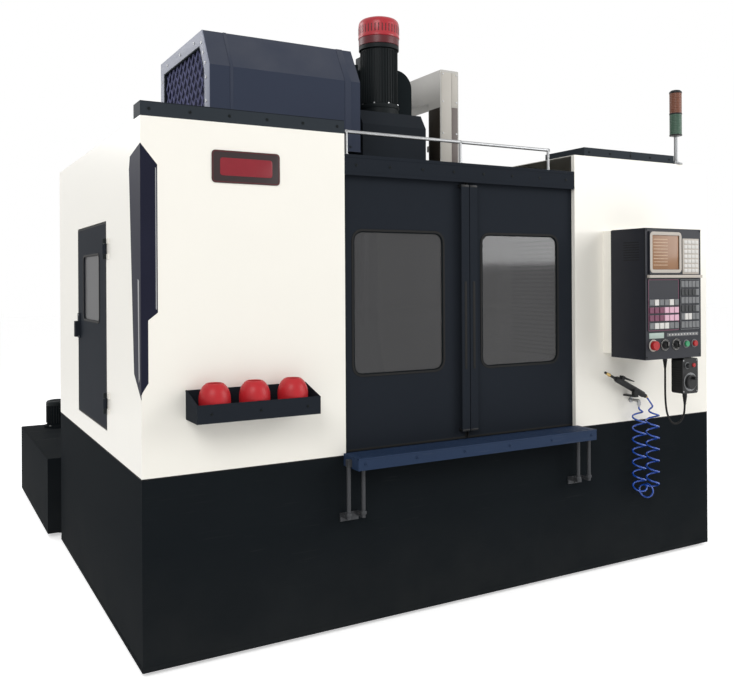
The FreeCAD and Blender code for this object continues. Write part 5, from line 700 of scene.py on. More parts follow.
STEEL_BLUE = enamel("blue_shelf_enamel", (0.018, 0.0325, 0.068), 0.48, "shelf_blue", mottle=0.25, mottle_scale=6,
    specular=0.08, scratches=0.14)
CHARCOAL = enamel("charcoal_enamel", (0.016, 0.0175, 0.0235), 0.42, "charcoal_paint", mottle=0.12, specular=0.22)
# Its dust layer reaches only up-facing faces and paints the upward chamfer lighter: a painted highlight from the
# light above, not dust.
MAGAZINE_GREY = enamel("magazine_grey_enamel", (0.034, 0.042, 0.066), 0.5, "slate_paint", mottle=0.2,
    mottle_scale=2.0, dust=0.3, dust_reach=0.01, specular=0.06)
LIGHT_GREY = Finish("light_grey_enamel", (0.47, 0.46, 0.43), 0.42, "light_grey_paint", mottle=0.06, relief=0.1,
    dust=0.15, specular=0.35)
WARM_BEIGE = enamel("duct_beige_enamel", (0.5, 0.475, 0.43), 0.46, "light_grey_paint", mottle=0.08, specular=0.25)
DUCT_BROWN = enamel("duct_brown_enamel", (0.03, 0.025, 0.02), 0.55, "charcoal_paint", mottle=0.25, mottle_scale=12,
    specular=0.06)
# darker copy of the duct's light paint: painted shade on its front strip and right side
DUCT_PAINTED_SHADE = Finish("duct_painted_shade", (0.16, 0.135, 0.125), 0.48, "light_grey_paint", mottle=0.12, relief=0.1,
    specular=0.3)
LAVENDER = enamel("pale_mouth_enamel", (0.215, 0.23, 0.29), 0.46, "light_grey_paint", mottle=0.25, mottle_scale=9,
    specular=0.15)
GUARD_BLUE = Finish("guard_mesh_enamel", (0.095, 0.1, 0.185), 0.46, "charcoal_paint", mottle=0.9, mottle_scale=14,
    relief=0.1, specular=0.15)
GUARD_SHADE = Finish("guard_shaded_back", (0.02, 0.022, 0.05), 0.6, "charcoal_paint", mottle=0.6, mottle_scale=18,
    relief=0.1, specular=0.05)
CASTING = Finish("painted_casting", (0.42, 0.44, 0.42), 0.55, "casting_paint", mottle=0.12, mottle_scale=9,
    grain_scale=160, relief=0.35, relief_depth=0.0008, dust=0.25)
DARK_CASTING = Finish("dark_painted_casting", (0.017, 0.0205, 0.0255), 0.55, "dark_casting", mottle=0.2,
    mottle_scale=9, grain_scale=160, relief=0.35, relief_depth=0.0008, dust=0.02, specular=0.03)
MACHINED = Finish("machined_iron", (0.33, 0.33, 0.325), 0.34, "machined_iron", metallic=0.9, mottle=0.2,
    mottle_scale=14, grain_scale=90, stretch=(1.0, 14.0, 14.0), relief=0.12, scratches=0.2)
GROUND = Finish("ground_steel", (0.56, 0.56, 0.555), 0.24, "ground_steel", metallic=1.0, mottle=0.1,
    grain_scale=120, stretch=(1.0, 1.0, 9.0), relief=0.08)
ZINC = Finish("zinc_plated_steel", (0.34, 0.345, 0.35), 0.34, "zinc_steel", metallic=1.0, mottle=0.2,
    mottle_scale=30, relief=0.05)
SATIN_STEEL = Finish("satin_steel", (0.24, 0.245, 0.25), 0.36, "zinc_steel", metallic=1.0, mottle=0.15,
    mottle_scale=20, relief=0.05)
GREY_STEEL = Finish("grey_painted_steel", (0.052, 0.054, 0.058), 0.48, "zinc_steel", metallic=0.3, mottle=0.2,
    mottle_scale=20, relief=0.1, specular=0.15)
BLACK_METAL = Finish("black_motor_enamel", (0.01, 0.0128, 0.0138), 0.48, "motor_black", mottle=0.25, relief=0.15,
    specular=0.1)
SATIN_BLACK = Finish("satin_black_plate", (0.03, 0.018, 0.019), 0.32, "panel_dark", mottle=0.1, relief=0.05,
    specular=0.3)
RED_PAINT = Finish("fan_red_enamel", (0.4, 0.016, 0.026), 0.34, "fan_red", mottle=0.1, coat=0.15, relief=0.06,
    specular=0.35)
RED_FILM = Finish("plate_red_film", (0.215, 0.013, 0.022), 0.36, "fan_red", mottle=0.12, mottle_scale=40,
    relief=0.04, specular=0.3)
# dark red of the name plate's rim and the cowl's slots, also used as painted shade on the cap's lower band
DARK_RED_RIM_AND_SHADE = Finish("dark_red_rim_and_shade", (0.11, 0.014, 0.018), 0.36, "fan_red", mottle=0.12, relief=0.04,
    specular=0.3)
CUP_RED = Finish("cup_red_plastic", (0.43, 0.016, 0.022), 0.42, "cup_plastic", mottle=0.25, mottle_scale=16,
    coat=0.06, relief=0.08, specular=0.25)
RED_PLASTIC = Finish("red_moulded_plastic", (0.36, 0.012, 0.014), 0.38, "stop_red", mottle=0.1, coat=0.08,
    relief=0.05, specular=0.3)
GREEN_PLASTIC = Finish("green_plastic", (0.02, 0.25, 0.1), 0.3, "start_green", mottle=0.1, coat=0.2, relief=0.05)
BLACK_PLASTIC = Finish("black_plastic", (0.01, 0.0105, 0.011), 0.44, "control_black", mottle=0.15, relief=0.2,
    specular=0.25)
GREY_PLASTIC = Finish("grey_pot_plastic", (0.06, 0.062, 0.065), 0.5, "pot_plastic", mottle=0.15, relief=0.15)
BEIGE_PLASTIC = Finish("beige_panel_plastic", (0.44, 0.4, 0.355), 0.46, "panel_dark", mottle=0.08, relief=0.15,
    specular=0.3)
PALE_KEY = key_plastic("pale_key_plastic", (0.6, 0.585, 0.56), 0.44, 0.08, 0.08)
GREY_KEY = key_plastic("grey_key_plastic", (0.15, 0.155, 0.16), 0.48, 0.15, 0.12)
DARK_KEY = key_plastic("dark_key_plastic", (0.022, 0.024, 0.026), 0.48, 0.15, 0.12)
ROSE_KEY = key_plastic("rose_key_plastic", (0.62, 0.38, 0.47), 0.44, 0.12, 0.08)
PLUM_KEY = key_plastic("plum_key_plastic", (0.155, 0.045, 0.085), 0.46, 0.15, 0.1)
SCREEN = Finish("lit_screen", (0.25, 0.13, 0.066), 0.24, "panel_dark", mottle=0.45, mottle_scale=11, relief=0.0,
    gloss_spread=0.02, glow=0.06, specular=0.3)
SCREEN_LINE = Finish("screen_rows", (0.42, 0.28, 0.17), 0.3, "panel_dark", mottle=0.9, mottle_scale=120, relief=0.0,
    glow=0.06)
METER_GREEN = Finish("meter_glass", (0.36, 0.44, 0.4), 0.25, "panel_dark", mottle=0.2, mottle_scale=50, relief=0.0,
    specular=0.3)
RED_LENS = Finish("red_lamp_lens", (0.19, 0.08, 0.052), 0.3, "lamp_plastic", mottle=0.12, mottle_scale=12,
    relief=0.03, specular=0.2)
GREEN_LENS = Finish("green_lamp_lens", (0.07, 0.125, 0.09), 0.3, "lamp_plastic", mottle=0.12, mottle_scale=12,
    relief=0.03, specular=0.2)
NAVY_FILM = Finish("corner_band_film", (0.015, 0.016, 0.029), 0.46, "dark_paint", mottle=0.35, mottle_scale=5,
    relief=0.04, specular=0.04)
PALE_FILM = Finish("corner_stripe_film", (0.3, 0.305, 0.31), 0.36, "light_grey_paint", mottle=0.12, mottle_scale=9,
    relief=0.03)
RUBBER = Finish("black_rubber", (0.01, 0.01, 0.01), 0.72, "cable_black", mottle=0.1, relief=0.2, specular=0.2)
TINTED_GLASS = Finish("tinted_window", (0.17, 0.17, 0.18), 0.06, "window_glass", mottle=0.12, relief=0.0,
    gloss_spread=0.02, transmission=0.88, specular=0.1)
SIDE_GLASS = Finish("side_window", (0.06, 0.06, 0.063), 0.3, "window_glass", mottle=0.3, mottle_scale=4, relief=0.0,
    transmission=0.4, specular=0.02)
SIGHT_GLASS = Finish("gauge_glass", (0.55, 0.56, 0.5), 0.12, "window_glass", mottle=0.1, relief=0.0,
    transmission=0.6)
HOSE_BLUE = Finish("blue_polyurethane", (0.012, 0.075, 0.42), 0.26, "hose_blue", mottle=0.12, mottle_scale=30,
    relief=0.0, coat=0.3, transmission=0.15)
HOSE_ORANGE = Finish("nozzle_plastic", (0.6, 0.16, 0.02), 0.36, "pot_plastic", mottle=0.1, relief=0.05)
BRASS = Finish("dull_brass", (0.5, 0.35, 0.14), 0.34, "zinc_steel", metallic=1.0, mottle=0.15, mottle_scale=60,
    relief=0.05)
TOOL_STEEL = Finish("oiled_tool_steel", (0.22, 0.22, 0.215), 0.3, "tool_steel", metallic=1.0, mottle=0.3,
    mottle_scale=40, relief=0.1, scratches=0.15)


class CadDressing:
    """The finish of every node that keeps its CAD shape."""

    finishes: dict[str, Finish] = {"base_casting": CASTING, "leveling_feet": ZINC, "column": CASTING,
        "guide_rails": GROUND, "axis_motors": BLACK_METAL, "skirt": SOOT, "left_cabinet": CREAM,
        "right_cabinet": CREAM_RIGHT, "door_header": SLATE, "rear_guard": CREAM, "roof_covers": ROOF_GREY,
        "roof_rail": ZINC, "sill_shelf": STEEL_BLUE, "shelf_brackets": GREY_STEEL, "tool_tray": SLATE,
        "tool_cups": CUP_RED, "operator_housing": CHARCOAL, "panel_face": CHARCOAL, "signal_tower": BLACK_PLASTIC,
        "magazine_cover": MAGAZINE_GREY, "magazine_frame": CASTING, "cable_duct": LIGHT_GREY, "coolant_tank": SOOT,
        "electrical_cabinet": CREAM, "air_gun": BLACK_PLASTIC, "pendant_box": BLACK_PLASTIC, "door_left": SLATE,
        "door_left_glass": TINTED_GLASS, "door_right": SLATE, "door_right_glass": TINTED_GLASS, "side_door": SLATE,
        "side_door_glass": SIDE_GLASS, "saddle": MACHINED, "table": MACHINED, "x_screw": GROUND, "y_screw": GROUND,
        "z_screw": GROUND, "head": DARK_CASTING, "spindle_motor": BLACK_METAL, "fan_cap": RED_PAINT,
        "head_hood": HOOD_DARK, "spindle": GROUND, "magazine_drum": MACHINED, "tool_pots": GREY_PLASTIC,
        "loaded_tools": TOOL_STEEL, "change_pot": GREY_PLASTIC, "arm_sleeve": GROUND, "changer_arm": MACHINED,
        "e_stop": RED_PLASTIC, "start_button": GREEN_PLASTIC, "stop_button": RED_PLASTIC,
        "feed_knob": BLACK_PLASTIC, "mode_knob": BLACK_PLASTIC, "handwheel": BLACK_PLASTIC,
        "axis_knob": BLACK_PLASTIC, "gun_trigger": BLACK_PLASTIC, "cabinet_door": CREAM,
        "main_switch": BLACK_PLASTIC}

    def dress(self) -> None:
        """Put each finish on its node."""
        for name, finish in self.finishes.items():
            finish.dress(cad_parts[name])


# ---------------------------------------------------------------- studio
@dataclass
class Studio:
    """Camera, lights, backdrop and floor."""

    camera_place: Point = (-2.033, -3.72, 1.328)
    yaw: float = 29.07
    pitch: float = 0.02
    roll: float = -0.31
    lens: float = 40.59
    shift_up: float = -0.0909
    sensor: float = 36.0
    reach: float = 200.0
    world_light: float = 0.52
    floor_size: float = 60.0
    floor_glow: float = 0.5
    floor_grey: float = 0.86
    floor_roughness: float = 0.9
    lamps: tuple[tuple[str, Point, Point, float, float], ...] = (("key_softbox", (-4.6, -5.4, 5.2),
        (0.0, -0.4, 1.0), 3.6, 225.0), ("fill_softbox", (4.8, -4.8, 3.2), (1.0, -0.8, 1.1), 3.6, 175.0),
        ("rear_softbox", (-3.5, 4.5, 4.2), (0.0, 0.3, 1.2), 3.0, 110.0))

    def build(self) -> None:
        """Set the camera, the lights, the world and the floor."""
        scene = bpy.context.scene
        scene.view_settings.view_transform = "Standard"
        self.add_camera(scene)
        self.add_world(scene)
        self.add_floor()
        for lamp in self.lamps:
            self.add_light(*lamp)

    def add_camera(self, scene: bpy.types.Scene) -> None:
        """Put the camera where the photograph was taken from."""
        data = bpy.data.cameras.new("photo_camera")
        data.lens = self.lens
        data.sensor_width = self.sensor
        data.shift_y = self.shift_up
        data.clip_end = self.reach
        camera = bpy.data.objects.new("photo_camera", data)
        camera.location = self.camera_place
        aim = Matrix.Rotation(math.radians(-self.yaw), 4, "Z")
        tilt = Matrix.Rotation(math.radians(90.0 + self.pitch), 4, "X")
        roll = Matrix.Rotation(math.radians(self.roll), 4, "Z")
        camera.matrix_world = Matrix.Translation(self.camera_place) @ aim @ tilt @ roll
        scene.collection.objects.link(camera)
        scene.camera = camera

    def add_world(self, scene: bpy.types.Scene) -> None:
        """Light the scene evenly and show white wherever a ray leaves it."""
        world = bpy.data.worlds.new("studio_world")
        scene.world = world
        world.use_nodes = True
        tree = world.node_tree
        base, seen = tree.nodes["Background"], tree.nodes.new("ShaderNodeBackground")
        for node, strength in ((base, self.world_light), (seen, 1.0)):
            node.inputs["Color"].default_value = WHITE
            node.inputs["Strength"].default_value = strength
        mix = tree.nodes.new("ShaderNodeMixShader")
        tree.links.new(self.seen_rays(tree), mix.inputs[0])
        tree.links.new(base.outputs[0], mix.inputs[1])
        tree.links.new(seen.outputs[0], mix.inputs[2])
        tree.links.new(mix.outputs[0], tree.nodes["World Output"].inputs["Surface"])

    @staticmethod
    def seen_rays(tree: Tree) -> Socket:
        """Give 1 for camera, glossy and transmission rays, and 0 for the rays that only light the scene."""
        path = tree.nodes.new("ShaderNodeLightPath")
        seen = path.outputs["Is Camera Ray"]
        for label in ("Is Glossy Ray", "Is Transmission Ray"):
            seen = EffectGroups.maths(tree, "MAXIMUM", seen, path.outputs[label])
        return seen

    def add_floor(self) -> None:
        """Lay a pale floor that looks white but keeps the machine's shadow."""
        Bench.clear()
        bpy.ops.mesh.primitive_plane_add(size=self.floor_size, location=(0, 0, 0))
        floor = bpy.context.object
        floor.name = "studio_floor"
        material, tree, shader = new_material("studio_floor")
        shader.inputs["Base Color"].default_value = (*[self.floor_grey] * 3, 1.0)
        shader.inputs["Roughness"].default_value = self.floor_roughness
        shader.inputs["Emission Color"].default_value = WHITE
        glow = EffectGroups.maths(tree, "MULTIPLY", self.seen_rays(tree), self.floor_glow)
        tree.links.new(glow, shader.inputs["Emission Strength"])
        floor.data.materials.append(material)

    @staticmethod
    def add_light(name: str, place: Point, aim: Point, size: float, power: float) -> None:
        """Hang one soft lamp that looks at a point."""
        data = bpy.data.lights.new(name, "AREA")
        data.size = size
        data.energy = power
        lamp = bpy.data.objects.new(name, data)
        lamp.location = place
        lamp.rotation_euler = (Vector(aim) - Vector(place)).to_track_quat("-Z", "Y").to_euler()
        bpy.context.scene.collection.objects.link(lamp)


# ---------------------------------------------------------------- shared mounting
def mount(piece: Piece, finish: Finish, body: str = "frame", stands_for: Sequence[str] = ()) -> None:
    """Dress a piece, let it ride on its body and report it.

    Args:
        piece: The finished piece, in its place.
        finish: Its surface finish.
        body: The CAD body it moves with.
        stands_for: CAD nodes that it replaces.
    """
    finish.dress(piece)
    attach(piece, body)
    if stands_for:
        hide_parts(*stands_for)
    LOG.info("made %s on %s", piece.name, body)


# ---------------------------------------------------------------- cords
class Route:
    """A cord's route: a smooth spline through the space round its control points."""

    @staticmethod
    def spline(name: str, points: Sequence[Sequence[float]], resolution: int = 12) -> Piece:
        """Draw a route as a smooth curve with no thickness."""
        route = Bench.curve(name, points, resolution)
        route.data.resolution_u = resolution
        return route

    @staticmethod
    def swell(route: Piece, diameter: float, sides: int) -> None:
        """Give a route its cord's thickness and closed ends."""
        route.data.bevel_depth = diameter / 2
        route.data.bevel_resolution = sides
        route.data.use_fill_caps = True

    @staticmethod
    def read(route: Piece) -> list[Vector]:
        """Read the points that a route's spline passes through."""
        bpy.context.view_layer.update()
        mesh = bpy.data.meshes.new_from_object(route)
        points = [vertex.co.copy() for vertex in mesh.vertices]
        bpy.data.meshes.remove(mesh)
        return points


@dataclass
class PendantCable:
    """The hand pendant's cable: out of the operator box, down and up into the pendant."""

    diameter: float = 0.009
    length: float = 0.445
    route: tuple[Point, ...] = ((0.965, -1.1, 0.955), (0.965, -1.1, 0.893), (0.961, -1.103, 0.83),
        (0.956, -1.109, 0.768), (0.959, -1.116, 0.712), (0.98, -1.124, 0.673), (1.015, -1.134, 0.672),
        (1.035, -1.144, 0.708), (1.035, -1.149, 0.752), (1.035, -1.149, 0.792))

    def build(self) -> None:
        cable = Route.spline("pendant_cord", self.route)
        Route.swell(cable, self.diameter, 4)
        reliefs = [self.relief("pendant_cord_top_relief", self.route[0], Axis.DOWN),
            self.relief("pendant_cord_foot_relief", self.route[-1], Axis.DOWN)]
        mount(cable, RUBBER, stands_for=["pendant_cable"])
        for piece in reliefs:
            mount(piece, RUBBER)

    def relief(self, name: str, place: Point, axis: Axis) -> Piece:
        """Turn a tapered, ribbed strain relief that hangs below a gland."""
        radius = self.diameter / 2
        profile = [(0.0, 0.0), (radius + 0.0045, 0.0)]
        for rib in range(5):
            wall = radius + 0.004 - 0.0006 * rib
            base = 0.004 + 0.0055 * rib
            profile += [(wall, base), (wall, base + 0.0034), (wall - 0.0016, base + 0.0036),
                (wall - 0.0016, base + 0.0052)]
        profile += [(radius + 0.0004, 0.034), (0.0, 0.034)]
        return Bench.lathe(name, profile, place, axis, steps=20)


@dataclass
class OnGunLine:
    """Something that lies in line with the air gun's barrel."""

    tilt: float = 26.0

    @property
    def ahead(self) -> Vector:
        """Give the direction from the gun's tip to its grip."""
        lean = math.radians(self.tilt)
        return Vector((math.cos(lean), 0.0, -math.sin(lean)))


@dataclass
class CurlyHose(OnGunLine):
    """The air gun's curly hose, hanging in a U, with its fittings."""

    diameter: float = 0.008
    length: float = 3.013
    curl_radius: float = 0.029
    curls: int = 16
    points_per_curl: int = 18
    ramp: float = 0.04
    inlet: Point = (0.9645, -0.985, 0.7824)
    port: Point = (0.922, -0.985, 0.746)
    line: tuple[Point, ...] = ((1.01, -0.985, 0.735), (1.01, -0.985, 0.429), (1.01, -0.985, 0.341),
        (0.922, -0.985, 0.341), (0.922, -0.985, 0.429), (0.922, -0.985, 0.735))

    def build(self) -> None:
        guide = Route.spline("hose_line", self.line, resolution=60)
        centre = Route.read(guide)
        bpy.data.objects.remove(guide)
        start = Vector(self.inlet)
        points = [start, start + self.ahead * self.diameter, *self.wound(centre), Vector(self.port)]
        hose = Route.spline("air_line_curly", points, resolution=3)
        Route.swell(hose, self.diameter, 3)
        fittings = [self.gun_fitting(), self.port_elbow()]
        mount(hose, HOSE_BLUE, stands_for=["air_hose"])
        mount(fittings[0], BRASS)
        mount(fittings[1], ZINC)

    def wound(self, centre: Sequence[Vector]) -> list[Vector]:
        """Wind points round a line.

        Args:
            centre: Points of the line, read from its spline.

        Returns:
            Points of the hose, evenly spaced along the line.
        """
        places = [0.0]
        for before, after in zip(centre, centre[1:]):
            places.append(places[-1] + (after - before).length)
        total = places[-1]
        count = self.curls * self.points_per_curl
        across = Vector((0.0, 1.0, 0.0))
        wound = []
        segment = 0
        for step in range(count + 1):
            place = total * step / count
            while segment < len(places) - 2 and places[segment + 1] < place:
                segment += 1
            run = centre[segment + 1] - centre[segment]
            share = (place - places[segment]) / max(places[segment + 1] - places[segment], 1e-9)
            point = centre[segment] + run * share
            side = across.cross(run).normalized() * -1
            swell = min(1.0, max(0.0, min(place, total - place) / self.ramp))
            radius = self.curl_radius * swell * swell * (3 - 2 * swell)
            turn = 2 * math.pi * self.curls * step / count
            wound.append(point + side * (radius * math.cos(turn)) + across * (radius * math.sin(turn)))
        return wound

    def gun_fitting(self) -> Piece:
        """Turn the hose nut on the gun's inlet and tilt it in line with the gun."""
        profile = [(0.0, -0.012), (0.0072, -0.012), (0.0078, -0.01), (0.0078, -0.002), (0.0062, 0.0),
            (0.0058, 0.01), (0.0046, 0.013), (0.0, 0.013)]
        nut = Bench.lathe("hose_gun_nut", profile, steps=24)
        nut.data.transform(Bench.standing(self.inlet, self.ahead))
        return nut

    def port_elbow(self) -> Piece:
        """Model the port's elbow: hose nut, bent pipe and wall flange."""
        x, y, z = self.port
        nut = Bench.lathe("hose_port_elbow", [(0.0, -0.01), (0.0058, -0.01), (0.0066, -0.004), (0.0095, -0.002),
            (0.0095, 0.012), (0.008, 0.014), (0.0, 0.014)], (x, y, z), Axis.UP, steps=6)
        bend = Bench.pipe("hose_port_bend", [(x, y, z + 0.012), (x, y, z + 0.0175), (x, y + 0.006, z + 0.0175),
            (x, y + 0.036, z + 0.0175)], 0.007, 4)
        flange = Bench.lathe("hose_port_flange", [(0.0, 0.0), (0.014, 0.0), (0.014, 0.006), (0.01, 0.009),
            (0.0, 0.009)], (x, -0.935, z + 0.0175), Axis.FRONT, steps=6)
        return Bench.join("hose_port_elbow", [nut, bend, flange])


# ---------------------------------------------------------------- small fasteners
@dataclass
class Screws:
    """Button-head screws, modelled once and copied to their holes."""

    radius: float = 0.006
    height: float = 0.003
    sides: int = 12

    def build(self, name: str, places: Sequence[Sequence[float]], axis: Axis, body: str = "frame",
            finish: Finish = ZINC) -> None:
        """Make one piece that holds a screw at every place.

        Args:
            name: The piece's name.
            places: Where each head sits on its surface.
            axis: Direction that the heads stand up in.
            body: The body that the screws ride on.
            finish: Their finish.
        """
        wide, tall = self.radius, self.height
        profile = [(0.0, 0.0), (wide, 0.0), (wide, 0.45 * tall), (0.82 * wide, 0.92 * tall), (0.45 * wide, tall),
            (0.42 * wide, 0.4 * tall), (0.0, 0.4 * tall)]
        model = Bench.lathe(name, profile, (0, 0, 0), axis, steps=self.sides)
        mount(Bench.copies(name, model, places), finish, body)

    @staticmethod
    def circle(centre: Pair, radius: float, height: float, turns: Sequence[float]) -> list[Point]:
        """Give places on a level circle at the given turns in radians."""
        return [(centre[0] + radius * math.cos(turn), centre[1] + radius * math.sin(turn), height)
            for turn in turns]

    @staticmethod
    def row(start: Point, end: Point, count: int) -> list[Point]:
        """Give evenly spaced places from one point to another."""
        first, last = Vector(start), Vector(end)
        return [tuple(first.lerp(last, index / (count - 1))) for index in range(count)]


# ---------------------------------------------------------------- enclosure
@dataclass
class CabinetSheets:
    """Gaskets, service covers and lifting eyes of the sheet enclosure."""

    front: float = -0.935
    back: float = 0.731
    left: float = -1.35
    right: float = 1.45
    joint: float = 0.663
    roof: float = 1.884
    eye_inset: float = 0.11

    def build(self) -> None:
        """Add the joint strips with their painted shadow line, the rear covers and the lifting eyes."""
        self.joint_and_shadow_strips()
        self.rear_cover("left_service_cover", -1.23, -0.7, 0.86, 1.69)
        self.rear_cover("left_sump_cover", -1.23, -0.86, 0.15, 0.56)
        self.lifting_eyes()

    def joint_and_shadow_strips(self) -> None:
        """Lay the dark gasket between the skirt and the cabinets, which also paints the shadow line under the
        cabinets' lower edge, and the skirt's floor edge.
        """
        # the strips are partly a real joint and partly a painted shadow under the cream cabinets' edge
        low, high = self.joint - 0.0025, self.joint + 0.0015
        strips = [("skirt_joint_shadow_left", (self.left - 0.0008, self.front + 0.004, low),
            (self.left + 0.003, self.back, high)), ("skirt_joint_shadow_front_left", (self.left, self.front - 0.0008, low),
            (-0.5805, self.front + 0.003, high)), ("skirt_joint_shadow_front_right", (0.5805, self.front - 0.0008, low),
            (self.right - 0.001, self.front + 0.003, high))]
        for name, first, last in strips:
            mount(Bench.block(name, first, last, 0.0005, 1), RUBBER)
        mount(Bench.block("skirt_floor_hem", (self.left + 0.0005, self.front - 0.0012, 0.015),
            (self.right - 0.0005, self.front + 0.004, 0.033), 0.0008, 2), SOOT)
        mount(Bench.block("skirt_floor_hem_left", (self.left - 0.0012, self.front, 0.015),
            (self.left + 0.004, self.back, 0.033), 0.0008, 2), SOOT)

    def rear_cover(self, name: str, x0: float, x1: float, z0: float, z1: float) -> None:
        """Hang a louvred service cover on the back sheet.

        Args:
            name: The cover's name.
            x0: Its lower x edge.
            x1: Its upper x edge.
            z0: Its foot.
            z1: Its top.
        """
        finish = CREAM if z0 > self.joint else SOOT
        mount(Bench.panel(name, (x0, z0), (x1, z1), 0.012, Plane.FRONT, self.back, self.back + 0.0025, 0.0008),
            finish)
        blade = Bench.plate(f"{name}_louvre", [(0.0, 0.0), (0.011, 0.004), (0.011, 0.007), (0.0, 0.024)],
            Plane.SIDE, x0 + 0.1, x1 - 0.1, 0.0006, 1)
        rows = [(0.0, self.back + 0.0025, z0 + 0.09 + 0.034 * row) for row in range(7)]
        mount(Bench.copies(f"{name}_louvres", blade, rows), finish)
        inset = 0.018
        places = [(x, self.back + 0.0025, z) for x in (x0 + inset, (x0 + x1) / 2, x1 - inset)
            for z in (z0 + inset, z1 - inset)]
        Screws(0.007).build(f"{name}_screws", places, Axis.BACK)

    def lifting_eyes(self) -> None:
        """Stand a forged lifting eye on the roof near each outer corner."""
        shank = [(0.0, 0.0), (0.019, 0.0), (0.02, 0.002), (0.019, 0.005), (0.012, 0.007), (0.009, 0.014),
            (0.0, 0.014)]
        model = Bench.lifting_eye("lifting_eye", (0.021, 0.006), 0.034, shank)
        places = [(x, y, self.roof) for x in (self.left + self.eye_inset, self.right - self.eye_inset)
            for y in (-0.62, self.back - self.eye_inset)]
        mount(Bench.copies("roof_lifting_eyes", model, places), ZINC)


@dataclass
class NamePlate:
    """The bare plate on the left cabinet: dark surround, satin rim and red field."""

    low: Pair = (-1.103, 1.672)
    high: Pair = (-0.846, 1.787)
    surface: float = -0.935
    corner: float = 0.014
    field_inset: Pair = (0.03, 0.026)

    def build(self) -> None:
        """Add the plate, its rim and its field."""
        mount(Bench.panel("name_plate", self.low, self.high, self.corner, Plane.FRONT, self.surface,
            self.surface - 0.0035, 0.0012), SATIN_BLACK)
        mount(Bench.rim("name_plate_rim", (self.low[0] + 0.005, self.low[1] + 0.005),
            (self.high[0] - 0.005, self.high[1] - 0.005), Plane.FRONT, self.surface - 0.0033, self.surface - 0.0042,
            0.0022, self.corner - 0.005, 0.0003), DARK_RED_RIM_AND_SHADE)
        inner_low = (self.low[0] + self.field_inset[0], self.low[1] + self.field_inset[1])
        inner_high = (self.high[0] - self.field_inset[0], self.high[1] - self.field_inset[1])
        mount(Bench.panel("name_plate_field", inner_low, inner_high, 0.01, Plane.FRONT, self.surface - 0.0033,
            self.surface - 0.0046, 0.0006), RED_FILM)


@dataclass
class CornerBand:
    """The bare two-tone film that wraps the left front corner."""

    side_face: float = -1.35
    front_face: float = -0.935
    film: float = 0.0005
    side_outline: tuple[Pair, ...] = ((-0.935, 0.93), (-0.935, 1.792), (-0.79, 1.764), (-0.776, 1.72),
        (-0.836, 1.01))
    stripe_outline: tuple[Pair, ...] = ((-0.905, 0.985), (-0.916, 1.0), (-0.912, 1.33), (-0.896, 1.336))
    front_outline: tuple[Pair, ...] = ((-1.35, 0.945), (-1.35, 1.792), (-1.293, 1.722), (-1.293, 1.222),
        (-1.326, 1.196), (-1.326, 0.985), (-1.345, 0.956))
    accent_outline: tuple[Pair, ...] = ((-1.3, 1.235), (-1.3, 1.712), (-1.2965, 1.71), (-1.2965, 1.231))

    def build(self) -> None:
        """Lay the films on the two faces."""
        rows = [
            ("corner_band_side", self.side_outline, Plane.SIDE, self.side_face, NAVY_FILM),
            ("corner_band_stripe", self.stripe_outline, Plane.SIDE, self.side_face - self.film, PALE_FILM),
            ("corner_band_front", self.front_outline, Plane.FRONT, self.front_face, NAVY_FILM),
            ("corner_band_accent", self.accent_outline, Plane.FRONT, self.front_face - self.film, PALE_FILM)]
        for name, outline, plane, surface, finish in rows:
            mount(Bench.plate(name, outline, plane, surface + 0.001, surface - self.film), finish)


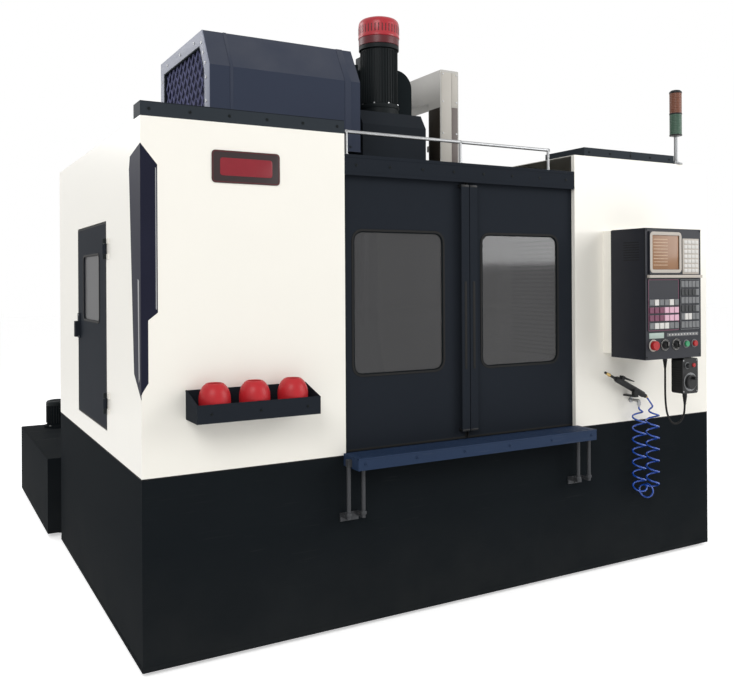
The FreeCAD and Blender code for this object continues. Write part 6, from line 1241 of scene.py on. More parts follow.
# ---------------------------------------------------------------- doors
@dataclass
class DoorTrim:
    """Window frames, seals and pull caps of the two sliding doors."""

    sheet: float = -0.912
    glass_low: float = 0.962
    glass_high: float = 1.517
    corner: float = 0.038
    clamp: float = -0.897
    grip: Pair = (0.96, 1.32)
    pull_half: float = 0.019

    def build(self) -> None:
        """Dress both doors."""
        self.leaf("door_left", (-0.531, -0.117), (-0.604, -0.002), -0.021)
        self.leaf("door_right", (0.081, 0.495), (0.002, 0.604), 0.021)

    def leaf(self, body: str, window: Pair, leaf: Pair, pull: float) -> None:
        """Add one door's small pieces.

        Args:
            body: The door's body.
            window: Lower and upper x of its window.
            leaf: Lower and upper x of the door.
            pull: Middle of its pull in x.
        """
        frame_low, frame_high = (window[0], self.glass_low), (window[1], self.glass_high)
        mount(Bench.rim(f"{body}_window_bead", frame_low, frame_high, Plane.FRONT, self.sheet + 0.001,
            self.sheet - 0.0022, 0.009, self.corner, 0.0008), RUBBER, body)
        mount(Bench.rim(f"{body}_window_reveal", (window[0] + 0.004, self.glass_low + 0.004),
            (window[1] - 0.004, self.glass_high - 0.004), Plane.FRONT, self.sheet + 0.0035, self.sheet - 0.0004,
            0.004, self.corner - 0.004, 0.0004), SOOT, body)
        mount(Bench.rim(f"{body}_glass_clamp", (window[0] - 0.004, self.glass_low - 0.004),
            (window[1] + 0.004, self.glass_high + 0.004), Plane.FRONT, self.clamp - 0.0025, self.clamp, 0.02,
            self.corner, 0.0006), SATIN_STEEL, body)
        places = []
        for z in (self.glass_low - 0.015, self.glass_high + 0.015):
            places += Screws.row((window[0] + 0.03, self.clamp, z), (window[1] - 0.03, self.clamp, z), 5)
        for x in (window[0] - 0.015, window[1] + 0.015):
            places += Screws.row((x, self.clamp, self.glass_low + 0.05), (x, self.clamp, self.glass_high - 0.05), 6)
        Screws(0.005).build(f"{body}_clamp_screws", places, Axis.BACK, body)
        seam = leaf[1] if pull < 0 else leaf[0]
        inward = -1 if pull < 0 else 1
        mount(Bench.block(f"{body}_edge_seal", (min(seam, seam + inward * 0.008), self.sheet - 0.0012, 0.672),
            (max(seam, seam + inward * 0.008), self.sheet + 0.004, 1.742), 0.0012), RUBBER, body)
        mount(Bench.block(f"{body}_sill_wiper", (leaf[0] + 0.004, -0.9125, 0.669), (leaf[1] - 0.004, -0.905, 0.678),
            0.0012), RUBBER, body)
        caps = Bench.block(f"{body}_pull_cap", (-self.pull_half - 0.0004, -0.9385, -0.011),
            (self.pull_half + 0.0004, -0.911, 0.0), 0.0025)
        mount(Bench.copies(f"{body}_pull_caps", caps, [(pull, 0.0, 1.7195), (pull, 0.0, 0.7125)]), BLACK_PLASTIC,
            body)
        mount(Bench.block(f"{body}_pull_grip", (pull - 0.006, -0.9392, self.grip[0]),
            (pull + 0.006, -0.936, self.grip[1]), 0.0014), RUBBER, body)


@dataclass
class HeaderTrim:
    """Screws, drip edge and cap strip of the beam over the doorway."""

    face: float = -0.935
    half: float = 0.5795
    low: float = 1.73
    high: float = 1.807
    screw_line: float = 1.7685

    def build(self) -> None:
        """Add the header's trim."""
        mount(Bench.plate("header_drip_edge", [(self.face - 0.0015, self.low - 0.001),
            (self.face + 0.006, self.low - 0.001), (self.face + 0.006, self.low + 0.01),
            (self.face - 0.0015, self.low + 0.012)], Plane.SIDE, -self.half, self.half, 0.0006, 1), SLATE)
        mount(Bench.block("header_cap_strip", (-self.half, self.face - 0.0012, self.high - 0.012),
            (self.half, self.face + 0.012, self.high + 0.0012), 0.001), SLATE)
        row = Screws.row((-self.half + 0.05, self.face, self.screw_line),
            (self.half - 0.05, self.face, self.screw_line), 8)
        Screws(0.006).build("header_screws", row, Axis.FRONT, finish=BLACK_METAL)


@dataclass
class SideDoorTrim:
    """Window bead, latch and hinge caps of the side service door."""

    face: float = -1.35
    window_low: Pair = (-0.2495, 1.165)
    window_high: Pair = (0.0805, 1.435)
    leaf_low: Pair = (-0.387, 0.745)
    leaf_high: Pair = (0.218, 1.562)
    corner: float = 0.02
    hinge: Pair = (-1.358, -0.396)
    knuckles: Pair = (0.852, 1.455)

    def build(self) -> None:
        """Add the door's trim."""
        mount(Bench.rim("side_door_window_bead", self.window_low, self.window_high, Plane.SIDE, self.face + 0.001,
            self.face - 0.0022, 0.009, self.corner, 0.0008), RUBBER, "side_door")
        mount(Bench.rim("side_door_seal", (self.leaf_low[0] + 0.007, self.leaf_low[1] + 0.007),
            (self.leaf_high[0] - 0.007, self.leaf_high[1] - 0.007), Plane.SIDE, self.face + 0.002,
            self.face - 0.0008, 0.006, 0.004, 0.0005), RUBBER, "side_door")
        self.latch()
        self.hinge_caps()

    def latch(self) -> None:
        """Model the latch's rose and the screws of its plate."""
        mount(Bench.lathe("side_latch_rose", [(0.0, 0.0), (0.012, 0.0), (0.013, 0.001), (0.0125, 0.0026),
            (0.0075, 0.003), (0.007, 0.0022), (0.0, 0.0022)], (-1.356, 0.187, 1.1), Axis.LEFT, 24), ZINC,
            "side_door")
        places = [(-1.356, 0.1725, 1.178), (-1.356, 0.2015, 1.178), (-1.356, 0.1725, 1.082),
            (-1.356, 0.2015, 1.082)]
        Screws(0.0032, 0.0018).build("side_latch_screws", places, Axis.LEFT, "side_door")

    def hinge_caps(self) -> None:
        """Cover each hinge knuckle with a dark cap."""
        x, y = self.hinge
        barrel = Bench.lathe("side_hinge_cap", [(0.0, 0.0), (0.008, 0.0), (0.0084, 0.0006), (0.0084, 0.0196),
            (0.008, 0.02), (0.0, 0.02)], steps=20)
        web = Bench.block("side_hinge_web", (0.0, -0.0084, 0.0), (0.0082, 0.0003, 0.02), 0.0004, 1)
        model = Bench.join("side_hinge_cap", [barrel, web])
        spots = [(x, y, height + shift) for height in self.knuckles for shift in (-0.0402, 0.0203)]
        mount(Bench.copies("side_hinge_caps", model, spots), BLACK_METAL)


# ---------------------------------------------------------------- step shelf and tool tray
@dataclass
class StepShelf:
    """Tread ribs, edge hem and screws of the step shelf."""

    half: float = 0.59
    front: float = -1.053
    top: float = 0.672

    def build(self) -> None:
        """Add the tread, the hem and the screws."""
        rib = Bench.block("shelf_tread_rib", (-self.half + 0.02, -0.003, 0.0), (self.half - 0.02, 0.003, 0.0016),
            0.0007, 2)
        rows = [(0.0, self.front + 0.02 + 0.016 * step, self.top) for step in range(5)]
        mount(Bench.copies("shelf_tread", rib, rows), STEEL_BLUE)
        mount(Bench.pipe("shelf_front_hem", [(-self.half, self.front + 0.002, self.top - 0.0025),
            (self.half, self.front + 0.002, self.top - 0.0025)], 0.0034, 3, smooth=False), STEEL_BLUE)
        row = Screws.row((-self.half + 0.03, self.front, 0.65), (self.half - 0.03, self.front, 0.65), 6)
        Screws(0.0055).build("shelf_screws", row, Axis.FRONT, finish=STEEL_BLUE)


@dataclass
class ToolTray:
    """Rolled hem and screws of the tray, and the three tool cups in it."""

    left: float = -1.199
    right: float = -0.747
    front: float = -1.063
    back: float = -0.935
    front_top: float = 0.915
    back_top: float = 0.953
    screw_line: float = 0.884
    cup_places: tuple[float, ...] = (-1.118, -0.973, -0.828)
    cup_line: float = -1.001
    cup_foot: float = 0.856

    def build(self) -> None:
        """Add the hem, the screws and the cups."""
        inset = 0.002
        mount(Bench.pipe("tray_hem", [(self.left + inset, self.back, self.back_top - inset),
            (self.left + inset, self.front + inset, self.front_top - inset),
            (self.right - inset, self.front + inset, self.front_top - inset),
            (self.right - inset, self.back, self.back_top - inset)], 0.0034, 3, smooth=False), SLATE)
        row = Screws.row((self.left + 0.05, self.front, self.screw_line),
            (self.right - 0.05, self.front, self.screw_line), 3)
        Screws(0.005).build("tray_screws", row, Axis.FRONT, finish=BLACK_METAL)
        mount(self.cups(), CUP_RED, stands_for=["tool_cups"])
        liner = Bench.lathe("cup_liner", [(0.0, 0.052), (0.0244, 0.052), (0.0248, 0.114), (0.0, 0.114)], steps=28)
        places = [(x, self.cup_line, self.cup_foot) for x in self.cup_places]
        mount(Bench.copies("tool_cup_liners", liner, places), BLACK_PLASTIC)

    def cups(self) -> Piece:
        """Turn one domed, ribbed cup and set three of it in the tray."""
        profile = [(0.0, 0.0), (0.046, 0.0), (0.0482, 0.003), (0.05, 0.018), (0.0516, 0.022), (0.0526, 0.027),
            (0.052, 0.032), (0.0536, 0.048), (0.0546, 0.06), (0.0546, 0.072), (0.0534, 0.083), (0.0508, 0.0935),
            (0.047, 0.103), (0.042, 0.111), (0.0362, 0.1175), (0.0312, 0.1218), (0.0284, 0.1236), (0.0264, 0.124),
            (0.0252, 0.1225), (0.0247, 0.118), (0.0245, 0.052), (0.0, 0.052)]
        cup = Bench.lathe("tool_cup", profile, steps=56)
        return Bench.copies("tool_cup_set", cup, [(x, self.cup_line, self.cup_foot) for x in self.cup_places])


# ---------------------------------------------------------------- operator box, pendant and air gun
@dataclass
class OperatorPanel:
    """Screen, key caps, knob scales and button rings on the operator box."""

    left: float = 0.75
    foot: float = 0.975
    face: float = -1.185
    control_height: float = 1.037
    screen: Field = (0.034, 0.202, 0.392, 0.542)
    button_hole: float = 0.0136
    soft_keys: Field = (0.228, 0.334, 0.372, 0.53)
    left_field: Field = (0.012, 0.204, 0.124, 0.35)
    right_field: Field = (0.212, 0.338, 0.124, 0.35)

    def place(self, field: Field) -> tuple[Pair, Pair]:
        """Turn a field's left, right, foot and top into its two corners on the face."""
        return (self.left + field[0], self.foot + field[2]), (self.left + field[1], self.foot + field[3])

    def build(self) -> None:
        """Add everything on the panel's face and the housing's fittings."""
        self.display()
        self.key_field("right_keys", (0.218, 0.134), (0.0235, 0.036), (0.019, 0.027), 5, 6, self.right_finish)
        self.key_field("left_keys", (0.02, 0.134), (0.031, 0.034), (0.025, 0.025), 6, 4, self.left_finish)
        self.soft_key_pad()
        self.controls()
        self.housing()

    def display(self) -> None:
        """Model the lit screen, its beige bezel and the light ledge below."""
        low, high = self.place(self.screen)
        mount(Bench.panel("panel_screen", low, high, 0.003, Plane.FRONT, self.face - 0.0028, self.face - 0.0052,
            0.0006), SCREEN)
        lines = Bench.block("panel_screen_line", (low[0] + 0.01, self.face - 0.0056, 0.0),
            (high[0] - 0.07, self.face - 0.0051, 0.003), 0.0002, 1)
        rows = [(0.0, 0.0, low[1] + 0.018 + 0.014 * step) for step in range(9)]
        mount(Bench.copies("panel_screen_lines", lines, rows), SCREEN_LINE)
        mount(Bench.rim("panel_screen_bezel", low, high, Plane.FRONT, self.face - 0.0078, self.face - 0.0092,
            0.0145, 0.004, 0.0006), BEIGE_PLASTIC)
        mount(Bench.block("panel_ledge_cap", (self.left + 0.0075, self.face - 0.0168, self.foot + 0.3555),
            (self.left + 0.3425, self.face - 0.0005, self.foot + 0.3685), 0.0022, 3), BEIGE_PLASTIC)

    def key_field(self, name: str, start: Pair, pitch: Pair, size: Pair, columns: int, rows: int,
            choose: Callable[[int, int], Finish]) -> None:
        """Copy one key cap over a field, grouped by finish.

        Args:
            name: Name of the key group.
            start: Lower left corner of the first key.
            pitch: Step across and step up.
            size: Width and height of a key.
            columns: Keys across.
            rows: Keys up.
            choose: Function that gives a key's finish from its column and row.
        """
        groups: dict[str, tuple[Finish, list[Point]]] = {}
        for row in range(rows):
            for column in range(columns):
                finish = choose(column, row)
                spot = (self.left + start[0] + column * pitch[0], self.face, self.foot + start[1] + row * pitch[1])
                groups.setdefault(finish.name, (finish, []))[1].append(spot)
        for label, (finish, spots) in groups.items():
            key = self.key_cap(size)
            mount(Bench.copies(f"{name}_{label}", key, spots), finish)

    @staticmethod
    def key_cap(size: Pair) -> Piece:
        """Model one key cap with a dished, slightly smaller top."""
        low = (-0.0004, -0.0062, -0.0004)
        high = (size[0] + 0.0004, -0.0025, size[1] + 0.0004)
        piece = Bench.block("key_cap", low, high, 0.0)
        Bench.pick_faces(piece, Vector((0, -1, 0)))
        bpy.ops.mesh.inset(thickness=0.0022, depth=0.0008)
        bpy.ops.mesh.inset(thickness=0.003, depth=-0.0005)
        bpy.ops.mesh.select_mode(type="VERT")
        bpy.ops.object.mode_set(mode="OBJECT")
        return Bench.bevel_edges(piece, 0.0005, 1, 30.0)

    @staticmethod
    def right_finish(column: int, row: int) -> Finish:
        """Give the finish of a key on the right field."""
        if row in (2, 4) and column in (0, 1, 2, 3):
            return DARK_KEY
        if row == 1 and column in (1, 2):
            return PALE_KEY
        return GREY_KEY

    @staticmethod
    def left_finish(column: int, row: int) -> Finish:
        """Give the finish of a key on the left field."""
        if row in (1, 2) and column >= 3:
            return ROSE_KEY
        if (row == 0 and column in (1, 2, 3)) or (row == 3 and column in (1, 4)):
            return PALE_KEY
        return PLUM_KEY if row in (1, 2) else GREY_KEY

    def soft_key_pad(self) -> None:
        """Model the pale soft-key column beside the screen."""
        low, high = self.place(self.soft_keys)
        mount(Bench.panel("panel_soft_pad", low, high, 0.004, Plane.FRONT, self.face - 0.0028, self.face - 0.0042,
            0.0006), BEIGE_PLASTIC)
        key = Bench.block("soft_key", (0.0, -0.0066, 0.0), (0.021, -0.004, 0.015), 0.0012, 2)
        spots = [(low[0] + 0.0085 + 0.0235 * column, self.face, low[1] + 0.008 + 0.0212 * row)
            for column in range(4) for row in range(7)]
        mount(Bench.copies("panel_soft_keys", key, spots), PALE_KEY)
        mount(Bench.rim("panel_left_field_edge", *self.inner(self.left_field), Plane.FRONT, self.face - 0.0028,
            self.face - 0.0036, 0.003, 0.003, 0.0003), PLUM_KEY)
        mount(Bench.rim("panel_right_field_edge", *self.inner(self.right_field), Plane.FRONT, self.face - 0.0028,
            self.face - 0.0036, 0.002, 0.003, 0.0003), GREY_KEY)

    def inner(self, field: Field) -> tuple[Pair, Pair]:
        """Give a field's corners moved in by the width of its edge."""
        low, high = self.place(field)
        return (low[0] + 0.004, low[1] + 0.004), (high[0] - 0.004, high[1] - 0.004)

    def controls(self) -> None:
        """Model the scales, the button rings and the small display in the control row."""
        height = self.control_height
        for name, x in (("feed", 0.868), ("mode", 0.938)):
            mount(Bench.lathe(f"{name}_scale", [(0.0085, 0.0), (0.0285, 0.0), (0.029, 0.0004), (0.0285, 0.0014),
                (0.018, 0.0014), (0.0175, 0.0024), (0.0085, 0.0024), (0.0085, 0.0)],
                (x, self.face - 0.0002, height), Axis.FRONT, 48), BLACK_PLASTIC)
            tick = Bench.block("scale_tick", (-0.0005, -0.0018, 0.0195), (0.0005, -0.0014, 0.026), 0.0, 1)
            mount(Bench.around(f"{name}_scale_ticks", tick, (x, self.face, height), Axis.FRONT, 24), PALE_KEY)
            mount(Bench.block(f"{name}_pointer", (x - 0.0008, self.face - 0.0215, height - 0.002),
                (x + 0.0008, self.face - 0.0205, height + 0.0145), 0.0003, 1), PALE_KEY, f"{name}_knob")
        for name, x, hole, radius in (("e_stop", 0.795, 0.0206, 0.0262), ("start", 1.002, self.button_hole, 0.0185),
                ("stop", 1.055, self.button_hole, 0.0185)):
            mount(Bench.lathe(f"{name}_ring", [(hole, 0.0), (radius, 0.0), (radius, 0.0018),
                (radius - 0.0012, 0.003), (hole + 0.0012, 0.0034), (hole, 0.0026), (hole, 0.0)],
                (x, self.face - 0.0002, height), Axis.FRONT, 40), GREY_KEY if name != "e_stop" else BEIGE_PLASTIC)
        mount(Bench.block("panel_meter", (self.left + 0.02, self.face - 0.0022, self.foot + 0.092),
            (self.left + 0.11, self.face + 0.0008, self.foot + 0.116), 0.001, 2), METER_GREEN)
        mount(Bench.block("panel_status_strip", (self.left + 0.13, self.face - 0.0014, self.foot + 0.098),
            (self.left + 0.33, self.face + 0.0008, self.foot + 0.112), 0.0006, 2), GREY_KEY)
        lamp = Bench.lathe("panel_lamp", [(0.0, 0.0), (0.0035, 0.0), (0.0035, 0.0012), (0.0022, 0.0026),
            (0.0, 0.003)], (0, 0, 0), Axis.FRONT, 14)
        spots = [(self.left + 0.145 + 0.019 * index, self.face - 0.0014, self.foot + 0.105) for index in range(10)]
        mount(Bench.copies("panel_lamps", lamp, spots), PALE_KEY)

    def housing(self) -> None:
        """Add the housing's seam, corner screws, side vents and top hood."""
        x0, x1 = self.left, self.left + 0.35
        z0, z1 = self.foot, self.foot + 0.57
        mount(Bench.rim("panel_face_seam", (x0 + 0.0012, z0 + 0.0012), (x1 - 0.0012, z1 - 0.0012), Plane.FRONT,
            -1.1805, -1.1775, 0.0016, 0.0, 0.0003), RUBBER)
        corners = [(x, self.face, z) for x in (x0 + 0.0065, x1 - 0.0065) for z in (z0 + 0.012, z1 - 0.0065)]
        Screws(0.0038, 0.0018).build("panel_corner_screws", corners, Axis.FRONT, finish=BLACK_METAL)
        slot = Bench.block("housing_vent", (x0 - 0.0006, -1.15, 0.0), (x0 + 0.001, -1.06, 0.0035), 0.0006, 1)
        mount(Bench.copies("housing_vents", slot, [(0.0, 0.0, z1 - 0.06 - 0.011 * row) for row in range(8)]),
            RUBBER)
        mount(Bench.block("housing_top_lip", (x0 - 0.0012, -1.1865, z1 - 0.0015), (x1 + 0.0012, -0.99, z1 + 0.0022),
            0.0018, 2), CHARCOAL)


@dataclass
class PendantTrim:
    """Dial ring, ticks, screws and side grips of the hand pendant."""

    centre: float = 1.035
    front: float = -1.18
    foot: float = 0.812
    top: float = 0.97
    wheel_height: float = 0.864
    knob: Pair = (1.015, 0.938)

    def build(self) -> None:
        """Add the pendant's trim."""
        mount(Bench.lathe("pendant_dial", [(0.012, 0.0), (0.041, 0.0), (0.0415, 0.0006), (0.0405, 0.0016),
            (0.012, 0.0016), (0.012, 0.0)], (self.centre, self.front, self.wheel_height), Axis.FRONT, 56),
            SATIN_STEEL)
        tick = Bench.block("dial_tick", (-0.00035, -0.0019, 0.0355), (0.00035, -0.0015, 0.04), 0.0, 1)
        mount(Bench.around("pendant_dial_ticks", tick, (self.centre, self.front, self.wheel_height), Axis.FRONT,
            50), BLACK_PLASTIC)
        mount(Bench.lathe("pendant_axis_scale", Bench.tube(0.006, 0.015, 0.0, 0.0012),
            (self.knob[0], self.front, self.knob[1]), Axis.FRONT, 28), GREY_KEY)
        mount(Bench.lathe("pendant_step_button", [(0.0, 0.0), (0.0095, 0.0), (0.0095, 0.003), (0.0075, 0.0055),
            (0.0, 0.006)], (1.057, self.front, self.knob[1]), Axis.FRONT, 24), RED_PLASTIC)
        places = [(x, self.front, z) for x in (self.centre - 0.043, self.centre + 0.043)
            for z in (self.foot + 0.01, self.top - 0.01)]
        Screws(0.0032, 0.0016).build("pendant_screws", places, Axis.FRONT, finish=ZINC)
        rib = Bench.block("pendant_grip_rib", (-0.0008, -1.172, 0.0), (0.0008, -1.128, 0.0035), 0.0005, 1)
        spots = [(x, 0.0, 0.845 + 0.01 * row) for x in (0.985, 1.085) for row in range(9)]
        mount(Bench.copies("pendant_grip_ribs", rib, spots), RUBBER)


@dataclass
class AirGunTrim(OnGunLine):
    """Brass nozzle, collars and grip ribs of the air gun."""

    tip: Point = (0.711, -0.985, 0.906)

    def build(self) -> None:
        """Turn the gun's rings in line with its barrel."""
        seat = Bench.standing(self.tip, self.ahead)
        nozzle = Bench.lathe("air_gun_nozzle", [(0.0022, 0.001), (0.003, 0.0), (0.0062, 0.006), (0.0066, 0.02),
            (0.008, 0.022), (0.008, 0.03), (0.0064, 0.032), (0.0022, 0.032), (0.0022, 0.001)], steps=24)
        nozzle.data.transform(seat)
        mount(nozzle, BRASS)
        rings = []
        for start in (0.2, 0.212, 0.224, 0.236):
            rings.append(Bench.lathe("gun_ring", [(0.013, start), (0.0142, start), (0.0147, start + 0.003),
                (0.0142, start + 0.006), (0.013, start + 0.006), (0.013, start)], steps=28))
        rings.append(Bench.lathe("gun_collar", [(0.006, 0.07), (0.01, 0.07), (0.0138, 0.078), (0.0142, 0.084),
            (0.006, 0.084), (0.006, 0.07)], steps=28))
        ribbed = Bench.join("air_gun_rings", rings)
        ribbed.data.transform(seat)
        mount(ribbed, BLACK_PLASTIC)


# ---------------------------------------------------------------- roof: tower, magazine, spindle drive, duct
@dataclass
class SignalTower:
    """Signal tower with ribbed lenses, pole, base and cap."""

    centre: Pair = (1.26, -0.915)
    roof: float = 1.884

    def build(self) -> None:
        """Model the tower's parts in the place of the plain one."""
        x, y = self.centre
        z = self.roof
        mount(Bench.lathe("tower_base", [(0.0, 0.0), (0.0295, 0.0), (0.03, 0.001), (0.03, 0.006), (0.0285, 0.0078),
            (0.014, 0.0085), (0.012, 0.018), (0.0088, 0.02), (0.0086, 0.136), (0.017, 0.1375), (0.0245, 0.143),
            (0.0, 0.143)], (x, y, z), Axis.UP, 32), SATIN_STEEL, stands_for=["signal_tower"])
        mount(self.lens("tower_lens_green", z + 0.144), GREEN_LENS)
        mount(self.lens("tower_lens_red", z + 0.248), RED_LENS)
        collar = [(0.0, 0.0), (0.0292, 0.0), (0.03, 0.0012), (0.03, 0.0046), (0.029, 0.006), (0.0, 0.006)]
        ring = Bench.lathe("tower_collar", collar, steps=40)
        mount(Bench.copies("tower_collars", ring, [(x, y, z + 0.141), (x, y, z + 0.245)]), BLACK_PLASTIC)
        mount(Bench.lathe("tower_cap", [(0.0, 0.0), (0.0296, 0.0), (0.03, 0.001), (0.03, 0.004), (0.028, 0.009),
            (0.022, 0.014), (0.012, 0.0165), (0.0, 0.0172)], (x, y, z + 0.3485), Axis.UP, 40), BLACK_PLASTIC)
        places = Screws.circle(self.centre, 0.022, z + 0.008, (0.5, 2.6, 4.7))
        Screws(0.0035, 0.002).build("tower_base_screws", places, Axis.UP)

    def lens(self, name: str, foot: float) -> Piece:
        """Turn one lens with finely ringed walls."""
        rings = Bench.ribs(12, 0.002, 0.0082, ((0.0275, 0.0), (0.0288, 0.0016), (0.0288, 0.0066), (0.0275, 0.008)))
        profile = [(0.0, 0.0), (0.0275, 0.0), *rings, (0.0275, 0.1008), (0.0, 0.1008)]
        return Bench.lathe(name, profile, (self.centre[0], self.centre[1], foot), Axis.UP, 36)


@dataclass
class MagazineCoverTrim:
    """Pale mouth frame, mesh guard, seams and bolts of the magazine cover."""

    front: float = -0.55
    rear: float = 0.155
    roof: float = 1.884
    top: float = 2.347
    chamfer_depth: float = 0.086
    chamfer_height: float = 0.157
    left: float = -0.98
    right: float = -0.3
    band: float = 0.06
    mesh_pitch: float = 0.046

    def outline(self, inset: float, foot: float) -> list[Pair]:
        """Give the cover's end outline moved in by an inset, down to a foot height."""
        lean = inset * 0.55
        return [(self.front + inset, foot), (self.front + inset, self.top - self.chamfer_height - lean * 0.4),
            (self.front + self.chamfer_depth + lean, self.top - inset), (self.rear - inset, self.top - inset),
            (self.rear - inset, foot)]

    def build(self) -> None:
        """Add the mouth frame, the guard, the seams and the bolts."""
        self.mouth_frame()
        self.mesh_guard()
        self.seams()

    def mouth_frame(self) -> None:
        """Model the pale frame round the cover's open end as one folded band."""
        outer = self.outline(-0.001, self.roof + 0.002)
        inner = self.outline(self.band, self.roof + 0.002)
        mount(Bench.plate("magazine_mouth_frame", [*outer, *reversed(inner)], Plane.SIDE, self.left - 0.0035,
            self.left + 0.0005, 0.0012), LAVENDER)
        rebate = self.outline(self.band - 0.002, self.roof + 0.002)
        inside = self.outline(self.band + 0.004, self.roof + 0.002)
        mount(Bench.plate("magazine_mouth_edge", [*rebate, *reversed(inside)], Plane.SIDE, self.left - 0.0045,
            self.left + 0.006, 0.001), SLATE)
        places = []
        middle = self.outline(self.band / 2, self.roof + 0.03)
        for start, end in zip(middle, middle[1:]):
            for share in (0.15, 0.5, 0.85):
                places.append((self.left - 0.0035, start[0] + (end[0] - start[0]) * share,
                    start[1] + (end[1] - start[1]) * share))
        Screws(0.0065).build("magazine_mouth_screws", places, Axis.LEFT)

    def mesh_guard(self) -> None:
        """Weave the guard from two sets of slanting strands cut to the mouth, before a dark sheet of painted shade
        inside the cover.
        """
        shape = [Vector(corner) for corner in self.outline(self.band - 0.012, self.roof + 0.004)]
        strands = []
        depth = self.left + 0.01
        for lean in (1.0, -1.0):
            direction = Vector((1.0, 1.25 * lean)).normalized()
            normal = Vector((-direction.y, direction.x))
            reach = [normal.dot(corner) for corner in shape]
            count = int((max(reach) - min(reach)) / self.mesh_pitch)
            for index in range(1, count + 1):
                offset = min(reach) + self.mesh_pitch * index - self.mesh_pitch / 2
                ends = self.clip(shape, normal, offset)
                if len(ends) == 2 and (ends[0] - ends[1]).length > 0.02:
                    points = [(depth + 0.002 * lean, end.x, end.y) for end in ends]
                    strands.append(Bench.pipe("guard_strand", points, 0.0042, 0, smooth=False))
        mount(Bench.join("magazine_mesh_guard", strands), GUARD_BLUE)
        mount(Bench.plate("magazine_guard_shade_sheet", [tuple(corner) for corner in shape], Plane.SIDE, depth + 0.01,
            depth + 0.012, 0.0), GUARD_SHADE)

    @staticmethod
    def clip(shape: Sequence[Vector], normal: Vector, offset: float) -> list[Vector]:
        """Cut a line by a convex outline.

        Args:
            shape: The outline's corners.
            normal: The line's normal.
            offset: The line's distance along its normal.

        Returns:
            The points where the line crosses the outline.
        """
        found = []
        for start, end in zip(shape, [*shape[1:], shape[0]]):
            before, after = normal.dot(start) - offset, normal.dot(end) - offset
            if before * after < 0:
                found.append(start + (end - start) * (before / (before - after)))
        return found

    def seams(self) -> None:
        """Lay the cover's joint straps and their bolts over its roof and front."""
        outer = self.outline(-0.0016, self.roof + 0.001)
        inner = self.outline(0.001, self.roof + 0.001)
        for name, x, width in (("magazine_strap_left", self.left + 0.085, 0.014),
                ("magazine_strap_right", self.right - 0.075, 0.03)):
            mount(Bench.plate(name, [*outer, *reversed(inner)], Plane.SIDE, x, x + width, 0.0005, 1), MAGAZINE_GREY)
        mount(Bench.block("magazine_foot_flange", (self.left + 0.002, self.front - 0.01, self.roof),
            (self.right - 0.002, self.front + 0.002, self.roof + 0.003), 0.0008, 2), MAGAZINE_GREY)
        row = Screws.row((self.left + 0.05, self.front, self.roof + 0.022),
            (self.right - 0.05, self.front, self.roof + 0.022), 7)
        Screws(0.006).build("magazine_front_screws", row, Axis.FRONT, finish=BLACK_METAL)


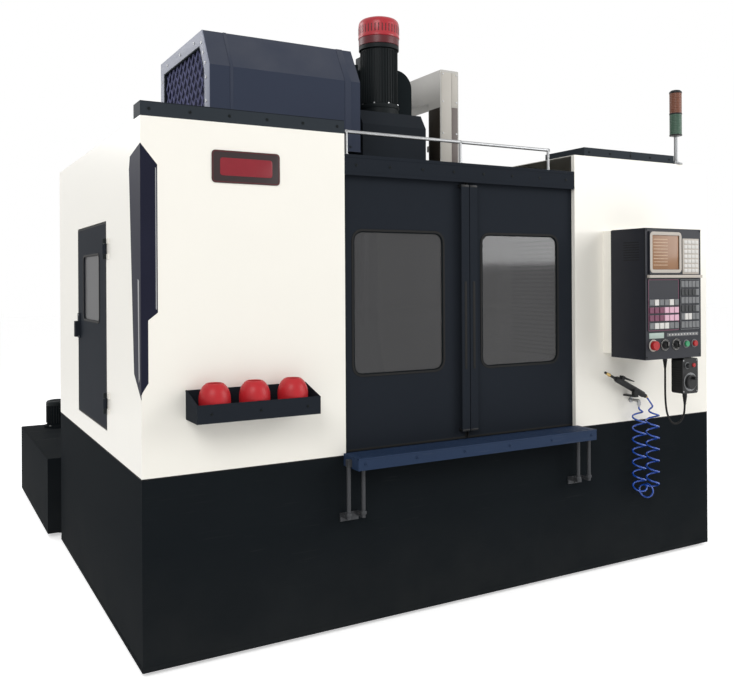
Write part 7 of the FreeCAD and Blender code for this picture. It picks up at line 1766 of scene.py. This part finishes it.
@dataclass
class SpindleDrive:
    """Ribbed barrel, terminal box and slotted cap of the spindle motor, and the hood's bolts."""

    centre: Pair = (0.0, -0.195)
    half: float = 0.0925
    foot: float = 2.16
    top: float = 2.47
    hood_side: float = 0.201
    hood_bolt_line: float = 2.147

    def build(self) -> None:
        """Dress the motor, its cap and the hood."""
        self.motor()
        self.cap()
        self.hood()

    def motor(self) -> None:
        """Turn the motor's barrel with its flanges, and add its cooling ribs and terminal box."""
        x, y = self.centre
        profile = [(0.0, -0.03), (0.096, -0.03), (0.096, -0.002), (0.098, 0.0), (0.0985, 0.0015), (0.0985, 0.0165),
            (0.0965, 0.0185), (0.088, 0.0195), (0.088, 0.287), (0.0965, 0.2885), (0.0985, 0.2905), (0.0985, 0.308),
            (0.0965, 0.31), (0.0, 0.31)]
        mount(Bench.lathe("motor_barrel", profile, (x, y, self.foot), Axis.UP, 56), BLACK_METAL, "head",
            stands_for=["spindle_motor"])
        rib = Bench.block("motor_rib", (-0.0021, -self.half, self.foot + 0.024), (0.0021, -0.087, self.top - 0.027),
            0.0009, 1)
        mount(Bench.around("motor_ribs", rib, (x, y, 0.0), Axis.UP, 40), BLACK_METAL, "head")
        tie = Bench.lathe("motor_tie_bolt", [(0.0, 0.0), (0.0055, 0.0), (0.0055, 0.006), (0.004, 0.0075),
            (0.0, 0.0075)], (0.092, 0.0, self.foot + 0.018), Axis.UP, 6)
        mount(Bench.around("motor_tie_bolts", tie, (x, y, 0.0), Axis.UP, 8), ZINC, "head")
        back = y + self.half
        mount(Bench.block("motor_terminal_box", (x - 0.055, back - 0.012, 2.372), (x + 0.055, back + 0.05, 2.442),
            0.006, 3), BLACK_METAL, "head")
        mount(Bench.block("motor_terminal_lid", (x - 0.048, back + 0.05, 2.378), (x + 0.048, back + 0.055, 2.436),
            0.002, 2), BLACK_METAL, "head")
        places = [(x + side * 0.042, back + 0.055, z) for side in (-1, 1) for z in (2.384, 2.43)]
        Screws(0.004, 0.002).build("motor_terminal_screws", places, Axis.BACK, "head")

    def cap(self) -> None:
        """Turn the red cap with its rolled rim, slots and vent rings, the darker red band of painted shade round
        its foot, and the dark disc of painted shade on its top.
        """
        x, y = self.centre
        z = self.top
        profile = [(0.0, 0.036), (0.099, 0.036), (0.101, 0.038), (0.1018, 0.042), (0.101, 0.046), (0.1, 0.048),
            (0.1, 0.1), (0.0988, 0.11), (0.095, 0.1195), (0.087, 0.1275), (0.072, 0.133), (0.056, 0.135),
            (0.054, 0.133), (0.0, 0.133)]
        mount(Bench.lathe("motor_fan_cowl", profile, (x, y, z), Axis.UP, 64), RED_PAINT, "head",
            stands_for=["fan_cap"])
        # the darker red band round the cap's foot is painted shade
        mount(Bench.lathe("motor_cowl_shade_band", [(0.0, 0.0), (0.096, 0.0), (0.0985, 0.002), (0.0992, 0.03),
            (0.0985, 0.037), (0.0, 0.037)], (x, y, z), Axis.UP, 64), DARK_RED_RIM_AND_SHADE, "head")
        slot = Bench.block("cowl_slot", (-0.003, -0.1006, 0.056), (0.003, -0.0985, 0.094), 0.001, 2)
        mount(Bench.around("motor_cowl_slots", slot, (x, y, z), Axis.UP, 36), DARK_RED_RIM_AND_SHADE, "head")
        rings = []
        for radius in (0.014, 0.027, 0.04, 0.052):
            rings.append(Bench.lathe("cowl_ring", Bench.tube(radius - 0.0022, radius + 0.0022, 0.132, 0.1352),
                (x, y, z), Axis.UP, 40))
        mount(Bench.join("motor_cowl_rings", rings), RED_PAINT, "head")
        mount(Bench.lathe("motor_cowl_shade", [(0.0, 0.0), (0.053, 0.0), (0.053, 0.0006), (0.0, 0.0006)],
            (x, y, z + 0.1331), Axis.UP, 40), RUBBER, "head")

    def hood(self) -> None:
        """Bolt the hood down along each side of its foot."""
        for name, side, axis in (("hood_bolts_left", -1, Axis.LEFT), ("hood_bolts_right", 1, Axis.RIGHT)):
            places = [(side * self.hood_side, -0.16 + 0.095 * step, self.hood_bolt_line) for step in range(4)]
            Screws(0.007, 0.004, 6).build(name, places, axis, "head", BLACK_METAL)


@dataclass
class DuctTrim:
    """Covers, foot flange, screws and ribbed conduits of the cable duct."""

    left: float = 0.326
    right: float = 0.436
    front: float = -0.25
    rear: float = 0.47
    roof: float = 1.884
    arm_low: float = 2.237
    arm_top: float = 2.389
    conduits: Pair = (0.365, 0.397)
    conduit_line: float = -0.106

    def build(self) -> None:
        """Add the duct's covers, screws and conduits."""
        cover = Bench.block("duct_front_cover", (self.left + 0.006, self.front - 0.0016, self.roof + 0.012),
            (self.left + 0.066, self.front + 0.001, self.arm_top - 0.01), 0.0008, 2)
        head = Bench.block("duct_head_cover", (self.left + 0.068, self.front - 0.0016, 2.205),
            (self.right - 0.006, self.front + 0.001, self.arm_top - 0.01), 0.0008, 2)
        mount(Bench.join("duct_front_cover", [cover, head]), WARM_BEIGE)
        # the front strip and the right side cover are coloured with painted shade
        mount(Bench.block("duct_front_shade_strip", (self.left + 0.068, self.front - 0.0016, self.roof + 0.012),
            (self.right - 0.006, self.front + 0.001, 2.203), 0.0008, 2), DUCT_PAINTED_SHADE)
        mount(Bench.block("duct_flank_cover", (self.left - 0.0016, self.front + 0.006, self.roof + 0.012),
            (self.left + 0.001, self.front + 0.104, 2.2), 0.0008, 2), DUCT_BROWN)
        mount(Bench.block("duct_side_shade_cover", (self.right - 0.001, self.front + 0.006, self.roof + 0.012),
            (self.right + 0.0016, self.front + 0.104, self.arm_low - 0.006), 0.0008, 2), DUCT_PAINTED_SHADE)
        mount(Bench.block("duct_arm_lid", (self.left + 0.004, self.front + 0.002, self.arm_top - 0.001),
            (self.right - 0.004, self.rear - 0.004, self.arm_top + 0.002), 0.0009, 2), LIGHT_GREY)
        places = [(x, self.front - 0.0016, z) for x in (self.left + 0.014, self.right - 0.014)
            for z in (1.91, 2.07, 2.23, 2.37)]
        Screws(0.0045, 0.0022).build("duct_cover_screws", places, Axis.FRONT)
        mount(Bench.rim("duct_foot_flange", (self.left, self.front), (self.right, self.front + 0.11), Plane.TOP,
            self.roof, self.roof + 0.004, 0.02, 0.0, 0.001), LIGHT_GREY)
        corners = [(x, y, self.roof + 0.004) for x in (self.left - 0.011, self.right + 0.011)
            for y in (self.front - 0.011, self.front + 0.121)]
        Screws(0.006).build("duct_foot_screws", corners, Axis.UP)
        self.ribbed_conduits()

    def ribbed_conduits(self) -> None:
        """Sleeve both conduits with a ribbed hose and nuts."""
        foot, pitch = 1.97, 0.0072
        low, high = 1.972 - foot, 2.236 - foot
        rib = ((0.0092, 0.0), (0.0106, 0.0012), (0.0106, 0.0046), (0.0092, 0.0058))
        ribs = Bench.ribs(int((high - low) / pitch), low, pitch, rib)
        profile = [(0.0088, 0.0), *ribs, (0.0092, high), (0.0088, high)]
        sleeve = Bench.lathe("conduit_sleeve", profile, steps=18)
        mount(Bench.copies("duct_conduits", sleeve, [(x, self.conduit_line, foot) for x in self.conduits]),
            BLACK_PLASTIC)
        nut = Bench.lathe("conduit_nut", [(0.0088, 0.0), (0.014, 0.0), (0.014, 0.012), (0.012, 0.014),
            (0.0088, 0.014), (0.0088, 0.0)], steps=6)
        mount(Bench.copies("conduit_nuts", nut, [(x, self.conduit_line, 2.2225) for x in self.conduits]),
            BLACK_PLASTIC)


@dataclass
class RoofTrim:
    """Rail flanges, roof screws and cover seams."""

    rail_line: float = -0.875
    header_top: float = 1.807
    posts: tuple[float, ...] = (-0.541, 0.0, 0.48)

    def build(self) -> None:
        """Add the small pieces on the roof."""
        flange = Bench.lathe("rail_flange", [(0.0, 0.0), (0.019, 0.0), (0.0195, 0.001), (0.019, 0.0035),
            (0.01, 0.0045), (0.0085, 0.012), (0.007, 0.013), (0.0, 0.013)], steps=28)
        mount(Bench.copies("rail_flanges", flange, [(x, self.rail_line, self.header_top) for x in self.posts]),
            ZINC)
        knob = Bench.lathe("rail_end_ball", [(0.0, -0.0085), (0.005, -0.007), (0.0085, 0.0), (0.005, 0.007),
            (0.0, 0.0085)], steps=20)
        mount(Bench.copies("rail_joints", knob, [(x, self.rail_line, 1.905) for x in self.posts]), ZINC)
        trim = Screws.row((-1.32, -0.935, 1.909), (-0.61, -0.935, 1.909), 6)
        Screws(0.0055).build("roof_trim_screws", trim, Axis.FRONT, finish=BLACK_METAL)
        lid = Screws.row((0.67, -0.935, 1.902), (1.19, -0.935, 1.902), 5)
        Screws(0.005).build("roof_box_screws", lid, Axis.FRONT, finish=BLACK_METAL)
        mount(Bench.block("roof_box_seam", (0.928, -0.9356, 1.884), (0.932, -0.676, 1.9232), 0.0004, 1), RUBBER)
        mount(Bench.pipe("roof_trim_fold", [(-1.349, -0.9342, 1.9328), (-0.581, -0.9342, 1.9328)], 0.0016, 2,
            smooth=False), SLATE)


# ---------------------------------------------------------------- inside and rear units
@dataclass
class SpindleNose:
    """Coolant ring, nozzles and quill bolts at the spindle's nose."""

    centre: Pair = (0.0, -0.195)
    ring_foot: float = 1.618

    def build(self) -> None:
        """Model the ring, its two segmented nozzles and the quill's bolts."""
        x, y = self.centre
        mount(Bench.lathe("coolant_ring", [(0.079, 0.0), (0.09, 0.0), (0.092, 0.002), (0.092, 0.012), (0.09, 0.014),
            (0.079, 0.014), (0.079, 0.0)], (x, y, self.ring_foot), Axis.UP, 48), SATIN_STEEL, "head")
        joints = Bench.ribs(4, 0.0005, 0.0125, ((0.0052, 0.0), (0.0078, 0.003), (0.008, 0.008), (0.0058, 0.0115)))
        profile = [(0.0, 0.0), (0.005, 0.0), *joints, (0.0045, 0.052), (0.002, 0.064), (0.0, 0.064)]
        nozzles = []
        for side in (-1, 1):
            nozzle = Bench.lathe("coolant_nozzle", profile, (0, 0, 0), Axis.DOWN, 18)
            tilt = Matrix.Rotation(math.radians(24 * side), 4, "Y")
            nozzle.data.transform(Matrix.Translation((x + 0.1 * side, y, self.ring_foot + 0.06)) @ tilt)
            nozzles.append(nozzle)
        mount(Bench.join("coolant_nozzles", nozzles), HOSE_ORANGE, "head")
        bolt = Screws(0.0065, 0.005)
        places = Screws.circle(self.centre, 0.09, 1.6345, [math.pi * step / 4 + 0.3 for step in range(8)])
        bolt.build("quill_bolts", places, Axis.DOWN, "head", BLACK_METAL)


@dataclass
class TableTrim:
    """End plates and their bolts on the table, and oil nipples on the saddle."""

    half: float = 0.5
    front: float = -0.445
    back: float = 0.055

    def build(self) -> None:
        """Bolt the end plates on and set the nipples."""
        plate = Bench.block("table_end_plate", (-0.006, self.front + 0.004, 0.724), (0.0, self.back - 0.004, 0.798),
            0.0015, 2)
        mount(Bench.copies("table_end_plates", plate, [(-self.half, 0.0, 0.0), (self.half + 0.006, 0.0, 0.0)]),
            CASTING, "table")
        for name, side, axis in (("table_end_bolts_right", 1, Axis.RIGHT), ("table_end_bolts_left", -1, Axis.LEFT)):
            places = [(side * (self.half + 0.006), y, z) for y in (-0.4, -0.195, 0.01) for z in (0.74, 0.782)]
            Screws(0.006, 0.004).build(name, places, axis, "table", BLACK_METAL)
        nipple = Bench.lathe("oil_nipple", [(0.0, 0.0), (0.006, 0.0), (0.006, 0.004), (0.0035, 0.005),
            (0.0035, 0.009), (0.005, 0.011), (0.003, 0.015), (0.0, 0.015)], (0, 0, 0), Axis.FRONT, 12)
        spots = [(x, -0.415, 0.64) for x in (-0.6, -0.45, 0.45, 0.6)]
        mount(Bench.copies("saddle_oil_nipples", nipple, spots), BRASS, "saddle")


@dataclass
class ColumnTrim:
    """Rear access cover and lifting eyes of the column."""

    back: float = 0.755
    top: float = 2.3

    def build(self) -> None:
        """Bolt the cover on and set the eyes."""
        mount(Bench.panel("column_cover", (-0.17, 1.25), (0.17, 2.08), 0.02, Plane.FRONT, self.back,
            self.back + 0.004, 0.0014), CASTING)
        places = [(x, self.back + 0.004, z) for x in (-0.152, 0.152) for z in (1.27, 1.4675, 1.665, 1.8625, 2.06)]
        places += [(0.0, self.back + 0.004, z) for z in (1.27, 2.06)]
        Screws(0.008, 0.005, 6).build("column_cover_bolts", places, Axis.BACK, finish=ZINC)
        shank = [(0.0, 0.0), (0.024, 0.0), (0.025, 0.002), (0.024, 0.006), (0.014, 0.009), (0.011, 0.018),
            (0.0, 0.018)]
        model = Bench.lifting_eye("column_eye", (0.026, 0.008), 0.042, shank)
        mount(Bench.copies("column_lifting_eyes", model, [(-0.2, 0.62, self.top), (0.2, 0.62, self.top)]), ZINC)


@dataclass
class PowerCabinetTrim:
    """Seal, louvres, locks, fan filter, switch plate and glands of the rear electrical cabinet."""

    left: float = 0.429
    right: float = 1.435
    face: float = 1.093
    foot: float = 0.403
    top: float = 1.747
    switch: Pair = (0.516, 1.49)

    def build(self) -> None:
        """Dress the cabinet's door and hang the cable glands under the cabinet."""
        mount(Bench.rim("power_door_seam", (self.left + 0.01, self.foot + 0.01),
            (self.right - 0.01, self.top - 0.01), Plane.FRONT, self.face - 0.0006, self.face + 0.0008, 0.004, 0.006,
            0.0004), RUBBER, "cabinet_door")
        blade = Bench.plate("power_louvre", [(0.0, 0.0), (0.012, 0.004), (0.012, 0.007), (0.0, 0.024)], Plane.SIDE,
            0.78, 1.3, 0.0006, 1)
        rows = [(0.0, self.face, z + 0.034 * step) for z in (0.48, 1.42) for step in range(7)]
        mount(Bench.copies("power_louvres", blade, rows), CREAM, "cabinet_door")
        lock = Bench.lathe("power_lock", [(0.0, 0.0), (0.015, 0.0), (0.0155, 0.001), (0.015, 0.005), (0.011, 0.007),
            (0.0105, 0.004), (0.0, 0.004)], (0, 0, 0), Axis.BACK, 28)
        mount(Bench.copies("power_locks", lock, [(0.462, self.face, z) for z in (0.62, 1.075, 1.66)]), ZINC,
            "cabinet_door")
        mount(Bench.rim("power_fan_frame", (0.93, 0.85), (1.15, 1.07), Plane.FRONT, self.face, self.face + 0.012,
            0.014, 0.006, 0.002), GREY_PLASTIC, "cabinet_door")
        slat = Bench.plate("power_fan_slat", [(0.0, 0.0), (0.01, 0.003), (0.01, 0.006), (0.0, 0.015)], Plane.SIDE,
            0.928, 1.152, 0.0004, 1)
        mount(Bench.copies("power_fan_slats", slat, [(0.0, self.face, 0.852 + 0.0182 * step)
            for step in range(12)]), GREY_PLASTIC, "cabinet_door")
        x, z = self.switch
        rose = Bench.panel("power_switch_plate", (x - 0.045, z - 0.045), (x + 0.045, z + 0.045), 0.008, Plane.FRONT,
            self.face, self.face + 0.0025, 0.0008)
        ring = Bench.lathe("switch_hole", Bench.tube(0.0335, 0.0385, 0.0, 0.0016), (x, self.face + 0.0025, z),
            Axis.BACK, 40)
        mount(rose, LIGHT_GREY, "cabinet_door")
        mount(ring, BLACK_PLASTIC, "cabinet_door")
        corners = [(x + a, self.face + 0.0025, z + b) for a in (-0.038, 0.038) for b in (-0.038, 0.038)]
        Screws(0.0035, 0.002).build("power_switch_screws", corners, Axis.BACK, "cabinet_door")
        gland = Bench.lathe("power_gland", [(0.0, 0.0), (0.02, 0.0), (0.02, 0.01), (0.0165, 0.012), (0.016, 0.024),
            (0.011, 0.028), (0.0, 0.028)], (0, 0, 0), Axis.DOWN, 6)
        mount(Bench.copies("power_glands", gland, [(0.6 + 0.08 * step, 0.9, 0.4) for step in range(5)]),
            BLACK_PLASTIC)


@dataclass
class CoolantTankTrim:
    """Pump ribs and fan cowl, delivery pipe, lid handles and sight gauge of the tank."""

    left: float = -1.4
    right: float = -0.25
    lid: float = 0.407
    pump: Pair = (-1.2, 1.846)
    pump_radius: float = 0.062
    pipe_line: float = 0.448
    pipe_reach: float = 0.15

    def build(self) -> None:
        """Dress the tank."""
        x, y = self.pump
        bend = x + self.pipe_reach
        rib = Bench.block("pump_rib", (-0.0016, -self.pump_radius - 0.005, 0.03),
            (0.0016, -self.pump_radius + 0.002, 0.138), 0.0006, 1)
        mount(Bench.around("pump_ribs", rib, (x, y, self.lid), Axis.UP, 26), BLACK_METAL)
        mount(Bench.lathe("pump_cowl", [(0.0, 0.138), (0.0665, 0.138), (0.0675, 0.141), (0.0665, 0.158),
            (0.06, 0.167), (0.044, 0.1698), (0.0, 0.1698)], (x, y, self.lid), Axis.UP, 40), BLACK_METAL)
        mount(Bench.block("pump_terminal_box", (x + 0.055, y - 0.036, self.lid + 0.07),
            (x + 0.108, y + 0.036, self.lid + 0.128), 0.006, 3), BLACK_METAL)
        flange_bolts = Screws.circle(self.pump, 0.07, self.lid + 0.014, (0.785, 2.356, 3.927, 5.498))
        Screws(0.006, 0.004, 6).build("pump_flange_bolts", flange_bolts, Axis.UP)
        mount(Bench.pipe("coolant_pipe", [(x + 0.05, y - 0.03, self.pipe_line),
            (x + 0.11, y - 0.06, self.pipe_line), (bend, y - 0.11, self.pipe_line), (bend, y - 0.2, self.pipe_line),
            (bend, 1.2, self.pipe_line), (bend, 0.9, self.pipe_line), (bend, 0.729, self.pipe_line)], 0.0125, 5),
            ZINC)
        mount(Bench.lathe("pipe_nut", [(0.0, 0.0), (0.0215, 0.0), (0.0215, 0.016), (0.018, 0.02), (0.0, 0.02)],
            (bend, 0.7312, self.pipe_line), Axis.BACK, 6), BRASS)
        saddle = Bench.block("pipe_clamp", (-0.02, -0.01, 0.0), (0.02, 0.01, 0.036), 0.004, 2)
        mount(Bench.copies("pipe_clamps", saddle, [(bend, place, self.lid) for place in (1.0, 1.45)]),
            BLACK_PLASTIC)
        handle = Bench.pipe("lid_handle", [(0.0, -0.06, 0.0), (0.0, -0.06, 0.03), (0.0, -0.045, 0.036),
            (0.0, 0.045, 0.036), (0.0, 0.06, 0.03), (0.0, 0.06, 0.0)], 0.005, 3)
        mount(Bench.copies("tank_lid_handles", handle, [(-0.45, 1.2, self.lid), (-0.45, 1.65, self.lid)]), ZINC)
        seam = Bench.block("tank_lid_seam", (self.left + 0.002, -0.002, -0.002),
            (self.right - 0.002, 0.002, 0.0006), 0.0004, 1)
        mount(Bench.copies("tank_lid_seams", seam, [(0.0, place, self.lid) for place in (1.42, 1.72)]), RUBBER)
        mount(Bench.rim("tank_lid_edge", (self.left + 0.01, 0.848), (self.right - 0.01, 1.946), Plane.TOP,
            self.lid - 0.0006, self.lid + 0.0016, 0.008, 0.0, 0.0005), SOOT)
        mount(Bench.block("tank_sight_glass", (self.right - 0.001, 1.06, 0.11), (self.right + 0.01, 1.078, 0.31),
            0.003, 2), SIGHT_GLASS)
        clamps = Bench.block("gauge_end", (self.right - 0.001, 1.054, 0.0), (self.right + 0.014, 1.084, 0.022),
            0.003, 2)
        mount(Bench.copies("tank_gauge_ends", clamps, [(0.0, 0.0, 0.094), (0.0, 0.0, 0.304)]), ZINC)
        mount(Bench.lathe("tank_drain_plug", [(0.0, 0.0), (0.024, 0.0), (0.024, 0.008), (0.015, 0.01),
            (0.015, 0.022), (0.013, 0.024), (0.0, 0.024)], (self.right, 1.8, 0.075), Axis.RIGHT, 6), BRASS)


@dataclass
class BracketTrim:
    """Bolts on the shelf stays' wall plates and ferrules on their rods."""

    rods: tuple[float, ...] = (-0.6, -0.538, 0.538, 0.6)
    rod_line: float = -0.994
    foot: float = 0.437

    def build(self) -> None:
        """Add the bolts and the ferrules."""
        places = [(side * 0.569, -0.941, z) for side in (-1, 1) for z in (0.424, 0.444)]
        Screws(0.006, 0.004, 6).build("bracket_bolts", places, Axis.FRONT, finish=GREY_STEEL)
        ferrule = Bench.lathe("rod_ferrule", [(0.008, 0.0), (0.0118, 0.0), (0.0122, 0.001), (0.0122, 0.009),
            (0.0105, 0.012), (0.008, 0.012), (0.008, 0.0)], steps=24)
        mount(Bench.copies("bracket_ferrules", ferrule, [(x, self.rod_line, self.foot + 0.013) for x in self.rods]),
            GREY_STEEL)


def main() -> None:
    """Build the whole scene in order."""
    logging.basicConfig(level=logging.INFO, format="%(message)s", stream=sys.stdout)
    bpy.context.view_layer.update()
    Studio().build()
    PendantCable().build()
    CurlyHose().build()
    CadDressing().dress()
    for assembly in (CabinetSheets(), NamePlate(), CornerBand(), DoorTrim(), HeaderTrim(), SideDoorTrim(),
            StepShelf(), BracketTrim(), ToolTray(), OperatorPanel(), PendantTrim(), AirGunTrim(), SignalTower(),
            MagazineCoverTrim(), SpindleDrive(), DuctTrim(), RoofTrim(), SpindleNose(), TableTrim(), ColumnTrim(),
            PowerCabinetTrim(), CoolantTankTrim()):
        assembly.build()
        LOG.info("finished %s", type(assembly).__name__)


if __name__ == "__main__":
    main()
